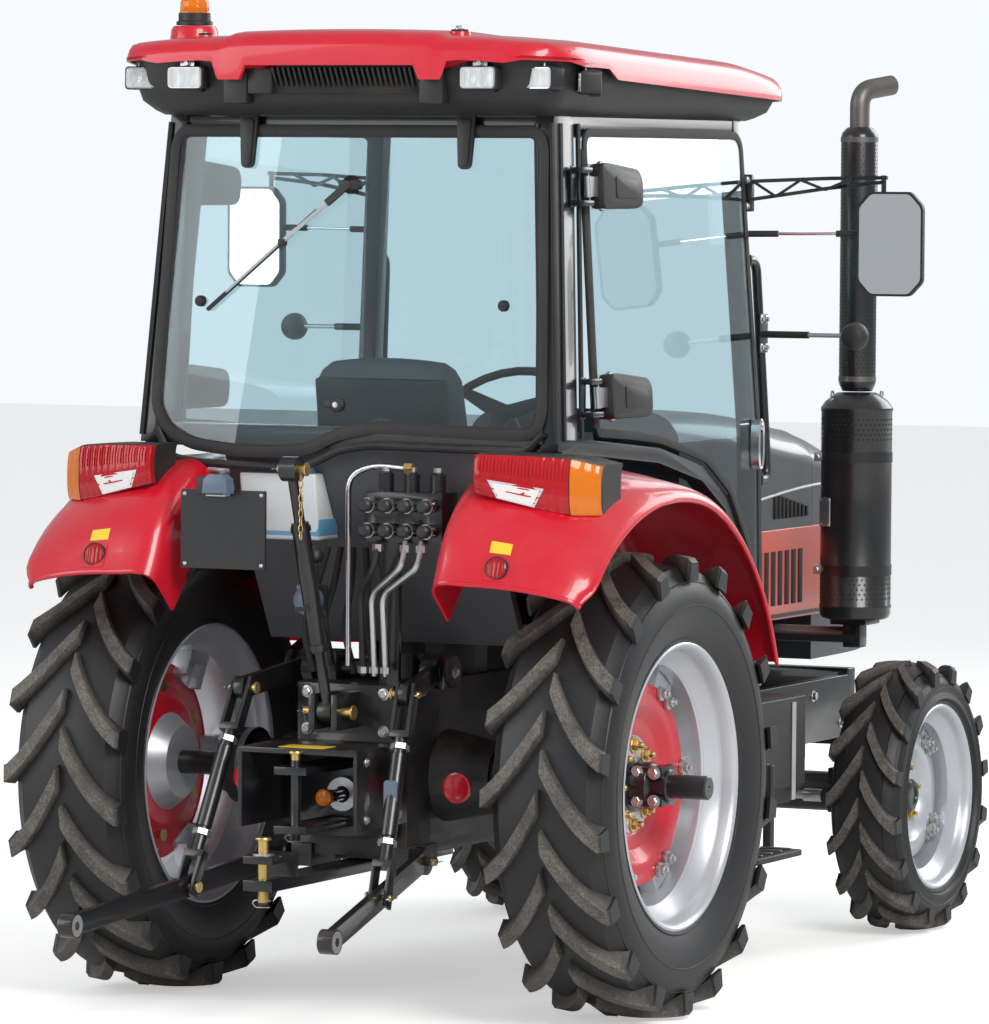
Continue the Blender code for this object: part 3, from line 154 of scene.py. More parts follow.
area_light("key_lamp", (-7.5, 6.5, 7.5), (0, 0, 1.0), 5.0, 950, (1.0, 0.98, 0.95))
area_light("fill_lamp", (6.5, 7.0, 4.0), (0, 0, 1.2), 6.0, 330)
area_light("front_lamp", (-3.5, -9.0, 5.5), (0, 0, 1.0), 6.0, 460)
bpy.context.scene.view_settings.view_transform = "Standard"

# %% [markdown]
# ## Shared effects
# Paint, plastic and castings all share a few effects: a fine relief, slow changes of tone, and dust that lies on
# what faces up. Each effect is one node group with named inputs, so that every material uses it with its own values.
# The coordinates are object coordinates: all meshes keep their origin at the frame's origin, so a metre in
# the material is a metre on the tractor.

# %% Node group helpers
def new_group(name, inputs, outputs):
    """A shader node group with named float or colour sockets, its nodes and its links."""
    tree = bpy.data.node_groups.new(name, "ShaderNodeTree")
    for direction, sockets in (("INPUT", inputs), ("OUTPUT", outputs)):
        for socket_name, default in sockets.items():
            kind = "NodeSocketColor" if isinstance(default, tuple) else "NodeSocketFloat"
            socket = tree.interface.new_socket(socket_name, in_out=direction, socket_type=kind)
            if direction == "INPUT":
                socket.default_value = default
    return tree, tree.nodes.new("NodeGroupInput"), tree.nodes.new("NodeGroupOutput")


def noise(tree, coordinates, scale, detail=3.0, rough=0.55):
    """A noise texture; scale is a number or a socket."""
    node = tree.nodes.new("ShaderNodeTexNoise")
    node.inputs["Detail"].default_value = detail
    node.inputs["Roughness"].default_value = rough
    tree.links.new(coordinates, node.inputs["Vector"])
    if isinstance(scale, (int, float)):
        node.inputs["Scale"].default_value = scale
    else:
        tree.links.new(scale, node.inputs["Scale"])
    return node.outputs["Fac"]


def math_node(tree, operation, *values):
    """One math node; each value is a number or a socket."""
    node = tree.nodes.new("ShaderNodeMath")
    node.operation = operation
    for socket, value in zip(node.inputs, values):
        if isinstance(value, (int, float)):
            socket.default_value = value
        else:
            tree.links.new(value, socket)
    return node.outputs[0]


def ramp(tree, value, low, high):
    """0 below low, 1 above high, smooth in between."""
    node = tree.nodes.new("ShaderNodeMapRange")
    node.interpolation_type = "SMOOTHSTEP"
    tree.links.new(value, node.inputs["Value"])
    node.inputs["From Min"].default_value = low
    node.inputs["From Max"].default_value = high
    return node.outputs["Result"]


def mix_colour(tree, factor, a, b):
    """A colour mix; a and b are colours or sockets."""
    node = tree.nodes.new("ShaderNodeMix")
    node.data_type = "RGBA"
    if isinstance(factor, (int, float)):
        node.inputs["Factor"].default_value = factor
    else:
        tree.links.new(factor, node.inputs["Factor"])
    for socket, value in ((node.inputs["A"], a), (node.inputs["B"], b)):
        if isinstance(value, tuple):
            socket.default_value = value
        else:
            tree.links.new(value, socket)
    return node.outputs["Result"]


def object_coordinates(tree):
    return tree.nodes.new("ShaderNodeTexCoord").outputs["Object"]


print("node helpers ready")

# %% Fine relief
def make_relief_group():
    """Height of a fine, even relief: orange peel in paint, grain in plastic, the sand of a casting."""
    tree, given, out = new_group("fine_relief", {"Scale": 400.0}, {"Height": 0.0})
    height = noise(tree, object_coordinates(tree), given.outputs["Scale"], 2.0)
    tree.links.new(height, out.inputs["Height"])
    return tree


RELIEF = make_relief_group()
print("group", RELIEF.name)

# %% Dust and tone
def make_dust_group():
    """Mixes a base colour with dust on what faces up and in slow patches, and gives the mask for the roughness."""
    tree, given, out = new_group(
        "dust_and_tone",
        {"Base": (0.5, 0.5, 0.5, 1.0), "Dust": (0.34, 0.29, 0.23, 1.0), "Amount": 0.2, "Tone": 0.1},
        {"Color": (0.5, 0.5, 0.5, 1.0), "Mask": 0.0})
    coordinates = object_coordinates(tree)
    geometry = tree.nodes.new("ShaderNodeNewGeometry")
    separate = tree.nodes.new("ShaderNodeSeparateXYZ")
    tree.links.new(geometry.outputs["Normal"], separate.inputs[0])
    faces_up = ramp(tree, separate.outputs["Z"], 0.1, 0.95)
    patches = ramp(tree, noise(tree, coordinates, 5.0, 6.0, 0.65), 0.38, 0.72)
    specks = ramp(tree, noise(tree, coordinates, 160.0, 3.0), 0.35, 0.75)
    lying = math_node(tree, "MULTIPLY_ADD", faces_up, 0.9, 0.28)
    mask = math_node(tree, "MULTIPLY", math_node(tree, "MULTIPLY", lying, patches), given.outputs["Amount"])
    mask = math_node(tree, "MULTIPLY", mask, math_node(tree, "MULTIPLY_ADD", specks, 0.6, 0.6))
    mask_clamp = math_node(tree, "MINIMUM", mask, 1.0)
    slow = noise(tree, coordinates, 2.3, 3.0)
    tone = math_node(tree, "MULTIPLY_ADD", math_node(tree, "SUBTRACT", slow, 0.5), given.outputs["Tone"], 1.0)
    toned = tree.nodes.new("ShaderNodeVectorMath")
    toned.operation = "SCALE"
    tree.links.new(given.outputs["Base"], toned.inputs[0])
    tree.links.new(tone, toned.inputs["Scale"])
    tree.links.new(mix_colour(tree, mask_clamp, toned.outputs[0], given.outputs["Dust"]), out.inputs["Color"])
    tree.links.new(mask_clamp, out.inputs["Mask"])
    return tree


DUST = make_dust_group()
print("group", DUST.name)

# %% [markdown]
# ## Finishes
# Most surfaces here are the same recipe with other numbers: a colour with some dust and tone, a roughness that the
# dust raises, and a fine relief. A table of finishes keeps those numbers side by side, so that the reds, blacks and
# metals can be balanced against each other.

# %% Painted, moulded and metal finishes
def place_group(tree, group, **values):
    node = tree.nodes.new("ShaderNodeGroup")
    node.node_tree = group
    for name, value in values.items():
        node.inputs[name].default_value = value
    return node


def finish_material(name, colour, rough, metal=0.0, coat=0.0, dust=0.2, tone=0.12, grain=400.0, depth=0.0003, **more):
    """A Principled material with dust, slow tone and a fine relief of that depth in metres."""
    material = bpy.data.materials.new(name)
    material.use_nodes = True
    material.diffuse_color = (*colour, 1)
    tree = material.node_tree
    shader = tree.nodes["Principled BSDF"]
    shader.inputs["Metallic"].default_value = metal
    shader.inputs["Coat Weight"].default_value = coat
    shader.inputs["Coat Roughness"].default_value = 0.04
    for socket, value in more.items():
        shader.inputs[socket.replace("_", " ")].default_value = value
    dusted = place_group(tree, DUST, Base=(*colour, 1.0), Amount=dust, Tone=tone)
    tree.links.new(dusted.outputs["Color"], shader.inputs["Base Color"])
    tree.links.new(math_node(tree, "MULTIPLY_ADD", dusted.outputs["Mask"], 0.5, rough), shader.inputs["Roughness"])
    relief = place_group(tree, RELIEF, Scale=grain)
    bump = tree.nodes.new("ShaderNodeBump")
    bump.inputs["Distance"].default_value = depth
    bump.inputs["Strength"].default_value = 0.5
    tree.links.new(relief.outputs["Height"], bump.inputs["Height"])
    tree.links.new(bump.outputs["Normal"], shader.inputs["Normal"])
    return material


# name: colour, roughness, metal, coat, dust, tone, grain per metre, depth in metres
FINISHES = {
    "crimson_paint": ((0.56, 0.004, 0.020), 0.30, 0.0, 0.45, 0.10, 0.10, 160, 0.00012),
    "orange_red_paint": ((0.60, 0.055, 0.022), 0.38, 0.0, 0.3, 0.15, 0.12, 200, 0.00012),
    "shaded_red_paint": ((0.34, 0.008, 0.016), 0.42, 0.0, 0.2, 0.45, 0.25, 200, 0.0002),
    "black_paint": ((0.007, 0.008, 0.010), 0.30, 0.0, 0.35, 0.10, 0.3, 300, 0.00015),
    "black_casting": ((0.011, 0.011, 0.013), 0.44, 0.0, 0.1, 0.30, 0.3, 260, 0.0012),
    "blue_grey_paint": ((0.10, 0.14, 0.20), 0.40, 0.1, 0.1, 0.25, 0.2, 300, 0.0002),
    "black_plastic": ((0.012, 0.012, 0.013), 0.48, 0.0, 0.0, 0.14, 0.15, 900, 0.0003),
    "seal_rubber": ((0.012, 0.012, 0.013), 0.62, 0.0, 0.0, 0.15, 0.1, 700, 0.0002),
    "hood_paint": ((0.042, 0.047, 0.056), 0.30, 0.0, 0.4, 0.16, 0.1, 200, 0.0001),
    "silver_paint": ((0.56, 0.58, 0.62), 0.34, 0.55, 0.2, 0.14, 0.1, 300, 0.0001),
    "zinc_plate": ((0.55, 0.56, 0.57), 0.30, 0.9, 0.0, 0.10, 0.2, 500, 0.0001),
    "gold_zinc": ((0.62, 0.44, 0.16), 0.30, 0.9, 0.0, 0.10, 0.25, 500, 0.0001),
    "polished_steel": ((0.70, 0.71, 0.73), 0.12, 1.0, 0.0, 0.04, 0.05, 600, 0.00003),
    "exhaust_steel": ((0.16, 0.15, 0.145), 0.45, 0.8, 0.0, 0.25, 0.5, 300, 0.0003),
    "blank_yellow": ((0.80, 0.55, 0.03), 0.40, 0.0, 0.2, 0.08, 0.05, 300, 0.00005),
    "blank_white": ((0.74, 0.75, 0.74), 0.35, 0.0, 0.2, 0.10, 0.05, 300, 0.00005),
    "tank_plastic": ((0.66, 0.70, 0.72), 0.34, 0.0, 0.0, 0.12, 0.1, 500, 0.0002),
    "band_blue": ((0.12, 0.34, 0.55), 0.40, 0.0, 0.0, 0.08, 0.1, 500, 0.0001),
    "warm_orange_plastic": ((0.78, 0.20, 0.01), 0.35, 0.0, 0.2, 0.10, 0.1, 500, 0.0001),
    "beige_panel": ((0.36, 0.31, 0.24), 0.55, 0.0, 0.0, 0.30, 0.2, 300, 0.0002),
    "cab_lining": ((0.10, 0.105, 0.115), 0.70, 0.0, 0.0, 0.10, 0.1, 900, 0.0004),
    # near-black painted shade, used for slots, holes, the louvre and recesses
    "painted_shade_black": ((0.006, 0.006, 0.006), 0.80, 0.0, 0.0, 0.20, 0.1, 300, 0.0002),
    "floor_paint": ((0.80, 0.80, 0.79), 0.85, 0.0, 0.0, 0.00, 0.02, 3, 0.0005),
}
MATERIALS = {name: finish_material(name, *values) for name, values in FINISHES.items()}
studio_floor.data.materials.append(MATERIALS["floor_paint"])
floor_tree = MATERIALS["floor_paint"].node_tree
floor_path = floor_tree.nodes.new("ShaderNodeLightPath")
floor_shader = floor_tree.nodes["Principled BSDF"]
floor_shader.inputs["Emission Color"].default_value = (1, 1, 1, 1)
floor_tree.links.new(
    math_node(floor_tree, "MULTIPLY", floor_path.outputs["Is Camera Ray"], 0.46), floor_shader.inputs["Emission Strength"])
print(len(MATERIALS), "finishes:", ", ".join(MATERIALS))

# %% [markdown]
# ## Glass and lenses
# Cab glass is a real pane with two faces, so the shader only needs full transmission and a faint tint. Lamp lenses
# are coloured plastic: a moderate transmission with a ribbed relief shows the ribs without tracing deep bounces.

# %% Glass and lens materials
def clear_material(name, colour, rough, transmission, alpha=1.0):
    """Transparent material with plain numbers on its own sockets."""
    material = bpy.data.materials.new(name)
    material.use_nodes = True
    material.diffuse_color = (*colour, 0.4)
    shader = material.node_tree.nodes["Principled BSDF"]
    shader.inputs["Base Color"].default_value = (*colour, 1)
    shader.inputs["Roughness"].default_value = rough
    shader.inputs["IOR"].default_value = 1.46
    shader.inputs["Transmission Weight"].default_value = transmission
    shader.inputs["Alpha"].default_value = alpha
    return material


def lens_material(name, colour, ribs, transmission=0.35):
    """Coloured plastic with upright ribs, that many in a metre."""
    material = clear_material(name, colour, 0.12, transmission)
    tree = material.node_tree
    shader = tree.nodes["Principled BSDF"]
    wave = tree.nodes.new("ShaderNodeTexWave")
    wave.bands_direction = "X"
    wave.inputs["Scale"].default_value = ribs / 20
    tree.links.new(object_coordinates(tree), wave.inputs["Vector"])
    bump = tree.nodes.new("ShaderNodeBump")
    bump.inputs["Distance"].default_value = 0.002
    bump.inputs["Strength"].default_value = 0.6
    tree.links.new(wave.outputs["Fac"], bump.inputs["Height"])
    tree.links.new(bump.outputs["Normal"], shader.inputs["Normal"])
    return material


MATERIALS["cab_glass"] = clear_material("cab_glass", (0.70, 0.83, 0.86), 0.0, 1.0)
MATERIALS["mirror_glass"] = finish_material("mirror_glass", (0.82, 0.84, 0.86), 0.03, 1.0, dust=0.0, tone=0.0, depth=0.0)
MATERIALS["red_lens"] = lens_material("red_lens", (0.62, 0.012, 0.02), 260)
MATERIALS["orange_lens"] = lens_material("orange_lens", (0.90, 0.24, 0.01), 260)
MATERIALS["white_lens"] = lens_material("white_lens", (0.80, 0.82, 0.84), 260, 0.5)
MATERIALS["lamp_glass"] = lens_material("lamp_glass", (0.85, 0.88, 0.90), 180, 0.6)
MATERIALS["reflector_red"] = lens_material("reflector_red", (0.42, 0.008, 0.012), 500, 0.2)
print("glass and lenses ready")

# %% [markdown]
# ## Shapes as lists of points and faces
# A small part such as a bolt or a bracket is a shape: its points and its faces. Shapes are cheap to copy, mirror and
# turn, and join() makes one object of as many as belong together, each with its own finish. That keeps hundreds of
# bolts out of the object list.

# %% Shape helpers
def shape_of(bm):
    """The points and faces of a bmesh, which is then freed."""
    bm.verts.index_update()
    shape = ([v.co.copy() for v in bm.verts], [[v.index for v in f.verts] for f in bm.faces])
    bm.free()
    return shape


def moved(shape, matrix):
    """The shape carried by a matrix; a mirroring matrix also turns its faces."""
    points, faces = shape
    if matrix.determinant() < 0:
        faces = [list(reversed(f)) for f in faces]
    return [matrix @ p for p in points], faces


def shifted(shape, offset):
    return moved(shape, Matrix.Translation(Vector(offset)))


def mirrored(shape):
    """The shape on the tractor's other side."""
    return moved(shape, Matrix.Scale(-1, 4, X))


def on_side(shape, side):
    return shape if side > 0 else mirrored(shape)


def axis_frame(at, axis, across=None):
    """A matrix that takes Z to the axis and puts the origin at a point."""
    axis = Vector(axis).normalized()
    side = Vector(across) if across else (Y if abs(axis.y) < 0.9 else X)
    side = (side - axis * side.dot(axis)).normalized()
    return Matrix.Translation(Vector(at)) @ Matrix((side, axis.cross(side), axis)).transposed().to_4x4()


def block(low, high, bevel=0.0, segments=2):
    """A box between two corners, its edges rounded by a bevel."""
    bm = bmesh.new()
    bmesh.ops.create_cube(bm, size=1)
    low, high = Vector(low), Vector(high)
    for v in bm.verts:
        v.co = Vector((h if c > 0 else l for c, l, h in zip(v.co, low, high)))
    if bevel:
        bevel = min(bevel, 0.45 * min(high - low))
        bmesh.ops.bevel(bm, geom=bm.edges[:], offset=bevel, segments=segments, affect="EDGES", profile=0.6)
    return shape_of(bm)


def turned(profile, at=(0, 0, 0), axis=Z, sides=32, looped=False):
    """A lathe shape: profile is (radius, height along the axis) from one end to the other, or once round if looped."""
    points, rings = [], []
    for radius, height in profile:
        if radius < 1e-6:
            rings.append([len(points)] * sides)
            points.append(Vector((0, 0, height)))
            continue
        rings.append(list(range(len(points), len(points) + sides)))
        for i in range(sides):
            angle = math.tau * i / sides
            points.append(Vector((radius * math.cos(angle), radius * math.sin(angle), height)))
    faces = []
    following = rings[1:] + rings[:1] if looped else rings[1:]
    for a, b in zip(rings, following):
        for i in range(sides):
            j = (i + 1) % sides
            ring = [a[i], a[j], b[j], b[i]]
            corners = [c for k, c in enumerate(ring) if c not in ring[:k]]
            if len(corners) > 2:
                faces.append(corners)
    for ring, turn in ((rings[0], -1), (rings[-1], 1)):
        if ring[0] != ring[1] and not looped:
            faces.append(ring[::turn])
    return moved((points, faces), axis_frame(at, axis))


def loft(rings, capped=True, closed=False):
    """A skin over rings of equally many points; closed joins the last ring to the first."""
    count = len(rings[0])
    points = [Vector(p) for ring in rings for p in ring]
    faces = []
    pairs = list(zip(range(len(rings)), range(1, len(rings))))
    if closed:
        pairs.append((len(rings) - 1, 0))
    for a, b in pairs:
        for i in range(count):
            j = (i + 1) % count
            faces.append([a * count + i, a * count + j, b * count + j, b * count + i])
    if capped and not closed:
        faces.append(list(range(count))[::-1])
        faces.append(list(range((len(rings) - 1) * count, len(points))))
    return points, faces


def rounded_path(corners, bend, steps=6):
    """The corners as a path whose bends have about that radius."""
    corners = [Vector(c) for c in corners]
    path = [corners[0]]
    for before, corner, after in zip(corners, corners[1:], corners[2:]):
        reach = min(bend, (before - corner).length / 2.01, (after - corner).length / 2.01)
        start = corner + (before - corner).normalized() * reach
        end = corner + (after - corner).normalized() * reach
        for i in range(steps + 1):
            t = i / steps
            path.append(start * (1 - t) ** 2 + corner * 2 * t * (1 - t) + end * t * t)
    path.append(corners[-1])
    return [p for i, p in enumerate(path) if i == 0 or (p - path[i - 1]).length > 1e-5]


def path_frames(path):
    """A point, a side and an upper direction along the path, turned as little as possible from one to the next."""
    path = [Vector(p) for p in path]
    heading = [(b - a).normalized() for a, b in zip(path, path[1:])]
    heading = [heading[0]] + [(a + b).normalized() for a, b in zip(heading, heading[1:])] + [heading[-1]]
    side = heading[0].orthogonal().normalized()
    if abs(heading[0].z) < 0.9:
        side = heading[0].cross(Z).normalized()
    frames = []
    for point, ahead in zip(path, heading):
        side = (side - ahead * side.dot(ahead)).normalized()
        frames.append((point, side, side.cross(ahead)))
    return frames


def pipe(corners, radius, bend=0.05, sides=12, steps=6):
    """A round pipe along a path with rounded bends."""
    rings = [
        [point + (side * math.cos(math.tau * i / sides) + above * math.sin(math.tau * i / sides)) * radius
         for i in range(sides)]
        for point, side, above in path_frames(rounded_path(corners, bend, steps))]
    return loft(rings)


def strip(corners, width, thickness, bend=0.03, up=None, steps=6):
    """A flat bar along a path: width lies along up, thickness across it."""
    rings = []
    for point, side, above in path_frames(rounded_path(corners, bend, steps)):
        if up is not None:
            ahead = side.cross(above)
            above = Vector(up)
            above = (above - ahead * above.dot(ahead)).normalized()
            side = above.cross(ahead)
        rings.append([point + above * a * width / 2 + side * s * thickness / 2
                      for a, s in ((1, 1), (-1, 1), (-1, -1), (1, -1))])
    return loft(rings)


def plate(outline, thickness, matrix=Matrix(), bevel=0.0):
    """A flat plate: outline is (x, y) points, its thickness runs from 0 along z, and matrix puts it in place."""
    bm = bmesh.new()
    lower = [bm.verts.new((x, y, 0)) for x, y in outline]
    upper = [bm.verts.new((x, y, thickness)) for x, y in outline]
    bm.faces.new(lower[::-1])
    bm.faces.new(upper)
    for i, (a, b) in enumerate(zip(lower, upper)):
        j = (i + 1) % len(lower)
        bm.faces.new((a, lower[j], upper[j], b))
    bmesh.ops.recalc_face_normals(bm, faces=bm.faces[:])
    if bevel:
        rims = [e for e in bm.edges if len({round(v.co.z, 6) for v in e.verts}) == 1]
        bmesh.ops.bevel(bm, geom=rims, offset=bevel, segments=2, affect="EDGES", profile=0.6)
    return moved(shape_of(bm), matrix)


def round_corners(outline, radius, steps=5):
    """A closed outline of (x, y) corners, each corner rounded."""
    outline = [Vector((x, y, 0)) for x, y in outline]
    count, path = len(outline), []
    for i, corner in enumerate(outline):
        before, after = outline[i - 1], outline[(i + 1) % count]
        reach = min(radius, (before - corner).length / 2.01, (after - corner).length / 2.01)
        start = corner + (before - corner).normalized() * reach
        end = corner + (after - corner).normalized() * reach
        path += [start * (1 - t) ** 2 + corner * 2 * t * (1 - t) + end * t * t
                 for t in (k / steps for k in range(steps + 1))]
    return [(p.x, p.y) for p in path]


def bolt(at, axis, head=0.012, tall=None, washer=True):
    """A hexagon bolt head on its washer; head is the radius over the corners."""
    tall = tall or head * 0.75
    base = head * 0.18 if washer else 0.0
    hexagon = turned(
        [(head * 0.9, base), (head, base + tall * 0.12), (head, base + tall * 0.85), (head * 0.86, base + tall), (0, base + tall)],
        at, axis, 6)
    if not washer:
        return hexagon
    disc = turned([(head * 1.45, 0), (head * 1.45, base * 0.7), (head * 1.3, base), (0, base)], at, axis, 20)
    return merged([hexagon, disc])


def dome(at, axis, radius, tall, sides=24):
    """A low round cap."""
    profile = [(radius * math.cos(a), tall * math.sin(a)) for a in (math.pi / 2 * k / 6 for k in range(7))]
    return turned(profile, at, axis, sides)


def merged(shapes):
    """Several shapes as one."""
    points, faces = [], []
    for shape_points, shape_faces in shapes:
        faces += [[i + len(points) for i in f] for f in shape_faces]
        points += shape_points
    return points, faces


def join(name, body, parts, sharp=35, replaces=()):
    """One object of (finish, shape) pairs, riding on a body."""
    finishes = list(dict.fromkeys(finish for finish, _ in parts))
    points, faces, indices = [], [], []
    for finish, (shape_points, shape_faces) in parts:
        faces += [[i + len(points) for i in f] for f in shape_faces]
        points += shape_points
        indices += [finishes.index(finish)] * len(shape_faces)
    mesh = bpy.data.meshes.new(name)
    mesh.from_pydata(points, [], faces)
    for finish in finishes:
        mesh.materials.append(MATERIALS[finish])
    mesh.polygons.foreach_set("material_index", indices)
    bm = bmesh.new()
    bm.from_mesh(mesh)
    bmesh.ops.recalc_face_normals(bm, faces=bm.faces[:])
    bm.to_mesh(mesh)
    bm.free()
    mesh.shade_smooth()
    mesh.set_sharp_from_angle(angle=math.radians(sharp))
    made = bpy.data.objects.new(name, mesh)
    bpy.context.scene.collection.objects.link(made)
    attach(made, body)
    if replaces:
        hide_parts(*replaces)
    return made


print("shape helpers ready")

# %% [markdown]
# ## Solids with eased edges
# No pressed, welded or cast part has knife edges: light always catches a small radius. Each construction solid that
# keeps its shape is copied, its flat faces are cleaned, and a narrow bevel rounds what is left of the sharp edges.
# The copy replaces the solid, so every edge on the tractor gets a highlight.

# %% Eased copies of the solids
def eased(node, finish, slot, width=0.003, sharp=35, finish_of=None):
    """A copy of a solid with rounded edges that replaces it; finish_of(face centre, normal) may name another finish."""
    source = frame["nodes"][node]
    bm = bmesh.new()
    bm.from_mesh(source.data)
    bmesh.ops.remove_doubles(bm, verts=bm.verts[:], dist=1e-5)
    bmesh.ops.dissolve_limit(bm, angle_limit=math.radians(1.5), verts=bm.verts[:], edges=bm.edges[:])
    edges = [e for e in bm.edges if len(e.link_faces) == 2 and e.calc_face_angle(0) > math.radians(sharp)]
    if width:
        bmesh.ops.bevel(bm, geom=edges, offset=width, segments=2, affect="EDGES", profile=0.6, clamp_overlap=True)
    bmesh.ops.recalc_face_normals(bm, faces=bm.faces[:])
    finishes = [finish]
    bm.faces.ensure_lookup_table()
    for face in bm.faces:
        wanted = finish_of(face.calc_center_median(), face.normal) if finish_of else finish
        if wanted not in finishes:
            finishes.append(wanted)
        face.material_index = finishes.index(wanted)
    mesh = bpy.data.meshes.new(node + "_eased")
    bm.to_mesh(mesh)
    bm.free()
    for name in finishes:
        mesh.materials.append(MATERIALS[name])
    mesh.shade_smooth()
    mesh.set_sharp_from_angle(angle=math.radians(sharp))
    made = bpy.data.objects.new(node + "_eased", mesh)
    bpy.context.scene.collection.objects.link(made)
    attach(made, source["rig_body"])
    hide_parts(node)
    return made


# node: finish, slot, bevel in metres
EASED = {
    "engine": ("black_casting", "casting", 0.008), "gearbox": ("black_casting", "casting", 0.006),
    "front_frame": ("black_paint", "casting", 0.004), "front_axle": ("black_casting", "casting", 0.006),
    "knuckle_left": ("black_casting", "casting", 0.004), "knuckle_right": ("black_casting", "casting", 0.004),
    "steering_rod": ("zinc_plate", "rim_steel", 0.002), "valve_block": ("black_paint", "casting", 0.003),
    "side_panel_left": ("orange_red_paint", "side_red", 0.003),
    "side_panel_right": ("orange_red_paint", "side_red", 0.003),
    "cab_frame": ("black_paint", "black_paint", 0.005), "cab_floor": ("cab_lining", "black_plastic", 0.004),
    "dashboard": ("black_plastic", "black_plastic", 0.004), 
    "fuel_tank": ("black_plastic", "black_paint", 0.010), "battery_box": ("black_plastic", "black_paint", 0.010),
    "plate_bracket": ("black_plastic", "black_paint", 0.003), "washer_tank": ("tank_plastic", "tank_white", 0.008),
    "tow_hitch": ("black_paint", "black_paint", 0.003), "drawbar": ("black_paint", "black_paint", 0.003),
    "rockshaft": ("black_paint", "black_paint", 0.003), "top_link": ("black_paint", "black_paint", 0.002),
    "lower_link_left": ("black_paint", "black_paint", 0.003), "lower_link_right": ("black_paint", "black_paint", 0.003),
    "lift_rod_left": ("black_paint", "black_paint", 0.002),
    "lift_rod_right": ("black_paint", "black_paint", 0.002),
    "windscreen": ("cab_glass", "cab_glass", 0.0),
}
for node, (finish, slot, width) in EASED.items():
    eased(node, finish, slot, width)
print(len(EASED), "solids eased")

# %% [markdown]
# ## Lugged tyres
# A drive tyre is a smooth carcass with broad slanted lugs that meet in an arrow at the middle. The carcass is a
# lathe shape. Each lug is swept along a curved line, steep near the middle and flatter at the shoulder, where its end
# drops down the side. The lugs of one side sit half a step behind those of the other, so that they interlock. Dry
# soil sits on the lug tops: a point attribute marks how high each point stands, and the rubber's material reads it.

# %% Rubber with soil on its high parts
def make_rubber():
    """Matt black rubber; the attribute 'worn' mixes in dry soil, broken up by noise."""
    material = bpy.data.materials.new("tyre_rubber")
    material.use_nodes = True
    material.diffuse_color = (0.05, 0.05, 0.05, 1)
    tree = material.node_tree
    shader = tree.nodes["Principled BSDF"]
    coordinates = object_coordinates(tree)
    worn = tree.nodes.new("ShaderNodeAttribute")
    worn.attribute_name = "worn"
    patches = ramp(tree, noise(tree, coordinates, 11.0, 6.0, 0.7), 0.30, 0.62)
    fine = ramp(tree, noise(tree, coordinates, 150.0, 4.0, 0.75), 0.34, 0.66)
    soil = math_node(tree, "MULTIPLY", worn.outputs["Fac"], math_node(tree, "MULTIPLY_ADD", patches, 0.6, 0.35))
    soil = math_node(tree, "MULTIPLY", soil, math_node(tree, "MULTIPLY_ADD", fine, 0.7, 0.3))
    splashes = ramp(tree, noise(tree, coordinates, 60.0, 8.0, 0.8), 0.58, 0.75)
    film = math_node(tree, "MULTIPLY", math_node(tree, "MULTIPLY", splashes, patches), 0.25)
    mask = math_node(tree, "MAXIMUM", soil, film)
    colour = mix_colour(tree, mask, (0.011, 0.0115, 0.013, 1.0), (0.185, 0.165, 0.14, 1.0))
    tree.links.new(colour, shader.inputs["Base Color"])
    tree.links.new(math_node(tree, "MULTIPLY_ADD", mask, 0.35, 0.46), shader.inputs["Roughness"])
    relief = place_group(tree, RELIEF, Scale=240.0)
    bump = tree.nodes.new("ShaderNodeBump")
    bump.inputs["Distance"].default_value = 0.001
    bump.inputs["Strength"].default_value = 0.6
    tree.links.new(relief.outputs["Height"], bump.inputs["Height"])
    tree.links.new(bump.outputs["Normal"], shader.inputs["Normal"])
    return material


MATERIALS["tyre_rubber"] = make_rubber()
print("rubber ready")

# %% Carcass
def carcass_profile(radius, half, rim_radius, rim_half):
    """(radius, x) points once round the tyre's wall: outside from bead to bead, then the inner liner back."""
    wall = radius - rim_radius
    outside = [
        (rim_radius - 0.012, rim_half - 0.012), (rim_radius - 0.001, rim_half - 0.011),
        (rim_radius + 0.005, rim_half + 0.001), (rim_radius + 0.012, rim_half + 0.004),
        (rim_radius + 0.016, rim_half + 0.002), (rim_radius + wall * 0.20, rim_half + 0.014),
        (rim_radius + wall * 0.38, half - 0.004), (rim_radius + wall * 0.50, half),
        (rim_radius + wall * 0.62, half - 0.001), (rim_radius + wall * 0.76, half - 0.010),
        (rim_radius + wall * 0.88, half - 0.026), (radius - 0.006, half - 0.048), (radius, half * 0.58),
        (radius + 0.005, half * 0.3), (radius + 0.007, 0)]
    outside += [(r, -x) for r, x in outside[-2::-1]]
    inside = [(rim_radius - 0.012, -rim_half + 0.030), (rim_radius + wall * 0.5, -half + 0.030),
              (radius - 0.030, -half * 0.6)]
    return outside + inside + [(r, -x) for r, x in inside[::-1]]


print("carcass of the rear tyre has", len(carcass_profile(0.62, 0.185, 0.4, 0.153)), "points round it")

# %% One lug
LUG_STEPS = 9


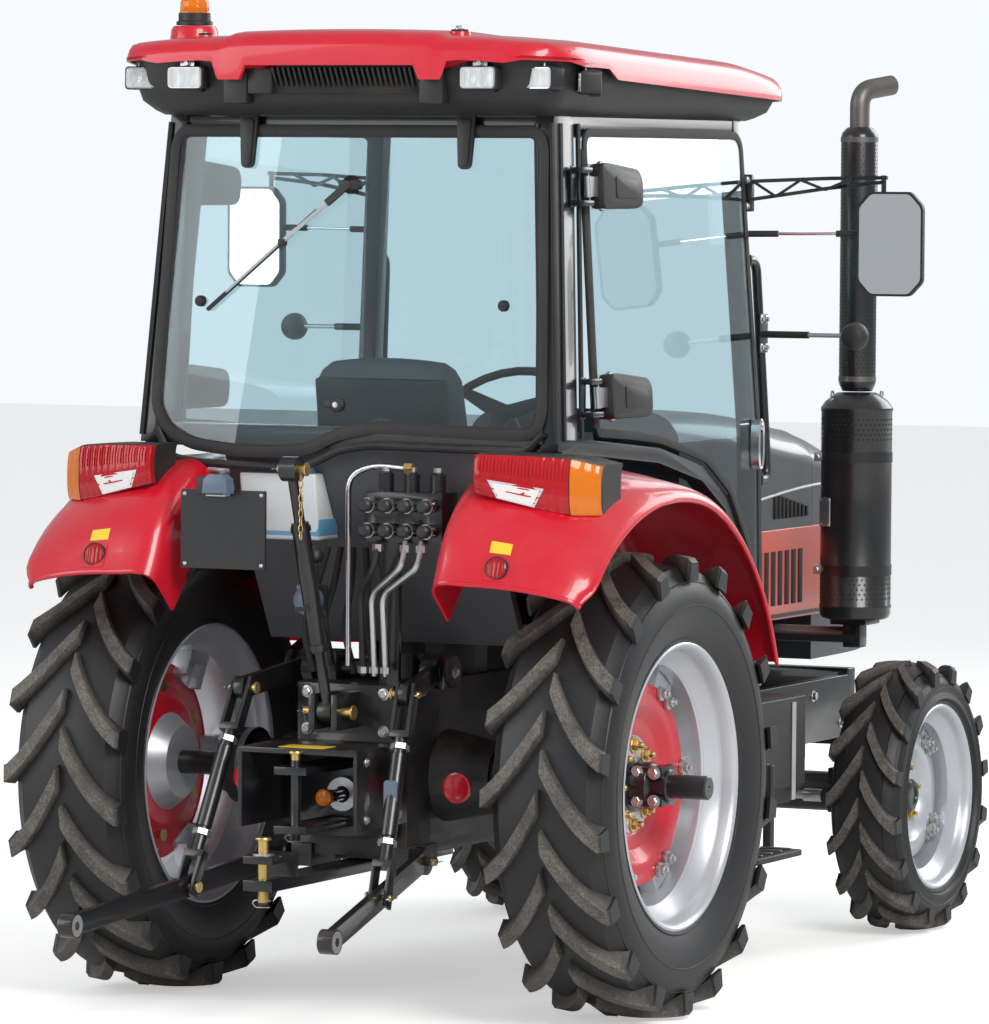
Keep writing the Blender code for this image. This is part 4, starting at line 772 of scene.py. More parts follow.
def lug(radius, half, depth, side, start_angle, sweep, thick):
    """Rings of six points from the nose at the middle to the end below the shoulder."""
    nose_x, end_x = 0.004, half - 0.012
    rings = []
    for i in range(LUG_STEPS + 1):
        share = i / LUG_STEPS
        x = nose_x + (end_x - nose_x) * share
        angle = start_angle + sweep * (1.45 * share - 0.45 * share * share)
        slope = abs(sweep) * radius * (1.45 - 0.9 * share) / (end_x - nose_x)
        across = thick * math.sqrt(1 + slope * slope) * (0.80 + 0.28 * share) / 2 / radius
        crown = radius - 0.010 * share ** 2.5
        foot = radius - depth - 0.010 - 0.030 * max(0.0, share - 0.75) / 0.25
        drop = 0.004
        ring = []
        for r, w in ((foot, 1.5), (crown - drop, 1.06), (crown, 0.94), (crown, -0.94), (crown - drop, -1.06), (foot, -1.5)):
            a = angle + w * across
            ring.append(Vector((side * x, r * math.cos(a), r * math.sin(a))))
        rings.append(ring)
    for inward, outward in ((0.022, 0.009), (0.060, 0.0095)):
        last = rings[LUG_STEPS]
        ring = []
        for k, p in enumerate(last):
            radial = Vector((0, p.y, p.z)).normalized()
            reach = math.hypot(p.y, p.z)
            wanted = min(reach, radius - inward - (0.004 if k in (0, 5) else 0.0))
            ring.append(Vector((p.x + side * outward, 0, 0)) + radial * wanted)
        rings.append(ring)
    return loft(rings)


def lug_pocket(radius, half, side, start_angle, sweep, thick):
    """The narrow pocket moulded in a lug's end, as an inset bar standing 1 mm proud of the end, meant to be dark as
    painted shade in the pocket.
    """
    angle = start_angle + sweep
    x = half - 0.0025
    low, high = radius - 0.050, radius - 0.024
    ring_in, ring_out = [], []
    for r, w in ((low, 0.30), (high, 0.30), (high, -0.30), (low, -0.30)):
        a = angle + w * thick * 0.5 / radius
        ring_in.append(Vector((side * (x - 0.004), r * math.cos(a), r * math.sin(a))))
        ring_out.append(Vector((side * (x + 0.0015), r * math.cos(a), r * math.sin(a))))
    return loft([ring_in, ring_out])


print("a lug has", len(lug(0.65, 0.185, 0.034, 1, 0, -0.3, 0.04)[1]), "faces")

# %% A whole tyre
def tyre(name, body, replaced, centre, radius, half, rim_radius, rim_half, lugs, depth, sweep, thick):
    """Carcass, lugs and raised rings on the walls, as one mesh with its 'worn' attribute."""
    base = radius - depth
    shapes = [turned(carcass_profile(base, half - 0.006, rim_radius, rim_half), (0, 0, 0), X, 96, looped=True)]
    for side in (1, -1):
        for k in range(lugs):
            angle = math.tau * (k + (0.5 if side < 0 else 0)) / lugs
            shapes.append(lug(radius, half, depth, side, angle, sweep, thick))
        for ring_radius, face in (
                (rim_radius + (base - rim_radius) * 0.50, half - 0.006), (rim_radius + (base - rim_radius) * 0.80, half - 0.0205),
                (rim_radius + 0.014, rim_half + 0.0035)):
            bead = [(ring_radius - 0.003, -0.002), (ring_radius - 0.001, 0.0012), (ring_radius + 0.001, 0.0012),
                    (ring_radius + 0.003, -0.002)]
            shapes.append(turned([(r, side * (face + h)) for r, h in bead], (0, 0, 0), X, 96, looped=True))
    made = join(name, body, [("tyre_rubber", shifted(s, centre)) for s in shapes], sharp=26,
                replaces=(replaced,))
    worn = made.data.attributes.new("worn", "FLOAT", "POINT")
    heights = []
    for vertex in made.data.vertices:
        off = vertex.co - centre
        heights.append(max(0.0, min(1.0, (math.hypot(off.y, off.z) - radius + 0.016) / 0.004)))
    worn.data.foreach_set("value", heights)
    return made


# axle: lugs a side, lug depth, sweep in radians, lug thickness, rim radius at the bead, half width of the rim
TYRES = {
    "rear": (18, 0.034, -0.34, 0.036, 0.402, 0.150),
    "front": (16, 0.025, -0.36, 0.028, 0.287, 0.106),
}
for axle, (lugs, depth, sweep, thick, bead, rim_half) in TYRES.items():
    for side_name in SIDES:
        node = f"{axle}_tyre_{side_name}"
        low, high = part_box(node)
        made = tyre(node + "_lugged", f"{axle}_wheel_{side_name}", node, (low + high) / 2, (high.z - low.z) / 2 - 0.0006,
                    (high.x - low.x) / 2, bead, rim_half, lugs, depth, sweep, thick)
        print(made.name, len(made.data.polygons), "faces")

# %% [markdown]
# ## Rims, discs and hubs
# The rim is rolled sheet: a curled flange, a bead seat and a drop centre, all one lathe profile with a few
# millimetres of thickness. The disc is a pressing, bolted to brackets inside the rim and to the hub. On the rear axle
# it is red, and the bar axle with its split clamp stands out through it; on the front it is silver with gold nuts.

# %% Rolled rim and pressed disc
def rim_profile(radius, half, well, skin=0.006):
    """(radius, x) points once round the rim's sheet."""
    seat = radius - 0.015
    outer = [
        (radius - 0.003, half - 0.010), (radius, half - 0.006), (radius, half - 0.002), (radius - 0.004, half),
        (radius - 0.009, half - 0.001), (radius - 0.014, half - 0.006), (seat - skin, half - 0.016),
        (seat - skin - 0.001, half * 0.74), (seat - skin - 0.008, half * 0.64), (well - skin, half * 0.42)]
    inner = [(well, half * 0.46), (seat - 0.006, half * 0.70), (seat, half * 0.80), (seat, half - 0.014),
             (radius - 0.008, half - 0.009)]
    back = [(r, -x) for r, x in outer[::-1]]
    return outer + back + [(r, -x) for r, x in inner[::-1]] + inner


def sheet_ring(points, thickness):
    """A closed profile from the outer face's (radius, x) points and a thickness along x."""
    return points + [(r, x - thickness) for r, x in points[::-1]]


def around(shape, count, start=0.0):
    """Copies of a shape turned about the X axis."""
    return [moved(shape, Matrix.Rotation(start + math.tau * k / count, 4, "X")) for k in range(count)]


def rim_bracket(well, disc_x, disc_r, width):
    """A folded bracket welded in the rim's well, where two bolts go through the disc's edge; the bolts are made by
    bracket_bolts.
    """
    top = well + 0.004
    cheeks = [block((disc_x - 0.052, s * width / 2 - 0.004, disc_r - 0.028), (disc_x - 0.002, s * width / 2 + 0.004, top), 0.003)
              for s in (1, -1)]
    foot = block((disc_x - 0.014, -width / 2, disc_r - 0.028), (disc_x - 0.004, width / 2, top - 0.01), 0.003)
    return merged(cheeks + [foot])


def bracket_bolts(disc_x, disc_r, width):
    shapes = []
    for s in (1, -1):
        at = (disc_x + 0.010, s * width * 0.28, disc_r - 0.012)
        shapes.append(turned([(0.0, -0.004), (0.021, -0.004), (0.021, 0.002), (0.018, 0.005), (0, 0.005)], at, X, 20))
        shapes.append(bolt((at[0] + 0.004, at[1], at[2]), X, 0.015, 0.012))
        shapes.append(turned([(0.008, 0.012), (0.008, 0.026), (0.006, 0.028), (0, 0.028)], at, X, 12))
    return merged(shapes)


print("rim profile has", len(rim_profile(0.4064, 0.153, 0.348)), "points")

# %% Rear rims
REAR_BRACKETS = 6
for side_name, side in SIDES.items():
    low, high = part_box(f"rear_tyre_{side_name}")
    centre = (low + high) / 2
    rim_low, rim_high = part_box(f"rear_rim_{side_name}")
    shaft_out = max(abs(rim_low.x), abs(rim_high.x)) - abs(centre.x)
    shaft_in = min(abs(rim_low.x), abs(rim_high.x)) - abs(centre.x)
    silver = [turned(rim_profile(0.4062, 0.1528, 0.346), (0, 0, 0), X, 96, looped=True)]
    silver += around(rim_bracket(0.342, 0.026, 0.285, 0.10), REAR_BRACKETS, math.radians(30))
    red = [turned(sheet_ring([(0.286, 0.026), (0.282, 0.030), (0.232, 0.030), (0.215, 0.024), (0.192, 0.004), (0.180, 0.000),
                              (0.148, 0.000), (0.140, -0.004)], 0.011), (0, 0, 0), X, 72, looped=True)]
    hub = [turned([(0, -0.060), (0.105, -0.060), (0.112, -0.052), (0.142, -0.014), (0.142, -0.006), (0.136, 0.000), (0.060, 0.002),
                   (0.0, 0.002)], (0, 0, 0), X, 64)]
    gold = around(merged([bolt((0.002, 0, 0.112), X, 0.017, 0.014),
                          turned([(0.009, 0.012), (0.009, 0.030), (0.007, 0.033), (0, 0.033)], (0, 0, 0.112), X, 14)]), 8)
    gold += around(bolt((0.002, 0, 0.216), X, 0.014, 0.010), REAR_BRACKETS, 0.0)
    zinc = around(bracket_bolts(0.026, 0.285, 0.10), REAR_BRACKETS, math.radians(30))
    clamp = [turned([(0, 0.002), (0.078, 0.002), (0.078, 0.012), (0.066, 0.016), (0.066, 0.062), (0.060, 0.070), (0.048, 0.074),
                     (0.048, 0.118), (0.044, 0.122), (0, 0.122)], (0, 0, 0), X, 40)]
    for s in (1, -1):
        clamp.append(block((0.014, -0.052, s * 0.040 - 0.016), (0.112, 0.052, s * 0.040 + 0.016), 0.006))
        for x in (0.036, 0.088):
            zinc.append(bolt((x, 0.052, s * 0.040), Y, 0.013, 0.010))
            zinc.append(bolt((x, -0.052, s * 0.040), -Y, 0.013, 0.010))
    shaft = [turned([(0, shaft_in), (0.034, shaft_in), (0.034, shaft_out - 0.004), (0.030, shaft_out), (0.008, shaft_out),
                     (0.004, shaft_out - 0.006), (0, shaft_out - 0.006)], (0, 0, 0), X, 40)]
    place = Matrix.Translation(centre) @ Matrix.Scale(side, 4, X)
    parts = [("silver_paint", s) for s in silver] + [("crimson_paint", s) for s in red] + [("silver_paint", s) for s in hub]
    parts += [("gold_zinc", s) for s in gold] + [("zinc_plate", s) for s in zinc] + [("black_paint", s) for s in clamp + shaft]
    made = join(f"rear_rim_{side_name}_dressed", f"rear_wheel_{side_name}",
                [(finish, moved(s, place)) for finish, s in parts], replaces=(f"rear_rim_{side_name}",))
    print(made.name, len(made.data.polygons), "faces")

# %% Front rims
FRONT_BRACKETS = 4
for side_name, side in SIDES.items():
    low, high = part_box(f"front_tyre_{side_name}")
    centre = (low + high) / 2
    silver = [turned(rim_profile(0.2908, 0.1078, 0.236, 0.005), (0, 0, 0), X, 80, looped=True)]
    silver += around(rim_bracket(0.234, 0.016, 0.196, 0.07), FRONT_BRACKETS, math.radians(35))
    silver.append(turned(sheet_ring([(0.196, 0.014), (0.190, 0.018), (0.150, 0.018), (0.138, 0.012), (0.122, -0.014),
                                     (0.112, -0.018), (0.052, -0.018)], 0.009), (0, 0, 0), X, 64, looped=True))
    gold = around(merged([bolt((-0.018, 0, 0.088), X, 0.015, 0.012),
                          turned([(0.008, 0.010), (0.008, 0.026), (0.006, 0.028), (0, 0.028)], (-0.018, 0, 0.088), X, 12)]),
                  6, math.radians(17))
    zinc = around(bracket_bolts(0.014, 0.196, 0.07), FRONT_BRACKETS, math.radians(35))
    hub = [turned([(0, -0.058), (0.074, -0.058), (0.074, -0.028), (0.051, -0.024), (0.051, 0.012), (0.044, 0.020), (0.030, 0.022),
                   (0.026, 0.016), (0, 0.016)], (0, 0, 0), X, 40)]
    place = Matrix.Translation(centre) @ Matrix.Scale(side, 4, X)
    parts = [("silver_paint", s) for s in silver] + [("gold_zinc", s) for s in gold] + [("zinc_plate", s) for s in zinc]
    parts += [("black_paint", s) for s in hub]
    made = join(f"front_rim_{side_name}_dressed", f"front_wheel_{side_name}",
                [(finish, moved(s, place)) for finish, s in parts], replaces=(f"front_rim_{side_name}",))
    print(made.name, len(made.data.polygons), "faces")

# %% [markdown]
# ## Where the cab's faces are
# The cab narrows towards the roof, and its rear and front lean a little. Glass, seals and hinges all lie on those
# leaning faces, so three small functions give the face at any height, measured from the cab frame's own corners.

# %% Faces of the cab
AXLE_Y = (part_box("rear_tyre_left")[0].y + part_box("rear_tyre_left")[1].y) / 2
CAB_LOW, CAB_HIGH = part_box("cab_frame")
SILL_Z, CAB_TOP_Z, CAB_FOOT_Z = 1.60, CAB_HIGH.z, 0.93
HALF_AT_SILL, HALF_AT_TOP = CAB_HIGH.x, CAB_HIGH.x - 0.055
REAR_AT_SILL, REAR_AT_TOP = AXLE_Y + 0.325, AXLE_Y + 0.250
FRONT_AT_FOOT, FRONT_AT_TOP = AXLE_Y - 1.150, AXLE_Y - 1.080


def lean(z, low_z, low, high):
    """A value that changes evenly from low at low_z to high at the cab's top."""
    return low + (high - low) * max(0.0, (z - low_z) / (CAB_TOP_Z - low_z))


def half_width(z):
    return lean(z, SILL_Z, HALF_AT_SILL, HALF_AT_TOP)


def rear_y(z):
    return lean(z, SILL_Z, REAR_AT_SILL, REAR_AT_TOP) if z > SILL_Z else REAR_AT_SILL


def front_y(z):
    return lean(z, CAB_FOOT_Z, FRONT_AT_FOOT, FRONT_AT_TOP)


def on_rear(x, z, out=0.0):
    """A point on the cab's rear face, moved outwards."""
    return Vector((x, rear_y(z) + out, z))


def on_door(side, y, z, out=0.0):
    """A point on a door's leaning face; y counts from the rear axle, forwards negative."""
    return Vector((side * (half_width(z) + out), AXLE_Y + y, z))


def inward(outline):
    """For each point of a closed 2-D outline, the unit normal that points inside."""
    count = len(outline)
    area = sum(a[0] * b[1] - b[0] * a[1] for a, b in zip(outline, outline[1:] + outline[:1]))
    sense = 1 if area > 0 else -1
    normals = []
    for i in range(count):
        ax, ay = outline[i - 1]
        bx, by = outline[(i + 1) % count]
        length = math.hypot(bx - ax, by - ay) or 1
        normals.append((-(by - ay) / length * sense, (bx - ax) / length * sense))
    return normals


def border(outline, start, width, back, front, place, crown=0.0):
    """A raised band that follows an outline: from start to start + width inside it, from back to front above it."""
    rings = []
    for (x, y), (nx, ny) in zip(outline, inward(outline)):
        section = [(start, back), (start, front)]
        if crown:
            section.append((start + width / 2, front + crown))
        section += [(start + width, front), (start + width, back)]
        rings.append([place(x + nx * s, y + ny * s, h) for s, h in section])
    return loft(rings, closed=True)


def pane(outline, back, front, place):
    return loft([[place(x, y, back) for x, y in outline], [place(x, y, front) for x, y in outline]])


print("cab half width at the sill and the top", round(half_width(SILL_Z), 3), round(half_width(CAB_TOP_Z), 3))

# %% [markdown]
# ## Rear window
# The rear window is a frameless pane in a thick rubber seal. It hangs from two hinges under the roof and is held by
# a gas strut on each side, whose round knobs show through the glass. A wiper with its motor sits near the top.

# %% Rear window
WINDOW = round_corners([
    (0.558, 2.500), (-0.558, 2.500), (-0.588, 2.455), (-0.616, 1.700), (-0.596, 1.642), (-0.535, 1.630),
    (-0.090, 1.642), (0.020, 1.622), (0.110, 1.578), (0.190, 1.567), (0.330, 1.566), (0.490, 1.584), (0.575, 1.628),
    (0.618, 1.700), (0.588, 2.455)], 0.035, 4)
glass = [("cab_glass", pane(WINDOW, 0.0015, 0.006, on_rear))]
seal = [("seal_rubber", border(WINDOW, -0.004, 0.030, 0.0008, 0.010, on_rear, 0.004)),
        ("seal_rubber", border(WINDOW, 0.026, 0.006, 0.0008, 0.007, on_rear))]
join("rear_window_pane", "chassis", glass, replaces=("rear_window",))
join("rear_window_seal", "chassis", seal, sharp=50)
hardware = []
for side in SIDES.values():
    x = side * 0.34
    hinge_outline = round_corners([(-0.030, 0.085), (0.030, 0.085), (0.026, 0.010), (0.020, -0.082), (-0.020, -0.082), (-0.026, 0.010)], 0.018)
    slope = axis_frame(on_rear(x, 2.462, 0.010), on_rear(0, 2.0) - on_rear(0, 2.0, -1), (1, 0, 0))
    turn = Matrix((X, (on_rear(0, 2.5) - on_rear(0, 2.4)).normalized(), Y)).transposed().to_4x4()
    place = Matrix.Translation(on_rear(x, 2.462, 0.008)) @ turn
    hardware.append(("black_plastic", plate(hinge_outline, 0.014, place, 0.004)))
    hardware.append(("black_plastic", plate([(px * 0.62, py * 0.80 - 0.008) for px, py in hinge_outline], 0.019, place, 0.003)))
    hardware.append(("black_plastic", block((x - 0.026, rear_y(2.535) + 0.001, 2.528), (x + 0.026, rear_y(2.535) + 0.028, 2.552), 0.006)))
    hardware.append(("seal_rubber", turned([(0, 0.0), (0.016, 0.0), (0.016, 0.012), (0.013, 0.018), (0, 0.020)],
                                           on_rear(side * 0.475, 2.002, 0.004), Y, 24)))
knob_y = rear_y(1.717) + 0.006
hardware.append(("seal_rubber", turned([(0, 0), (0.021, 0), (0.021, 0.006), (0.016, 0.012), (0, 0.013)], (0.03, knob_y, 1.717), Y, 28)))
hardware.append(("zinc_plate", turned([(0, 0.011), (0.009, 0.011), (0.008, 0.016), (0, 0.017)], (0.03, knob_y, 1.717), Y, 20)))
hardware.append(("black_plastic", block((0.038, knob_y, 1.709), (0.066, knob_y + 0.012, 1.725), 0.004)))
join("rear_window_hardware", "chassis", hardware)
print("rear window of", len(WINDOW), "points")

# %% Rear wiper
PIVOT = on_rear(0.012, 2.335, 0.008)
ARM_END = on_rear(0.215, 2.172, 0.030)
BLADE = [on_rear(0.115, 2.262, 0.016), on_rear(0.449, 1.978, 0.016)]
wiper = [
    ("black_plastic", turned([(0, 0), (0.026, 0), (0.026, 0.012), (0.020, 0.020), (0.012, 0.034), (0, 0.036)], PIVOT, Y, 28)),
    ("black_plastic", block(PIVOT + Vector((-0.036, 0.002, -0.014)), PIVOT + Vector((0.030, 0.030, 0.014)), 0.006)),
    ("black_plastic", strip([PIVOT + Vector((0.004, 0.028, -0.003)), PIVOT + Vector((0.066, 0.026, -0.052))], 0.020, 0.012)),
    ("zinc_plate", strip([PIVOT + Vector((0.055, 0.026, -0.044)), ARM_END], 0.011, 0.005)),
    ("black_plastic", block(ARM_END - Vector((0.012, 0.014, 0.010)), ARM_END + Vector((0.012, 0.004, 0.010)), 0.004)),
    ("zinc_plate", strip([BLADE[0].lerp(BLADE[1], 0.18) + Y * 0.008, BLADE[0].lerp(BLADE[1], 0.82) + Y * 0.008], 0.007, 0.005)),
    ("seal_rubber", strip(BLADE, 0.010, 0.012)),
    ("seal_rubber", strip([BLADE[0] - Y * 0.006, BLADE[1] - Y * 0.006], 0.003, 0.010)),
]
join("rear_wiper", "chassis", wiper)
print("wiper blade", round((BLADE[1] - BLADE[0]).length, 3), "m")

# %% [markdown]
# ## Doors
# Each door is one frameless pane with a kink at the sill, edged with a rubber seal. Two big plastic covers hide the
# hinge arms; bright hinge plates show between the cover and the post. The handle is an upright chrome oval with a
# black grip inside. Everything on the door rides with the door; only the hinge's fixed half stays on the post.

# %% Door glass and seals
SILL_LINE = [(0.05, 1.600), (-0.38, 1.565), (-0.70, 1.500), (-0.88, 1.405), (-1.02, 1.240), (-1.09, 1.060)]
lifted = [(y, z + 0.036) for y, z in SILL_LINE[1:5]]
DOOR = round_corners(
    [(0.075, 1.636), (-0.20, 1.618), *lifted, (-1.075, 1.120), (-1.100, 0.985), (front_y(1.0) - AXLE_Y + 0.012, 0.966),
     (front_y(1.6) - AXLE_Y + 0.012, 1.60), (front_y(2.47) - AXLE_Y + 0.012, 2.465), (front_y(2.5) - AXLE_Y + 0.05, 2.496),
     (0.045, 2.496), (0.075, 2.466)], 0.030, 4)
HINGE_BOXES = [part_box("door_right")]


def door_grid(outline, steps=1):
    """The outline with extra points where it crosses the sill, so that the pane can kink there."""
    found = []
    for (ay, az), (by, bz) in zip(outline, outline[1:] + outline[:1]):
        found.append((ay, az))
        if (az - SILL_Z) * (bz - SILL_Z) < -1e-9:
            share = (SILL_Z - az) / (bz - az)
            found.append((ay + (by - ay) * share, SILL_Z))
    return found


def split_at_sill(outline):
    """The closed outline's part above the sill and its part below."""
    ring = door_grid(outline)
    return [p for p in ring if p[1] >= SILL_Z - 1e-6], [p for p in ring if p[1] <= SILL_Z + 1e-6]


for side_name, side in SIDES.items():
    place = lambda y, z, out, s=side: on_door(s, y, z, out)
    upper, lower = split_at_sill(DOOR)
    join(f"door_{side_name}_pane", f"door_{side_name}",
         [("cab_glass", pane(upper, 0.001, 0.006, place)), ("cab_glass", pane(lower, 0.001, 0.006, place))],
         replaces=(f"door_{side_name}",))
    ring = door_grid(DOOR)
    join(f"door_{side_name}_seal", f"door_{side_name}",
         [("seal_rubber", border(ring, -0.002, 0.024, 0.0006, 0.0078, place, 0.002))], sharp=50)
print("door outline of", len(DOOR), "points")

# %% Door hinges and handles
HINGE_HEIGHTS = (2.335, 1.745)
HINGE_AXIS_OUT, HINGE_AXIS_Y = 0.030, 0.110


def hinge_cover(side, z):
    """The plastic cover over a hinge arm: high at the axis, rounded and lower at its front end."""
    outline = round_corners([(0.055, -0.064), (0.055, 0.062), (0.010, 0.066), (-0.200, 0.048), (-0.228, 0.020), (-0.226, -0.048),
                             (-0.200, -0.064)], 0.022)
    tilt = (on_door(side, 0, z + 0.1) - on_door(side, 0, z)).normalized()
    out = Y.cross(tilt) * (1 if Y.cross(tilt).x * side > 0 else -1)
    matrix = Matrix.Translation(on_door(side, 0, z, 0.008)) @ Matrix((Y, tilt, out)).transposed().to_4x4()
    shell = plate(outline, 0.046, matrix, 0.010)
    panel = plate([(y * 0.55 - 0.062, h * 0.50 - 0.004) for y, h in outline], 0.0485, matrix, 0.002)
    return [("black_plastic", shell), ("black_plastic", panel)]


for side_name, side in SIDES.items():
    on_leaf, on_post = [], []
    for z in HINGE_HEIGHTS:
        on_leaf += hinge_cover(side, z)
        axis_low, axis_high = (on_door(side, HINGE_AXIS_Y, z + dz, HINGE_AXIS_OUT) for dz in (-0.060, 0.060))
        on_leaf.append(("zinc_plate", block(
            on_door(side, 0.050, z - 0.028, HINGE_AXIS_OUT - 0.006), on_door(side, HINGE_AXIS_Y - 0.004, z + 0.028, HINGE_AXIS_OUT + 0.008), 0.003)))
        on_leaf.append(("zinc_plate", turned([(0.010, -0.030), (0.010, 0.030)], on_door(side, HINGE_AXIS_Y, z, HINGE_AXIS_OUT), axis_high - axis_low, 20)))
        for dz in (-0.046, 0.046):
            low = on_door(side, HINGE_AXIS_Y - 0.014, z + dz - 0.008, 0.004)
            high = on_door(side, HINGE_AXIS_Y + 0.062, z + dz + 0.008, HINGE_AXIS_OUT + 0.014)
            on_post.append(("black_paint", block([min(a, b) for a, b in zip(low, high)], [max(a, b) for a, b in zip(low, high)], 0.005)))
        low, high = on_door(side, HINGE_AXIS_Y + 0.030, z - 0.058, 0.001), on_door(side, HINGE_AXIS_Y + 0.066, z + 0.058, 0.012)
        on_post.append(("black_paint", block([min(a, b) for a, b in zip(low, high)], [max(a, b) for a, b in zip(low, high)], 0.004)))
        on_leaf.append(("zinc_plate", dome(on_door(side, 0.020, z + 0.064, 0.03), Z, 0.010, 0.008)))
        on_leaf.append(("zinc_plate", dome(on_door(side, 0.020, z - 0.062, 0.03), -Z, 0.010, 0.008)))
    grip_at = on_door(side, -1.052, 1.575, 0.0)
    oval = [(0.021 * math.cos(a), 0.075 * math.sin(a) / (0.55 + 0.45 * abs(math.sin(a)))) for a in (math.tau * k / 36 for k in range(36))]
    lay = lambda x, y, h, s=side, at=grip_at: at + Vector((s * (h + 0.008), x, y))
    on_leaf.append(("polished_steel", border(oval, 0.0, 0.009, 0.0, 0.026, lay, 0.004)))
    on_leaf.append(("black_plastic", pane([(x * 0.86, y * 0.95) for x, y in oval], 0.0, 0.010, lay)))
    on_leaf.append(("black_plastic", block(
        [min(a, b) for a, b in zip(lay(-0.007, -0.058, 0.008), lay(0.007, 0.035, 0.028))],
        [max(a, b) for a, b in zip(lay(-0.007, -0.058, 0.008), lay(0.007, 0.035, 0.028))], 0.005)))
    on_leaf.append(("polished_steel", block(
        [min(a, b) for a, b in zip(lay(-0.010, 0.042, 0.008), lay(0.010, 0.062, 0.030))],
        [max(a, b) for a, b in zip(lay(-0.010, 0.042, 0.008), lay(0.010, 0.062, 0.030))], 0.005)))
    join(f"door_{side_name}_hardware", f"door_{side_name}", on_leaf)
    join(f"door_{side_name}_post_hinges", "chassis", on_post)
print("hinges at heights", HINGE_HEIGHTS)

# %% [markdown]
# ## Posts
# The posts are pressed sections with rolled edges. Half-round beads along both edges of each rear post and a bead
# round the bottom of the cab's rear give them the soft double highlight that such a section shows.

# %% Beads on the posts
beads = []
for side in SIDES.values():
    for out, inset in ((0.004, 0.004), (0.004, 0.052)):
        beads.append(("black_paint", pipe([on_rear(side * (half_width(z) - inset), z, out) for z in (1.62, CAB_TOP_Z - 0.02)], 0.0075, sides=10)))
    for y in (0.288, 0.170):
        beads.append(("black_paint", pipe([on_door(side, y - (z - SILL_Z) * 0.081, z, 0.002) for z in (1.63, CAB_TOP_Z - 0.02)], 0.0075, sides=10)))
    beads.append(("seal_rubber", pipe([on_door(side, 0.080, z, 0.003) for z in (1.66, 2.44)], 0.009, sides=10)))
below = [(0.600, 1.640), (0.560, 1.560), (0.480, 1.545), (0.200, 1.535), (0.110, 1.545), (0.020, 1.590), (-0.080, 1.606), (-0.560, 1.598), (-0.610, 1.650)]
beads.append(("seal_rubber", pipe([on_rear(x, z, 0.006) for x, z in below], 0.012, 0.03, 10)))
join("post_beads", "chassis", beads)
print(len(beads), "beads")

# %% [markdown]
# ## Roof
# The roof is one moulding: a raised crown between two shoulders that fall away to the corners. It is made as a sheet
# of points over a grid whose lines follow the shoulders and the rounded rim. The corners are rounded by squeezing
# each corner patch of the grid into a quarter disc, and a skirt of varying depth hangs from the edge.

# %% The roof's height and its skirt
ROOF_LOW, ROOF_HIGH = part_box("roof")
ROOF_HALF = ROOF_HIGH.x
ROOF_REAR, ROOF_FRONT = ROOF_HIGH.y, ROOF_LOW.y
ROOF_TOP = 2.783
ROOF_FALL = 0.035
CORNER = 0.16
RIM_STEPS = (0.0, 0.006, 0.016, 0.032, 0.056, 0.090)
RIM_DROPS = (0.050, 0.034, 0.020, 0.009, 0.003, 0.0)


def soft_step(value, low, high):
    share = max(0.0, min(1.0, (value - low) / (high - low)))
    return share * share * (3 - 2 * share)


def rim_drop(distance):
    for (d0, z0), (d1, z1) in zip(zip(RIM_STEPS, RIM_DROPS), zip(RIM_STEPS[1:], RIM_DROPS[1:])):
        if distance <= d1:
            return z0 + (z1 - z0) * (distance - d0) / (d1 - d0)
    return 0.0


def roof_height(x, y):
    """Height of the roof's skin: crown, shoulders and the fall to the front."""
    across = abs(x)
    crown = -0.006 * (across / 0.3) ** 2 if across < 0.3 else -0.006
    shoulder = -0.012 * soft_step(across, 0.302, 0.352) - 0.020 * soft_step(across, 0.36, 0.74)
    ends = -0.012 * soft_step(y, ROOF_REAR - 0.30, ROOF_REAR) - 0.028 * soft_step(-y, -(ROOF_FRONT + 0.45), -ROOF_FRONT)
    edge = min(ROOF_HALF - across, ROOF_REAR - y, y - ROOF_FRONT)
    return ROOF_TOP - ROOF_FALL * (ROOF_REAR - y) + crown + shoulder + ends - rim_drop(edge)


def skirt_low(x, y):
    return min(skirt_line(x, y), roof_height(x, y) - 0.020)


def skirt_line(x, y):
    """Lower edge of the skirt: two legs beside the louvre, cut up over the lamps, level along the sides."""
    fall = ROOF_FALL * (ROOF_REAR - y)
    across = abs(x)
    if y < ROOF_REAR - 0.42:
        return 2.648 - fall
    if y < ROOF_REAR - 0.02 and across > 0.6:
        return 2.648 - fall + 0.034 * soft_step(y, ROOF_REAR - 0.42, ROOF_REAR - 0.34)
    legs = 0.040 * (soft_step(across, 0.262, 0.280) - soft_step(across, 0.345, 0.366))
    lamps = 0.014 * soft_step(across, 0.345, 0.375)
    return 2.668 - legs + lamps


def grid_lines(low, high, inner):
    return sorted([low + d for d in RIM_STEPS] + [high - d for d in RIM_STEPS] + [v for v in inner if low + 0.1 < v < high - 0.1])


print("roof height at the middle", round(roof_height(0, (ROOF_REAR + ROOF_FRONT) / 2), 3))

# %% Roof sheet
def rounded_corner(x, y):
    """Squeezes the grid's square corners into quarter discs."""
    middle = (ROOF_REAR + ROOF_FRONT) / 2
    half_x, half_y = ROOF_HALF, (ROOF_REAR - ROOF_FRONT) / 2
    a = (abs(x) - (half_x - CORNER)) / CORNER
    b = (abs(y - middle) - (half_y - CORNER)) / CORNER
    if a <= 0 or b <= 0:
        return x, y
    a2, b2 = a * math.sqrt(1 - b * b / 2), b * math.sqrt(1 - a * a / 2)
    return math.copysign(half_x - CORNER + a2 * CORNER, x), middle + math.copysign(half_y - CORNER + b2 * CORNER, y - middle)


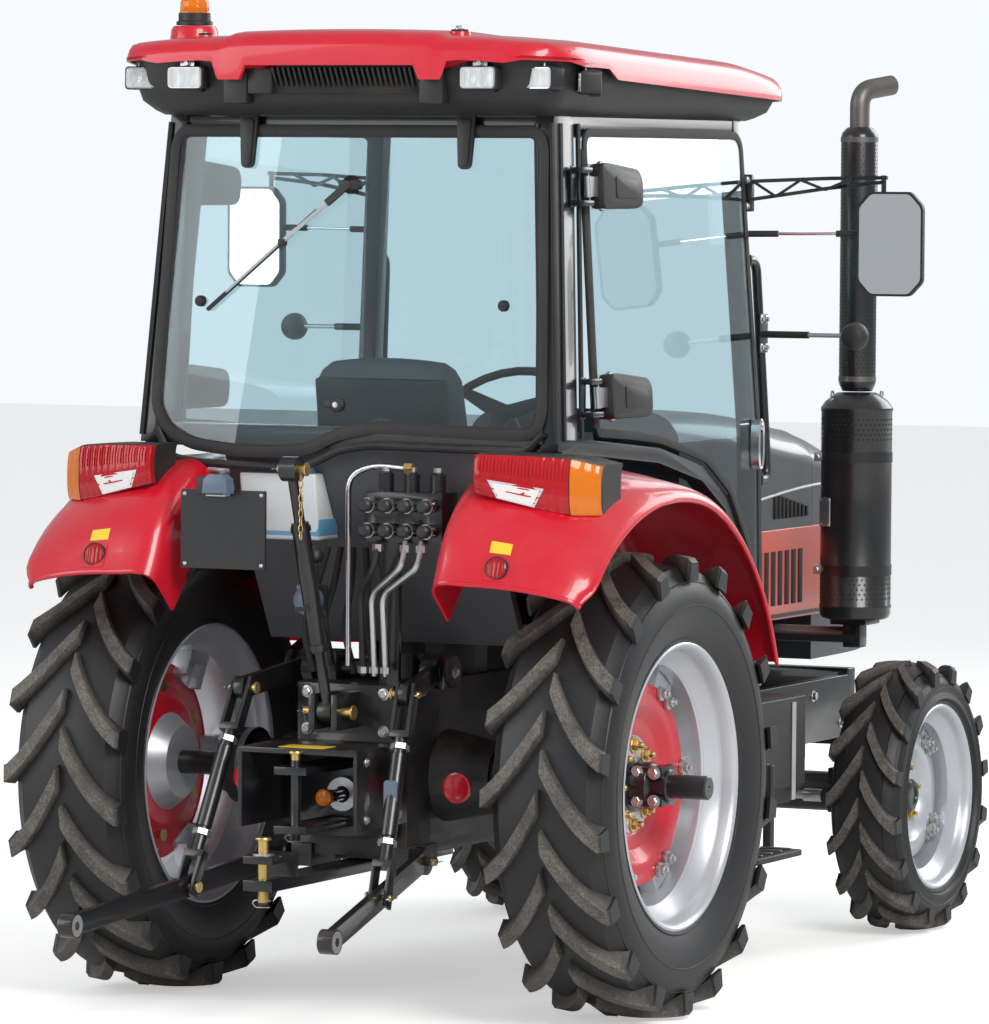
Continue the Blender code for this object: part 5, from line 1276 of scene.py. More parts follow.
across_lines = [-0.58, -0.54, -0.46, -0.40, -0.366, -0.352, -0.345, -0.33, -0.315, -0.302, -0.28, -0.262, -0.2, -0.1, 0.0]
across_lines += [-v for v in across_lines[:-1]]
xs = grid_lines(-ROOF_HALF, ROOF_HALF, across_lines)
ys = grid_lines(ROOF_FRONT, ROOF_REAR, [ROOF_FRONT + 0.12 + 0.075 * k for k in range(20)] + [ROOF_REAR - 0.36, ROOF_REAR - 0.42])
points = [Vector((*rounded_corner(x, y), roof_height(x, y))) for y in ys for x in xs]
count_x, count_y = len(xs), len(ys)
faces = [[j * count_x + i, j * count_x + i + 1, (j + 1) * count_x + i + 1, (j + 1) * count_x + i]
         for j in range(count_y - 1) for i in range(count_x - 1)]
rim = [i for i in range(count_x)] + [j * count_x + count_x - 1 for j in range(1, count_y)]
rim += [(count_y - 1) * count_x + i for i in range(count_x - 2, -1, -1)] + [j * count_x for j in range(count_y - 2, 0, -1)]
middle = Vector((0, (ROOF_REAR + ROOF_FRONT) / 2, 0))
previous = rim
for inset, lift in ((0.0, 0.012), (0.0, 0.0), (0.010, 0.0), (0.012, 0.030)):
    ring = []
    for k in rim:
        p = points[k]
        toward = Vector((middle.x - p.x, middle.y - p.y, 0)).normalized()
        ring.append(len(points))
        points.append(Vector((p.x, p.y, skirt_low(p.x, p.y) + lift)) + toward * inset)
    faces += [[previous[i], previous[(i + 1) % len(rim)], ring[(i + 1) % len(rim)], ring[i]] for i in range(len(rim))]
    previous = ring
faces.append(previous[::-1])
roof_parts = [("crimson_paint", (points, faces))]
BOLTS = [(0.50, 1.10), (-0.34, 1.17), (0.50, -0.20), (-0.34, -0.20)]
for x, y in BOLTS:
    z = roof_height(x, y)
    roof_parts.append(("crimson_paint", turned([(0.034, -0.02), (0.030, 0.008), (0, 0.009)], (x, y, z), Z, 28)))
    roof_parts.append(("seal_rubber", turned([(0.024, 0.008), (0.024, 0.014), (0, 0.015)], (x, y, z), Z, 24)))
    roof_parts.append(("zinc_plate", turned([(0.015, 0.014), (0.015, 0.017), (0, 0.018)], (x, y, z), Z, 20)))
    roof_parts.append(("zinc_plate", bolt((x, y, z + 0.016), Z, 0.011, 0.009, washer=False)))
beacon_low, beacon_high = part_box("beacon")
beacon_at = (beacon_low + beacon_high) / 2
seat_z = beacon_low.z
roof_parts.append(("crimson_paint", turned([(0.074, seat_z - 0.075), (0.066, seat_z - 0.012), (0.060, seat_z - 0.002), (0, seat_z - 0.001)],
                                           (beacon_at.x, beacon_at.y, 0), Z, 40)))
join("roof_moulding", "chassis", roof_parts, sharp=32, replaces=("roof",))
print("roof", len(faces), "faces")

# %% Beacon
top = beacon_high.z - seat_z
base = turned([(0, 0.0006), (0.052, 0.0006), (0.052, 0.010), (0.046, 0.014), (0.046, 0.034), (0.043, 0.036), (0, 0.036)],
              (beacon_at.x, beacon_at.y, seat_z), Z, 40)
cap_profile = [(0, 0.034), (0.042, 0.034), (0.042, 0.040)]
for k in range(6):
    z = 0.040 + k * 0.005
    cap_profile += [(0.0405, z + 0.001), (0.0425 - k * 0.0005, z + 0.003)]
cap_profile += [(0.038, 0.072), (0.036, top - 0.006), (0.030, top - 0.001), (0, top - 0.0004)]
join("beacon_lens", "chassis",
     [("orange_lens", turned(cap_profile, (beacon_at.x, beacon_at.y, seat_z), Z, 48)), ("black_plastic", base)], replaces=("beacon",))
print("beacon top at", round(seat_z + top, 3))

# %% [markdown]
# ## Under the roof's rim
# A black moulding closes the roof from below. Between the roof's two legs it is a louvre of upright slats, and beside
# the legs the work lights hang on small brackets: a housing, a bright rim, two bowls and a clear cover.

# %% Louvre and under-body
VISOR_LOW, VISOR_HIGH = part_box("roof_visor")
BODY_LINES = [
    # height, half width, front and rear inset from the roof's ends, corner
    (VISOR_LOW.z, 0.600, 0.120, 0.125, 0.06), (VISOR_LOW.z + 0.012, 0.622, 0.100, 0.105, 0.07),
    (VISOR_LOW.z + 0.040, 0.655, 0.065, 0.070, 0.09), (VISOR_LOW.z + 0.085, 0.668, 0.045, 0.052, 0.10),
    (2.690, 0.672, 0.030, 0.040, 0.11)]


def rounded_ring(z, half, front, rear, corner, steps=6):
    ring = []
    for cx, cy, start in ((half - corner, rear - corner, 0), (corner - half, rear - corner, 90),
                          (corner - half, front + corner, 180), (half - corner, front + corner, 270)):
        for i in range(steps + 1):
            angle = math.radians(start + 90 * i / steps)
            x, y = cx + corner * math.cos(angle), cy + corner * math.sin(angle)
            tilt = ROOF_FALL * (ROOF_REAR - y) * (z - VISOR_LOW.z) / (2.69 - VISOR_LOW.z)
            ring.append(Vector((x, y, z - tilt)))
    return ring


under = [("black_plastic", loft([rounded_ring(z, half, ROOF_FRONT + front, ROOF_REAR - rear, corner)
                                 for z, half, front, rear, corner in BODY_LINES]))]
LOUVRE = (-0.318, 0.190, 2.578, 2.662)
SLATS = 31
low_x, high_x, low_z, high_z = LOUVRE
for k in range(SLATS):
    x = low_x + (high_x - low_x) * (k + 0.5) / SLATS
    rings = []
    for z, y in ((low_z, ROOF_REAR - 0.075), (low_z + 0.012, ROOF_REAR - 0.058), (high_z - 0.016, ROOF_REAR - 0.022), (high_z, ROOF_REAR - 0.014)):
        rings.append([Vector((x - 0.0045, y - 0.03, z)), Vector((x - 0.0030, y, z)), Vector((x + 0.0030, y, z)), Vector((x + 0.0045, y - 0.03, z))])
    under.append(("black_plastic", loft(rings)))
# A near-black block behind the slats is painted shade in the louvre's opening.
under.append(("painted_shade_black", block((low_x - 0.002, ROOF_REAR - 0.085, low_z + 0.01), (high_x + 0.002, ROOF_REAR - 0.048, high_z), 0.002)))
under.append(("black_plastic", block((high_x, ROOF_REAR - 0.075, low_z + 0.01), (0.268, ROOF_REAR - 0.030, high_z), 0.008)))
for side in SIDES.values():
    under.append(("black_plastic", block((side * 0.305 - 0.038, ROOF_REAR - 0.085, 2.560), (side * 0.305 + 0.038, ROOF_REAR - 0.026, 2.655), 0.012)))
join("roof_under_body", "chassis", under, sharp=40, replaces=("roof_visor",))
print(SLATS, "slats")

# %% Work lights
WORK_LIGHTS = [
    # x, y from the rear axle, z, turn about z in degrees
    (0.456, 0.437, 2.634, 0), (0.612, 0.392, 2.634, 8), (-0.456, 0.437, 2.634, 0), (-0.612, 0.392, 2.634, -12),
    (-0.675, 0.230, 2.624, -62)]


def work_light():
    """One lamp, its cover facing +Y, centred on the origin."""
    frame_outline = round_corners([(-0.058, -0.034), (0.058, -0.034), (0.058, 0.032), (-0.058, 0.032)], 0.012)
    face = Matrix((X, Z, -Y)).transposed().to_4x4()
    at = lambda depth: Matrix.Translation((0, depth, 0)) @ face
    parts = [("black_plastic", plate(frame_outline, 0.058, at(0.006), 0.006))]
    lens = [(x * 0.86, z * 0.80) for x, z in frame_outline]
    lay = lambda x, z, h: Vector((x, 0.0062 + h, z))
    parts.append(("zinc_plate", border(lens, -0.003, 0.004, -0.002, 0.0018, lay)))
    parts.append(("blank_white", pane([(x * 0.97, z * 0.95) for x, z in lens], 0.0002, 0.0008, lay)))
    for x in (-0.022, 0.022):
        parts.append(("polished_steel", turned([(0, 0.0008), (0.006, 0.0010), (0.014, 0.0024), (0.020, 0.0042), (0.021, 0.0042), (0.021, 0.0006), (0, 0.0006)],
                                               (x, 0.0062, 0), Y, 24)))
    parts.append(("lamp_glass", pane(lens, 0.0044, 0.0056, lay)))
    parts.append(("black_plastic", block((-0.040, -0.050, -0.040), (-0.010, -0.020, -0.030), 0.003)))
    parts.append(("zinc_plate", strip([(-0.016, -0.01, 0.030), (-0.016, -0.01, 0.050), (-0.016, -0.035, 0.052)], 0.012, 0.003, up=X)))
    parts.append(("zinc_plate", strip([(0.016, -0.01, 0.030), (0.016, -0.01, 0.050), (0.016, -0.035, 0.052)], 0.012, 0.003, up=X)))
    parts.append(("zinc_plate", bolt((0, -0.008, 0.040), Y, 0.008, 0.006)))
    return parts


lights = []
for x, y, z, turn in WORK_LIGHTS:
    place = Matrix.Translation((x, AXLE_Y + y, z)) @ Matrix.Rotation(math.radians(turn), 4, "Z")
    lights += [(finish, moved(shape, place)) for finish, shape in work_light()]
join("work_lights", "chassis", lights)
print(len(WORK_LIGHTS), "work lights")

# %% [markdown]
# ## Fenders
# A fender is a pressed sheet round the wheel: a flat inner wall, a rounded crown and an outer skin that slopes to a
# lip. The crown and lip radii change along the arc, so both are read from a short table and blended smoothly. The
# same functions give any point on the skin, which places the beads, the label and the reflector.

# %% The fender's skin
AXLE_Z = (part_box("rear_tyre_left")[0].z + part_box("rear_tyre_left")[1].z) / 2
FENDER_STATIONS = [
    # angle up from the rear, crown radius, lip radius
    (41, 0.914, 0.838), (52, 0.972, 0.845), (63, 0.985, 0.840), (75, 0.945, 0.832), (90, 0.908, 0.826),
    (108, 0.905, 0.828), (125, 0.900, 0.822), (142, 0.880, 0.812), (158, 0.835, 0.800)]
INNER_X, OUTER_X = 0.425, 0.885


def smooth_table(table, value):
    """Catmull-Rom blend of a table whose first column rises."""
    last = len(table) - 1
    k = max(0, min(last - 1, sum(1 for row in table if row[0] <= value) - 1))
    rows = [table[max(0, k - 1)], table[k], table[k + 1], table[min(last, k + 2)]]
    t = (value - rows[1][0]) / (rows[2][0] - rows[1][0])
    found = []
    for a, b, c, d in zip(*(row[1:] for row in rows)):
        found.append(0.5 * (2 * b + (c - a) * t + (2 * a - 5 * b + 4 * c - d) * t * t + (3 * b - a - 3 * c + d) * t ** 3))
    return found


def fender_section(angle, steps=4):
    """The skin at one angle as (x, radius), from the inner wall's foot to the lip."""
    crown, lip = smooth_table(FENDER_STATIONS, angle)
    trim = 0.035 * (1 - soft_step(angle, 41, 46))
    fall = crown - lip
    corners = [(INNER_X, 0.735), (INNER_X, crown - 0.062)]
    corners += [(INNER_X + 0.050 * (1 - math.cos(a)), crown - 0.062 + 0.055 * math.sin(a)) for a in (math.radians(15 * k) for k in range(1, 6))]
    corners += [(0.475 + 0.012, crown - 0.004), (0.54, crown - 0.010), (0.60, crown - 0.11 * fall - 0.004), (0.66, crown - 0.24 * fall),
                (0.72, crown - 0.38 * fall), (0.78, crown - 0.55 * fall), (0.83, crown - 0.70 * fall), (0.862, lip + 0.012), (0.876, lip + 0.002),
                (0.883, lip - 0.008), (OUTER_X, lip - 0.020)]
    return [(x - trim * soft_step(x, 0.70, OUTER_X), r) for x, r in corners]


def on_arc(side, x, radius, angle):
    a = math.radians(angle)
    return Vector((side * x, AXLE_Y + radius * math.cos(a), AXLE_Z + radius * math.sin(a)))


def fender_radius(x, angle):
    section = fender_section(angle)[6:]
    for (x0, r0), (x1, r1) in zip(section, section[1:]):
        if x <= x1:
            return r0 + (r1 - r0) * (x - x0) / (x1 - x0)
    return section[-1][1]


def slab(us, vs, back, front, place):
    """A thin grid patch: place(u, v, height) gives each point, and the patch fills from back to front."""
    points = [place(u, v, h) for h in (back, front) for v in vs for u in us]
    n, m = len(us), len(vs)
    faces = []
    for layer in (0, 1):
        for j in range(m - 1):
            for i in range(n - 1):
                k = layer * n * m + j * n + i
                faces.append([k, k + 1, k + n + 1, k + n] if layer else [k, k + n, k + n + 1, k + 1])
    rim = list(range(n)) + [j * n + n - 1 for j in range(1, m)]
    rim += [(m - 1) * n + i for i in range(n - 2, -1, -1)] + [j * n for j in range(m - 2, 0, -1)]
    for a, b in zip(rim, rim[1:] + rim[:1]):
        faces.append([a, b, b + n * m, a + n * m])
    return points, faces


def spread(low, high, count):
    return [low + (high - low) * k / (count - 1) for k in range(count)]


print("fender lip radius behind the axle", round(fender_section(60)[-1][1], 3))

# %% Fenders
SHEET = 0.008
for side_name, side in SIDES.items():
    rings = []
    for angle in spread(41, 158, 60):
        outer = fender_section(angle)
        inner = [(x - nx * SHEET, r - nr * SHEET) for (x, r), (nx, nr) in zip(outer, [
            ((b[1] - a[1]) * -1 / (math.dist(a, b) or 1), (b[0] - a[0]) / (math.dist(a, b) or 1))
            for a, b in zip([outer[0]] + outer[:-1], outer[1:] + [outer[-1]])])]
        rings.append([on_arc(side, x, r, angle) for x, r in outer + inner[::-1]])
    sheet = loft(rings) if side > 0 else loft(rings[::-1])
    parts = [("crimson_paint", sheet)]
    lip = [on_arc(side, *fender_section(a)[-1], a) for a in spread(42, 157, 40)]
    parts.append(("crimson_paint", pipe([p - X * side * 0.004 for p in lip], 0.0075, sides=8)))
    hem = [on_arc(side, x, r - 0.004, 41.3) for x, r in fender_section(41)[6:]]
    parts.append(("crimson_paint", pipe(hem, 0.0075, sides=8)))
    place = lambda x, angle, h, s=side: on_arc(s, x, fender_radius(x, angle) + h, angle)
    parts.append(("blank_yellow", slab(spread(0.592, 0.652, 6), spread(47.0, 49.0, 4), 0.0002, 0.0012, place)))
    parts.append(("crimson_paint", slab(spread(0.588, 0.658, 6), spread(42.0, 46.2, 5), 0.0002, 0.0022, place)))
    centre = place(0.623, 44.3, 0.0030)
    normal = (place(0.623, 44.1, 0.01) - centre).normalized()
    parts.append(("reflector_red", turned([(0, -0.006), (0.030, -0.006), (0.030, 0.006), (0.024, 0.0085), (0, 0.0095)], centre, normal, 36)))
    parts.append(("black_plastic", turned([(0.0305, -0.006), (0.0335, -0.006), (0.0335, 0.0065), (0.0305, 0.0070)], centre, normal, 36, looped=True)))
    seam = [on_arc(side, INNER_X - 0.003, 0.742, a) for a in spread(50, 150, 24)]
    parts.append(("seal_rubber", pipe(seam, 0.009, sides=8)))
    for a in (58, 72, 86, 100, 114, 128, 142):
        parts.append(("zinc_plate", bolt(on_arc(side, INNER_X - 0.0005, 0.79, a), -X * side, 0.009, 0.006)))
    join(f"fender_sheet_{side_name}", "chassis", parts, sharp=40, replaces=(f"fender_{side_name}",))
print("fender sheets of", len(rings), "stations")

# %% [markdown]
# ## Tail lamps
# Each tail lamp is a wedge on the fender's shoulder: a black housing, a red lens with ribs along its top, an orange
# lens round the outer end and a clear window in a bright frame at the bottom.

# %% Tail lamps
LAMP_STATIONS = [
    # x, rear face from the axle, low, high
    (0.500, 0.560, 1.490, 1.602), (0.660, 0.530, 1.450, 1.600), (0.770, 0.490, 1.430, 1.592), (0.832, 0.440, 1.430, 1.572)]


def lamp_values(x):
    for row, following in zip(LAMP_STATIONS, LAMP_STATIONS[1:]):
        if x <= following[0]:
            share = (x - row[0]) / (following[0] - row[0])
            return [a + (b - a) * share for a, b in zip(row[1:], following[1:])]
    return list(LAMP_STATIONS[-1][1:])


def on_lamp(side, x, v, out):
    """A point on the lamp's rear face; v runs from the bottom edge to the top edge."""
    rear, low, high = lamp_values(x)
    bulge = 0.014 * (1 - abs(2 * v - 1) ** 3) - 0.014
    end = -0.010 * soft_step(-x, -0.512, -0.500)
    return Vector((side * x, AXLE_Y + rear + bulge + end + out, low + (high - low) * v))


for side_name, side in SIDES.items():
    place = lambda x, v, h, s=side: on_lamp(s, x, v, h)
    heights = spread(0.0, 1.0, 9)
    parts = [("black_plastic", slab(spread(0.500, 0.832, 14), heights, -0.145, -0.022, place))]
    parts.append(("red_lens", slab(spread(0.503, 0.762, 12), spread(0.03, 0.97, 11), -0.022, 0.0, place)))
    parts.append(("orange_lens", slab(spread(0.765, 0.829, 6), spread(0.03, 0.97, 11), -0.022, 0.0, place)))
    parts.append(("black_plastic", slab([0.7625, 0.7645], spread(0.02, 0.98, 9), -0.022, 0.001, place)))
    for x in spread(0.520, 0.752, 25):
        parts.append(("red_lens", slab([x - 0.0028, x + 0.0028], spread(0.60, 0.93, 5), -0.001, 0.0028, place)))
    for v in (0.12, 0.24, 0.36, 0.48):
        parts.append(("red_lens", slab(spread(0.512, 0.756, 8), [v - 0.012, v + 0.012], -0.001, 0.0016, place)))
    window = [(0.568, 0.05), (0.672, 0.05), (0.700, 0.42), (0.545, 0.42)]
    parts.append(("polished_steel", pane(window, 0.0005, 0.0038, place)))
    parts.append(("blank_white", pane([(0.574, 0.08), (0.667, 0.08), (0.690, 0.38), (0.556, 0.38)], 0.0030, 0.0050, place)))
    foot = [place(x, 0.0, -0.08) for x in spread(0.52, 0.82, 5)]
    parts.append(("seal_rubber", pipe([p + Z * 0.004 for p in foot], 0.012, sides=8)))
    join(f"tail_lamp_{side_name}_lens", "chassis", parts, sharp=35, replaces=(f"tail_lamp_{side_name}",))
print("tail lamps with", len(parts), "pieces each")

# %% [markdown]
# ## The tractor's rear
# The castings above are plain blocks. What makes them read as a tractor's rear is small: pins with spring clips, lock
# nuts, couplers with chrome rings, pipes and bolts. Each piece rides with the casting that it sits on.

# %% Pins, clips and nuts
def pin(at, axis, radius, length, finish="gold_zinc"):
    """A headed pin centred on a point, with a spring clip through its far end."""
    axis = Vector(axis).normalized()
    start = Vector(at) - axis * length / 2
    head = [(0, -0.007), (radius * 1.5, -0.007), (radius * 1.6, -0.004), (radius * 1.5, 0), (radius, 0), (radius, length - 0.003), (radius * 0.8, length), (0, length)]
    across = axis.cross(Z if abs(axis.z) < 0.8 else Y).normalized()
    hole = start + axis * (length - 0.008)
    clip = [hole - across * 0.024, hole + across * 0.024, hole + across * 0.034 + axis * 0.008, hole + across * 0.022 + axis * (radius + 0.006), hole - across * 0.020 + axis * (radius + 0.004)]
    return [(finish, turned(head, start, axis, 20)), ("zinc_plate", pipe(clip, 0.0018, 0.006, 6, 3))]


def nut(at, axis, radius, tall):
    ring = [(0, 0), (radius, 0), (radius, tall), (0, tall)]
    return ("zinc_plate", turned(ring, at, axis, 6))


def ring(at, axis, inner, outer, tall, finish):
    profile = [(inner, -tall / 2), (outer, -tall / 2), (outer, tall / 2), (inner, tall / 2)]
    return (finish, turned(profile, at, axis, 28, looped=True))


def world(x, y, z):
    """A point given from the rear axle's line."""
    return Vector((x, AXLE_Y + y, z))


TOP_FOOT, TOP_HEAD = world(0, 0.430, 0.860), world(0.045, 0.575, 1.545)
along = (TOP_HEAD - TOP_FOOT).normalized()
parts = pin(TOP_HEAD, X, 0.012, 0.085) + [ring(TOP_HEAD, X, 0.014, 0.035, 0.050, "black_paint")]
parts += [ring(TOP_FOOT + along * d, along, 0.016, 0.029, 0.014, "black_paint") for d in (0.19, 0.53)]
parts.append(("black_paint", strip([TOP_FOOT + along * 0.30 + Y * 0.026, TOP_FOOT + along * 0.30 + Y * 0.060 + X * 0.03], 0.012, 0.008)))
for k in range(9):
    link = TOP_HEAD + Vector((-0.034, 0.010, -0.018 - 0.021 * k))
    turn = X if k % 2 else Y
    loop = [link + turn * 0.006 * math.cos(a) + Z * 0.012 * math.sin(a) for a in (math.tau * n / 10 for n in range(11))]
    parts.append(("gold_zinc", pipe(loop, 0.0017, sides=5)))
join("top_link_pins", "top_link", parts)
for side_name, side in SIDES.items():
    top, pivot, ball = world(side * 0.257, 0.455, 0.920), world(side * 0.215, 0.260, 0.435), world(side * 0.395, 1.206, 0.315)
    foot = pivot.lerp(ball, 0.47)
    down = (foot - top).normalized()
    parts = pin(top, X * side, 0.011, 0.082)
    parts += [nut(top + down * 0.150, down, 0.027, 0.016), nut(top + down * 0.430, down, 0.027, 0.016)]
    parts += [("black_paint", pipe([top + down * 0.18, top + down * 0.42], 0.023, sides=20))]
    parts += [("blue_grey_paint", plate(round_corners([(-0.020, -0.045), (0.020, -0.045), (0.020, 0.045), (-0.020, 0.045)], 0.012), 0.005,
               Matrix.Translation(top + down * 0.30 + Y * 0.022) @ Matrix((X, Z, -Y)).transposed().to_4x4()))] if side < 0 else []
    join(f"lift_rod_{side_name}_pins", f"lift_rod_{side_name}", parts)
    parts = pin(pivot, X * side, 0.012, 0.090) + pin(foot, X * side, 0.010, 0.070)
    parts += [ring(ball, X, 0.0125, 0.030, 0.046, "zinc_plate"), ring(ball, X, 0.029, 0.0338, 0.036, "black_paint")]
    parts.append(ring(pivot, X, 0.014, 0.040, 0.030, "black_paint"))
    join(f"lower_link_{side_name}_pins", f"lower_link_{side_name}", parts)
print("pins and clips on the linkage")

# %% Hydraulic valve, pipes and lever
parts = []
for x in (-0.315, -0.255, -0.195, -0.135):
    for z in (1.375, 1.445):
        parts.append(ring(world(x, 0.452, z), Y, 0.012, 0.0215, 0.020, "polished_steel"))
        parts.append(("black_plastic", turned([(0, 0.474), (0.018, 0.474), (0.019, 0.486), (0.013, 0.492), (0, 0.493)], world(x, 0, z), Y, 24)))
for x in (-0.300, -0.220, -0.140):
    parts.append(("black_paint", turned([(0, 0), (0.022, 0), (0.022, 0.05), (0.012, 0.058), (0, 0.06)], world(x, 0.352, 1.478), Z, 24)))
    parts.append(nut(world(x, 0.352, 1.536), Z, 0.013, 0.012))
for k, (x, finish) in enumerate(((-0.285, "zinc_plate"), (-0.235, "zinc_plate"), (-0.150, "black_plastic"))):
    foot_x = 0.035 * k - 0.145
    run = [world(x, 0.425, 1.345), world(x, 0.445, 1.275), world(foot_x, 0.385, 1.190), world(foot_x, 0.360, 0.960)]
    parts.append((finish, pipe(run, 0.0085, 0.035, 10)))
    parts += [nut(world(x, 0.425, 1.335), -Z, 0.016, 0.020), nut(world(foot_x, 0.361, 0.985), -Z, 0.015, 0.018)]
bend = [world(-0.02, 0.345, 0.985), world(-0.02, 0.350, 1.520), world(-0.10, 0.352, 1.552), world(-0.205, 0.356, 1.545)]
parts += [("polished_steel", pipe(bend, 0.0085, 0.05, 12)), ("gold_zinc", turned([(0, 0), (0.016, 0), (0.016, 0.025), (0, 0.025)], world(-0.225, 0.357, 1.545), X, 6))]
lever = [world(0.055, 0.30, 0.985), world(0.055, 0.40, 1.180), world(0.050, 0.42, 1.305)]
parts += [("black_paint", pipe(lever, 0.008, 0.05, 10)), ("black_plastic", dome(lever[2] - Z * 0.012, Z, 0.026, 0.030, 20)), ("black_plastic", dome(lever[2] - Z * 0.011, -Z, 0.026, 0.020, 20))]
for k in range(5):
    x = -0.14 + 0.065 * k
    hose = [world(x, 0.285, 0.96), world(x + 0.02, 0.315, 1.08 + 0.03 * (k % 2)), world(x * 0.8, 0.300, 1.22), world(x * 0.6, 0.29, 1.315)]
    parts.append(("seal_rubber", pipe(hose, 0.010, 0.05, 10)))
join("valve_details", "chassis", parts)
print("valve and pipes", len(parts), "pieces")

# %% Number plate, lamp, tank and socket
plate_face = Matrix.Translation(world(0.245, 0.6035, 1.372)) @ Matrix((X, Z, -Y)).transposed().to_4x4()
parts = [("black_paint", plate(round_corners([(-0.132, -0.110), (0.132, -0.110), (0.132, 0.110), (-0.132, 0.110)], 0.008), 0.004, plate_face))]
for x, z in ((-0.120, -0.098), (0.120, -0.098), (0.120, 0.098), (-0.120, 0.098)):
    parts.append(("zinc_plate", dome(world(0.245 + x, 0.6035, 1.372 + z), Y, 0.006, 0.004)))
lamp = [(-0.042, -0.024), (0.042, -0.024), (0.036, 0.018), (0.022, 0.030), (-0.022, 0.030), (-0.036, 0.018)]
lamp_place = Matrix.Translation(world(0.252, 0.644, 1.497)) @ Matrix((X, Z, -Y)).transposed().to_4x4()
parts += [("blue_grey_paint", plate(lamp, 0.050, lamp_place, 0.008)), ("white_lens", block(world(0.222, 0.600, 1.466), world(0.282, 0.638, 1.474), 0.002))]
join("number_plate", "chassis", parts)
tank_low, tank_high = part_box("washer_tank")
parts = [("band_blue", block((tank_low.x - 0.0015, tank_low.y + 0.01, tank_low.z + 0.012), (tank_high.x + 0.0015, tank_high.y - 0.026, tank_low.z + 0.060), 0.004))]
parts.append(("band_blue", turned([(0, 0), (0.026, 0), (0.026, 0.014), (0.022, 0.018), (0, 0.018)], (0.150, tank_high.y - 0.06, tank_high.z), Z, 24)))
join("washer_tank_band", "chassis", parts)
socket = [(0, 0), (0.036, 0), (0.036, 0.030), (0.040, 0.032), (0.040, 0.044), (0.034, 0.048), (0, 0.048)]
parts = [("blue_grey_paint", turned(socket, world(0.100, 0.330, 1.165), Y, 28)), ("black_plastic", block(world(0.055, 0.322, 1.120), world(0.145, 0.332, 1.210), 0.004)),
         ("blue_grey_paint", block(world(0.070, 0.350, 1.196), world(0.130, 0.376, 1.210), 0.004))]
for side in SIDES.values():
    cap = [(0, 0), (0.030, 0), (0.040, 0.004), (0.043, 0.014), (0.043, 0.022), (0.038, 0.024), (0.030, 0.018), (0, 0.012)]
    parts.append(("crimson_paint", turned(cap, world(side * 0.330, 0.262, 0.648), Y, 32)))
    for z in (0.60, 0.75, 0.90):
        parts.append(("zinc_plate", bolt(world(side * 0.115, 0.272, z), Y, 0.011, 0.008)))
    parts.append(("polished_steel", turned([(0.100, 0.0), (0.112, 0.0), (0.112, 0.020), (0.100, 0.020)], world(side * 0.44, 0, AXLE_Z), X * side, 40, looped=True)))
join("rear_case_details", "chassis", parts)
print("plate, lamp, tank and socket placed")

# %% Hitch frame, shaft shield and drawbar
parts = [("blank_yellow", block(world(-0.070, 0.520, 0.7705), world(0.070, 0.600, 0.7720), 0.0005))]
parts += pin(world(0, 0.630, 0.640), -Z, 0.013, 0.235) + pin(TOP_FOOT, X, 0.0135, 0.150)
parts.append(("orange_lens", turned([(0, 0), (0.024, 0), (0.024, 0.018), (0.018, 0.022), (0, 0.022)], world(0, 0.440, 0.620), Y, 24)))
parts.append(ring(world(0, 0.330, 0.620), Y, 0.024, 0.048, 0.020, "zinc_plate"))
groove = [(0.019, 0.345), (0.019, 0.430)]
for k in range(8):
    a = math.tau * k / 8
    parts.append(("polished_steel", block(world(0.0165 * math.cos(a) - 0.0025, 0.350, 0.62 + 0.0165 * math.sin(a) - 0.0025), world(0.0165 * math.cos(a) + 0.0025, 0.438, 0.62 + 0.0165 * math.sin(a) + 0.0025), 0.001)))
for side in SIDES.values():
    for z in (0.575, 0.735):
        parts.append(("zinc_plate", bolt(world(side * 0.185, 0.36, z), X * side, 0.011, 0.008)))
        parts.append(("zinc_plate", bolt(world(side * 0.185, 0.56, z), X * side, 0.009, 0.007)))
    for z in (0.80, 0.905):
        parts.append(("zinc_plate", bolt(world(side * 0.120, 0.321, z), Y, 0.012, 0.009)))
join("hitch_details", "chassis", parts)
join("drawbar_pin", "chassis", pin(world(0, 0.825, 0.447), -Z, 0.0145, 0.175) + [ring(world(0, 0.825, 0.494), Z, 0.015, 0.030, 0.006, "zinc_plate")])
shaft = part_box("rockshaft")
parts = [("black_casting", turned([(0, 0), (0.040, 0), (0.046, 0.006), (0.046, 0.016), (0, 0.016)], world(side * 0.243, 0.150, 0.962), X * side, 32)) for side in SIDES.values()]
parts += [("zinc_plate", bolt(world(side * 0.259, 0.150, 0.962), X * side, 0.012, 0.009)) for side in SIDES.values()]
join("lift_arm_caps", "rockshaft", parts)
print("hitch details", len(parts))

# %% [markdown]
# ## Exhaust
# The silencer is an upright drum with a cone-shaped shoulder, a clamp band and rows of small holes. Above it the
# perforated guard surrounds the pipe, whose mouth is cut at a slant. The holes are flat dark discs of painted
# shade that stand a fraction of a millimetre above the steel, which costs far less than cutting thousands of holes.

# %% Exhaust
SILENCER_LOW, SILENCER_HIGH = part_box("exhaust_silencer")
STACK_X, STACK_Y = SILENCER_LOW.x + 0.112, AXLE_Y - 2.030
DRUM_R, GUARD_R, PIPE_R = 0.110, 0.057, 0.031


def dots(centre_x, centre_y, radius, low, high, rows, per_row, size):
    """Dark discs of painted shade, standing for holes, in staggered rows round an upright cylinder."""
    points, faces = [], []
    for row in range(rows):
        z = low + (high - low) * (row + 0.5) / rows
        for k in range(per_row):
            turn = math.tau * (k + 0.5 * (row % 2)) / per_row
            out = Vector((math.cos(turn), math.sin(turn), 0))
            side = Vector((-math.sin(turn), math.cos(turn), 0))
            start = len(points)
            for a in range(6):
                angle = math.tau * a / 6
                points.append(Vector((centre_x, centre_y, z)) + out * (radius + 0.0004) + side * size * math.cos(angle) + Z * size * math.sin(angle))
            faces.append([start + a for a in range(6)])
    return points, faces


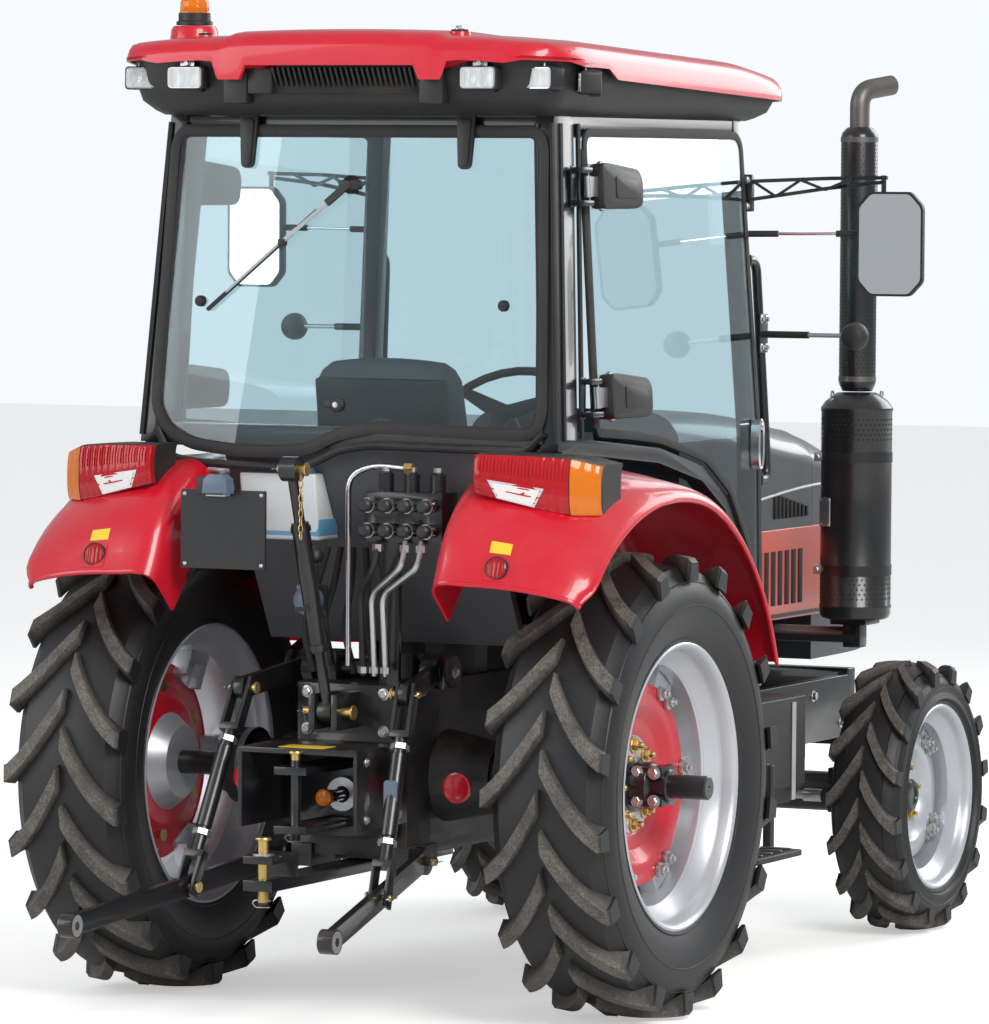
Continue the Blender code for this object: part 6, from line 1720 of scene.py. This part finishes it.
at = (STACK_X, STACK_Y, 0)
drum = [(0, 0.996), (0.092, 0.996), (0.104, 1.002), (DRUM_R, 1.014), (DRUM_R, 1.030), (DRUM_R + 0.002, 1.033), (DRUM_R + 0.002, 1.040), (DRUM_R, 1.043),
        (DRUM_R, 1.640), (DRUM_R + 0.002, 1.643), (DRUM_R + 0.002, 1.652), (DRUM_R - 0.001, 1.656), (0.098, 1.672), (0.072, 1.692), (0.060, 1.699), (0, 1.6995)]
parts = [("black_paint", turned(drum, at, Z, 56))]
for z in (1.150, 1.500):
    parts.append(("black_paint", turned([(DRUM_R, z - 0.016), (DRUM_R + 0.0022, z - 0.016), (DRUM_R + 0.0022, z + 0.016), (DRUM_R, z + 0.016)], at, Z, 56, looped=True)))
    parts.append(("zinc_plate", block((STACK_X + 0.085, STACK_Y + 0.062, z - 0.014), (STACK_X + 0.112, STACK_Y + 0.074, z + 0.014), 0.002)))
    parts.append(("zinc_plate", bolt((STACK_X + 0.100, STACK_Y + 0.074, z), Y, 0.008, 0.006)))
# Rows of near-black discs are painted shade standing for the silencer's holes.
parts.append(("painted_shade_black", dots(STACK_X, STACK_Y, DRUM_R, 1.548, 1.625, 5, 44, 0.0032)))
parts.append(("painted_shade_black", dots(STACK_X, STACK_Y, DRUM_R, 1.055, 1.130, 5, 44, 0.0032)))
for turn in (0.9, 0.9 + math.pi):
    foot = Vector((STACK_X + 0.088 * math.cos(turn), STACK_Y + 0.088 * math.sin(turn), 1.672))
    parts.append(("zinc_plate", turned([(0, 0), (0.008, 0), (0.008, 0.010), (0, 0.010)], foot, Z, 16)))
    eye = [foot + Vector((0, 0.010 * math.cos(a), 0.022 + 0.010 * math.sin(a))) for a in (math.tau * k / 12 for k in range(13))]
    parts.append(("zinc_plate", pipe(eye, 0.003, sides=6)))
label_at = math.radians(52)
out = Vector((math.cos(label_at), math.sin(label_at), 0))
flat = Matrix.Translation(Vector((STACK_X, STACK_Y, 1.33)) + out * (DRUM_R - 0.001)) @ Matrix((Z.cross(out), Z, out)).transposed().to_4x4()
parts.append(("zinc_plate", plate(round_corners([(-0.030, -0.045), (0.030, -0.045), (0.030, 0.045), (-0.030, 0.045)], 0.006), 0.004, flat)))
for u, v in ((-0.023, -0.038), (0.023, -0.038), (0.023, 0.038), (-0.023, 0.038)):
    parts.append(("zinc_plate", dome(flat @ Vector((u, v, 0.004)), out, 0.004, 0.002)))
bracket_z = 0.935
parts.append(("black_paint", block((STACK_X - 0.060, STACK_Y - 0.060, 0.980), (STACK_X + 0.060, STACK_Y + 0.060, 0.997), 0.004)))
parts.append(("black_paint", block((STACK_X - 0.010, STACK_Y - 0.035, bracket_z - 0.012), (SILENCER_HIGH.x, STACK_Y + 0.035, bracket_z + 0.012), 0.004)))
parts.append(("black_paint", block((STACK_X - 0.030, STACK_Y - 0.030, SILENCER_LOW.z + 0.002), (STACK_X + 0.030, STACK_Y + 0.030, 0.985), 0.008)))
parts.append(("exhaust_steel", pipe([(STACK_X, STACK_Y, 1.01), (STACK_X, STACK_Y, 0.945), (SILENCER_HIGH.x, STACK_Y, 0.945)], 0.026, 0.03, 16)))
join("silencer_drum", "chassis", parts, replaces=("exhaust_silencer",))
print("silencer", len(parts), "pieces")

# %% Exhaust stack
guard = [(0, 1.7035), (0.046, 1.7035), (0.050, 1.712), (0.055, 1.722), (GUARD_R, 1.730), (GUARD_R, 2.490), (0.054, 2.502), (0.044, 2.514), (0.036, 2.520), (0, 2.5205)]
# The guard's holes are near-black discs of painted shade.
parts = [("black_paint", turned(guard, at, Z, 44)), ("painted_shade_black", dots(STACK_X, STACK_Y, GUARD_R, 1.760, 2.470, 62, 26, 0.0026))]
for z in (1.742, 2.482):
    parts.append(("exhaust_steel", turned([(GUARD_R - 0.001, z - 0.008), (GUARD_R + 0.0015, z - 0.008), (GUARD_R + 0.0015, z + 0.008), (GUARD_R - 0.001, z + 0.008)], at, Z, 44, looped=True)))
mouth = Vector((STACK_X - 0.055, STACK_Y - 0.125, 2.652))
bend = [Vector((STACK_X, STACK_Y, 2.515)), Vector((STACK_X, STACK_Y, 2.632)), mouth]
parts.append(("exhaust_steel", pipe(bend, PIPE_R, 0.050, 24, 8)))
way = (mouth - bend[1]).normalized()
# A near-black disc in the mouth is painted shade inside the pipe.
parts.append(("painted_shade_black", turned([(0, -0.0005), (PIPE_R * 0.86, -0.0005), (PIPE_R * 0.86, 0.0006), (0, 0.0006)], mouth, way, 24)))
join("stack_guard", "chassis", parts, replaces=("exhaust_stack",))
print("stack top at", round(max(p.z for _, s in parts for p in map(Vector, s[0])), 3))

# %% [markdown]
# ## Mirrors, grab rails and side lamps
# A bracket on each front post carries a truss arm with the mirror, and lower down a grab rail with the side lamp on
# a short arm. A thin bright stay in black sleeves steadies the mirror.

# %% Mirrors
MIRROR_AT = (1.050, AXLE_Y - 1.160, 2.170)
for side_name, side in SIDES.items():
    sway = Matrix.Translation((side * MIRROR_AT[0], MIRROR_AT[1], MIRROR_AT[2])) @ Matrix.Rotation(math.radians(-8 * side), 4, "Z")
    head = [(-0.100, -0.112), (-0.062, -0.154), (0.062, -0.154), (0.100, -0.112), (0.100, 0.112), (0.062, 0.154), (-0.062, 0.154), (-0.100, 0.112)]
    head = round_corners(head, 0.012)
    face = sway @ Matrix((X, Z, -Y)).transposed().to_4x4()
    back = sway @ Matrix.Translation((0, 0.010, 0)) @ Matrix((X, Z, -Y)).transposed().to_4x4()
    parts = [("black_plastic", plate(head, 0.030, back, 0.006))]
    lay = lambda x, z, h, s=sway: s @ Vector((x, 0.010 + h, z))
    parts.append(("mirror_glass", pane([(x * 0.93, z * 0.955) for x, z in head], 0.0004, 0.0016, lay)))
    parts.append(("black_plastic", border(head, 0.0, 0.006, 0.0, 0.0032, lay)))
    rod_x = side * 1.015
    rod = [(rod_x, MIRROR_AT[1] - 0.030, 2.075), (rod_x, MIRROR_AT[1] - 0.030, 2.372)]
    parts.append(("black_paint", pipe(rod, 0.0075, sides=12)))
    parts.append(("black_plastic", block((rod_x - 0.022, MIRROR_AT[1] - 0.040, 2.150), (rod_x + 0.022, MIRROR_AT[1] - 0.012, 2.220), 0.006)))
    post_y = front_y(2.33) - 0.004
    post_x = side * (half_width(2.33) - 0.022)
    top_bar = [Vector((post_x, post_y, 2.350)), Vector((side * 0.84, MIRROR_AT[1] - 0.030, 2.362)), Vector((side * 1.026, MIRROR_AT[1] - 0.030, 2.365))]
    low_bar = [Vector((post_x, post_y, 2.292)), Vector((side * 0.84, MIRROR_AT[1] - 0.030, 2.333)), Vector((side * 1.015, MIRROR_AT[1] - 0.030, 2.352))]
    for bar in (top_bar, low_bar):
        parts.append(("black_paint", strip(bar, 0.011, 0.012, up=Z)))
    for share, next_share in ((0.10, 0.26), (0.42, 0.26), (0.42, 0.60), (0.76, 0.60)):
        parts.append(("black_paint", strip([top_bar[0].lerp(top_bar[2], share), low_bar[0].lerp(low_bar[2], next_share)], 0.008, 0.009, up=Z)))
    parts.append(("black_paint", block((min(post_x, post_x + side * 0.045), post_y - 0.020, 2.262), (max(post_x, post_x + side * 0.045), post_y + 0.006, 2.372), 0.004)))
    for z in (2.278, 2.357):
        parts.append(("zinc_plate", bolt((post_x + side * 0.030, post_y + 0.006, z), Y, 0.008, 0.006)))
    stay = [Vector((side * (half_width(2.20) - 0.010), front_y(2.2) - 0.010, 2.196)), Vector((rod_x, MIRROR_AT[1] - 0.030, 2.200))]
    parts.append(("polished_steel", pipe(stay, 0.0045, sides=10)))
    for low, high in ((0.0, 0.24), (0.66, 0.98)):
        parts.append(("black_plastic", pipe([stay[0].lerp(stay[1], low), stay[0].lerp(stay[1], high)], 0.0095, sides=12)))
    join(f"mirror_arm_{side_name}", "chassis", parts, replaces=(f"mirror_{side_name}",))
print("mirror arms with", len(parts), "pieces each")

# %% Grab rails and side lamps
for side_name, side in SIDES.items():
    rail_y = lambda z: front_y(z) - 0.082
    edge_x = lambda z: side * (half_width(z) - 0.012)
    tube = [Vector((edge_x(2.118), front_y(2.118) + 0.004, 2.118)), Vector((edge_x(2.118), rail_y(2.118), 2.118)),
            Vector((edge_x(1.464), rail_y(1.464), 1.464)), Vector((edge_x(1.464), front_y(1.464) + 0.004, 1.464))]
    parts = [("black_paint", pipe(tube, 0.0145, 0.045, 16, 6))]
    for z in (2.118, 1.464):
        parts.append(("black_paint", block((min(edge_x(z) - 0.020, edge_x(z) + 0.020), front_y(z) - 0.012, z - 0.016),
                                           (max(edge_x(z) - 0.020, edge_x(z) + 0.020), front_y(z) + 0.002, z + 0.016), 0.004)))
    low, high = Vector((edge_x(1.9) + side * 0.006, rail_y(1.84) - 0.016, 1.842)), Vector((edge_x(1.9) + side * 0.017, rail_y(1.84) + 0.046, 1.958))
    parts.append(("black_paint", block([min(a, b) for a, b in zip(low, high)], [max(a, b) for a, b in zip(low, high)], 0.003)))
    for z in (1.858, 1.942):
        for dy in (-0.004, 0.034):
            parts.append(("zinc_plate", bolt((edge_x(1.9) + side * 0.017, rail_y(1.84) + dy, z), X * side, 0.008, 0.006)))
    arm = [Vector((edge_x(1.9) + side * 0.014, rail_y(1.895) + 0.012, 1.897)), Vector((side * 0.905, rail_y(1.895) + 0.012, 1.897))]
    parts.append(("black_plastic", pipe([arm[0], arm[0].lerp(arm[1], 0.55)], 0.0105, sides=12)))
    parts.append(("zinc_plate", pipe([arm[0].lerp(arm[1], 0.5), arm[1]], 0.0065, sides=12)))
    lamp_x, lamp_y, lamp_z = side * 0.930, rail_y(1.895) + 0.012, 1.895
    shade = [(0, -0.030), (0.018, -0.029), (0.032, -0.022), (0.039, -0.008), (0.0415, 0.004), (0.0415, 0.016), (0.038, 0.018), (0, 0.018)]
    parts.append(("black_plastic", turned(shade, (lamp_x, lamp_y, lamp_z), -Y, 32)))
    parts.append(("orange_lens", turned([(0, 0.018), (0.036, 0.018), (0.034, 0.024), (0.020, 0.030), (0, 0.032)], (lamp_x, lamp_y, lamp_z), -Y, 32)))
    join(f"grab_rail_{side_name}_tube", "chassis", parts, replaces=(f"grab_rail_{side_name}",))
print("side lamps at", round(lamp_x, 3))

# %% [markdown]
# ## Hood and nose
# The hood is a one-piece shell with round shoulders that falls towards the nose. Its section comes from one function,
# so the same table gives the top shell, the nose and the pressed line along each side.

# %% Hood
HOOD_TABLE = [
    # distance ahead of the rear axle, half width, lower edge, top, shoulder
    (1.220, 0.352, 1.268, 1.655, 0.11), (1.750, 0.352, 1.268, 1.630, 0.11), (2.250, 0.345, 1.268, 1.570, 0.11),
    (2.420, 0.338, 0.842, 1.535, 0.11), (2.600, 0.330, 0.842, 1.482, 0.10), (2.750, 0.316, 0.842, 1.412, 0.10),
    (2.860, 0.290, 0.842, 1.335, 0.09), (2.918, 0.250, 0.852, 1.270, 0.07)]


def hood_ring(ahead, steps=8):
    half, low, top, shoulder = smooth_table(HOOD_TABLE, ahead)
    low = 1.268 if ahead < 2.30 else (0.842 if ahead < 2.88 else 0.850)
    right = [(half, low), (half, top - shoulder)]
    right += [(half - shoulder * (1 - math.cos(a)), top - shoulder * (1 - math.sin(a))) for a in (math.pi / 2 * k / steps for k in range(1, steps))]
    right += [(half - shoulder * 1.15, top + 0.003), (half * 0.45, top + 0.006), (0.0, top + 0.006)]
    pts = right + [(-x, z) for x, z in reversed(right[:-1])]
    return [Vector((x, AXLE_Y - ahead, z)) for x, z in pts]


rear_rings = [hood_ring(a) for a in spread(1.222, 2.299, 22)]
nose_rings = [hood_ring(a) for a in spread(2.301, 2.918, 24)]
parts = [("hood_paint", loft(rear_rings)), ("hood_paint", loft(nose_rings))]
for side in SIDES.values():
    line = [Vector((side * (smooth_table(HOOD_TABLE, a)[0] + 0.001), AXLE_Y - a, 1.335 + 0.06 * soft_step(a, 1.3, 2.4))) for a in spread(1.30, 2.70, 24)]
    parts.append(("hood_paint", pipe(line, 0.005, sides=8)))
    # Nine near-black slots on each side are painted shade in the hood's vents.
    for k in range(9):
        y = AXLE_Y - 1.98 - 0.032 * k
        parts.append(("painted_shade_black", block((side * 0.351 - 0.003, y - 0.010, 1.300), (side * 0.351 + 0.003, y + 0.010, 1.380 - 0.006 * k), 0.002)))
    light = [Vector((side * x, AXLE_Y - y, z)) for x, y, z in ((0.255, 2.895, 1.17), (0.130, 2.921, 1.13), (0.135, 2.921, 1.06), (0.262, 2.893, 1.06))]
    lamp = slab([0, 1], [0, 1], 0.0, 0.010, lambda u, v, h, l=light: l[0].lerp(l[1], u).lerp(l[3].lerp(l[2], u), v) - Y * h)
    parts.append(("polished_steel", lamp))
    cover = slab([0.04, 0.96], [0.06, 0.94], 0.010, 0.013, lambda u, v, h, l=light: l[0].lerp(l[1], u).lerp(l[3].lerp(l[2], u), v) - Y * h)
    parts.append(("lamp_glass", cover))
nose_y = AXLE_Y - 2.918
parts.append(("black_plastic", block((-0.215, nose_y - 0.012, 0.880), (0.215, nose_y + 0.02, 1.030), 0.010)))
# Near-black bars in the lower grille are painted shade behind its openings.
for k in range(7):
    parts.append(("painted_shade_black", block((-0.195, nose_y - 0.0135, 0.893 + 0.0185 * k), (0.195, nose_y + 0.01, 0.903 + 0.0185 * k), 0.002)))
parts.append(("black_plastic", block((-0.110, nose_y - 0.010, 1.060), (0.110, nose_y + 0.02, 1.180), 0.008)))
# Near-black bars in the upper grille are painted shade behind its openings.
for k in range(5):
    parts.append(("painted_shade_black", block((-0.095, nose_y - 0.0115, 1.072 + 0.020 * k), (0.095, nose_y + 0.01, 1.084 + 0.020 * k), 0.002)))
join("hood_shell", "hood", parts, sharp=32, replaces=("hood",))
print("hood of", len(rear_rings) + len(nose_rings), "rings")

# %% Side panels, frame bolts, tanks and axle details
for side_name, side in SIDES.items():
    x = side * 0.352
    # Seven near-black slots are painted shade in the side panel's vents.
    parts = [("painted_shade_black", block((x - 0.002, AXLE_Y - 2.20 + 0.055 * k, 1.03), (x + 0.002, AXLE_Y - 2.168 + 0.055 * k, 1.20), 0.001)) for k in range(7)]
    parts += [("black_plastic", block((x - 0.003, AXLE_Y - 2.46, 0.992), (x + 0.003, AXLE_Y - 1.225, 1.004), 0.002))]
    parts += [("zinc_plate", bolt((x, AXLE_Y - y, 1.245), X * side, 0.010, 0.006)) for y in (1.26, 1.70, 2.42)]
    join(f"side_panel_{side_name}_details", "chassis", parts)
parts = []
frame_low, frame_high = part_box("front_frame")
for side in SIDES.values():
    for k in range(6):
        parts.append(("zinc_plate", bolt((side * frame_high.x, frame_low.y + 0.12 + 0.24 * k, 0.60 + 0.10 * (k % 2)), X * side, 0.013, 0.010)))
axle_y, axle_z = AXLE_Y - 2.330, (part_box("front_tyre_left")[0].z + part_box("front_tyre_left")[1].z) / 2
for side in SIDES.values():
    for k in range(8):
        a = math.tau * k / 8
        parts.append(("zinc_plate", bolt((side * 0.4085, axle_y + 0.052 * math.cos(a), axle_z + 0.052 * math.sin(a)), -X * side, 0.007, 0.005)))
tank_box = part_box("fuel_tank")
parts.append(("black_plastic", turned([(0, 0), (0.050, 0), (0.052, 0.010), (0.046, 0.026), (0, 0.028)], (0.50, tank_box[0].y + 0.16, tank_box[1].z - 0.002), Z, 32)))
for y in (tank_box[0].y + 0.10, tank_box[1].y - 0.12):
    for side in SIDES.values():
        strap = [(side * 0.617, y, 0.478), (side * 0.617, y, 0.775)]
        parts.append(("zinc_plate", strip(strap, 0.030, 0.003, up=Y)))
for side in SIDES.values():
    for k in range(5):
        y = tank_box[0].y + 0.325 + 0.075 * k
        parts.append(("zinc_plate", block((side * 0.655 - 0.050, y - 0.006, 0.3505), (side * 0.655 + 0.050, y + 0.006, 0.3555), 0.002)))
join("frame_details", "chassis", parts)
print("front details", len(parts))

# %% [markdown]
# ## Seat and controls
# The seat's cushion, backrest and arm pads are stuffed pieces, each made as a swelling pillow. The rest of the seat,
# the steering wheel's rim and the levers are hard and simply go with the cab.

# %% Seat
SEAT_LOW, SEAT_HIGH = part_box("seat")


def cushion(low, high, matrix=None, swell=0.018, steps=9):
    """A closed pillow: a block whose faces swell towards their middles and whose edges are round."""
    centre, half = (Vector(low) + Vector(high)) / 2, (Vector(high) - Vector(low)) / 2
    mesh = bmesh.new()
    bmesh.ops.create_cube(mesh, size=2)
    bmesh.ops.subdivide_edges(mesh, edges=mesh.edges[:], cuts=steps, use_grid_fill=True)
    radius = min(half) * 0.9
    for vertex in mesh.verts:
        p = Vector((vertex.co.x * half.x, vertex.co.y * half.y, vertex.co.z * half.z))
        core = Vector([max(-(h - radius), min(h - radius, c)) for c, h in zip(p, half)])
        away = (p - core)
        p = core + away.normalized() * radius if away.length > 1e-9 else p
        share = [1 - min(1, abs(c) / h) ** 2 for c, h in zip(vertex.co, (1, 1, 1))]
        lift = Vector((p.x / half.x * share[1] * share[2], p.y / half.y * share[0] * share[2], p.z / half.z * share[0] * share[1])) * swell
        vertex.co = centre + p * 0.96 + lift
    shape = shape_of(mesh)
    return moved(shape, matrix) if matrix else shape


seat_y = AXLE_Y
lean_back = Matrix.Translation((0, seat_y - 0.02, 1.34)) @ Matrix.Rotation(math.radians(-9), 4, "X")
pads = {
    "seat_cushion": cushion((-0.235, seat_y - 0.49, 1.250), (0.235, seat_y - 0.03, 1.355)),
    "seat_back_pad": cushion((-0.225, -0.055, 0.02), (0.225, 0.055, 0.50), lean_back),
    "seat_arm_pad_left": cushion((0.222, seat_y - 0.335, 1.487), (0.284, seat_y + 0.015, 1.520), swell=0.004),
    "seat_arm_pad_right": cushion((-0.284, seat_y - 0.335, 1.487), (-0.222, seat_y + 0.015, 1.520), swell=0.004),
}
hard = [("black_plastic", block((-0.150, seat_y - 0.42, SEAT_LOW.z + 0.001), (0.150, seat_y - 0.08, 1.200), 0.020)),
        ("black_plastic", block((-0.215, seat_y - 0.46, 1.195), (0.215, seat_y - 0.05, 1.255), 0.015)),
        ("black_plastic", moved(block((-0.205, 0.045, 0.03), (0.205, 0.068, 0.46), 0.012), lean_back))]
for side in SIDES.values():
    hard.append(("black_plastic", block((side * 0.252 - 0.012, seat_y - 0.02, 1.30), (side * 0.252 + 0.012, seat_y + 0.02, 1.490), 0.005)))
join("seat_frame", "chassis", hard, replaces=("seat",))
for name, shape in pads.items():
    pad = join(name, "chassis", [("cab_lining", shape)], sharp=60)
print(len(pads), "padded pieces")

# %% Controls
parts = []
for x, tall, finish in ((-0.345, 0.20, "warm_orange_plastic"), (-0.385, 0.17, "black_plastic"), (-0.425, 0.17, "black_plastic"), (0.360, 0.15, "black_plastic")):
    foot = world(x, -0.30, 1.30)
    parts += [("zinc_plate", pipe([foot, foot + Vector((0, -0.03, tall))], 0.006, sides=10)), (finish, dome(foot + Vector((0, -0.03, tall)), Z, 0.020, 0.024, 16))]
    parts.append((finish, dome(foot + Vector((0, -0.03, tall + 0.001)), -Z, 0.020, 0.016, 16)))
for side in SIDES.values():
    parts.append(("black_plastic", block(world(side * 0.39 - 0.075, -0.46, 1.085), world(side * 0.39 + 0.075, -0.10, 1.305), 0.02)))
dash_face = Matrix.Translation(world(0, -0.865, 1.570)) @ Matrix.Rotation(math.radians(-50), 4, "X")
# A near-black patch on the dashboard is painted shade in its instrument recess.
parts.append(("painted_shade_black", moved(block((-0.13, -0.07, 0.0), (0.13, 0.07, 0.006), 0.004), dash_face)))
join("cab_controls", "chassis", parts)
print("controls", len(parts))
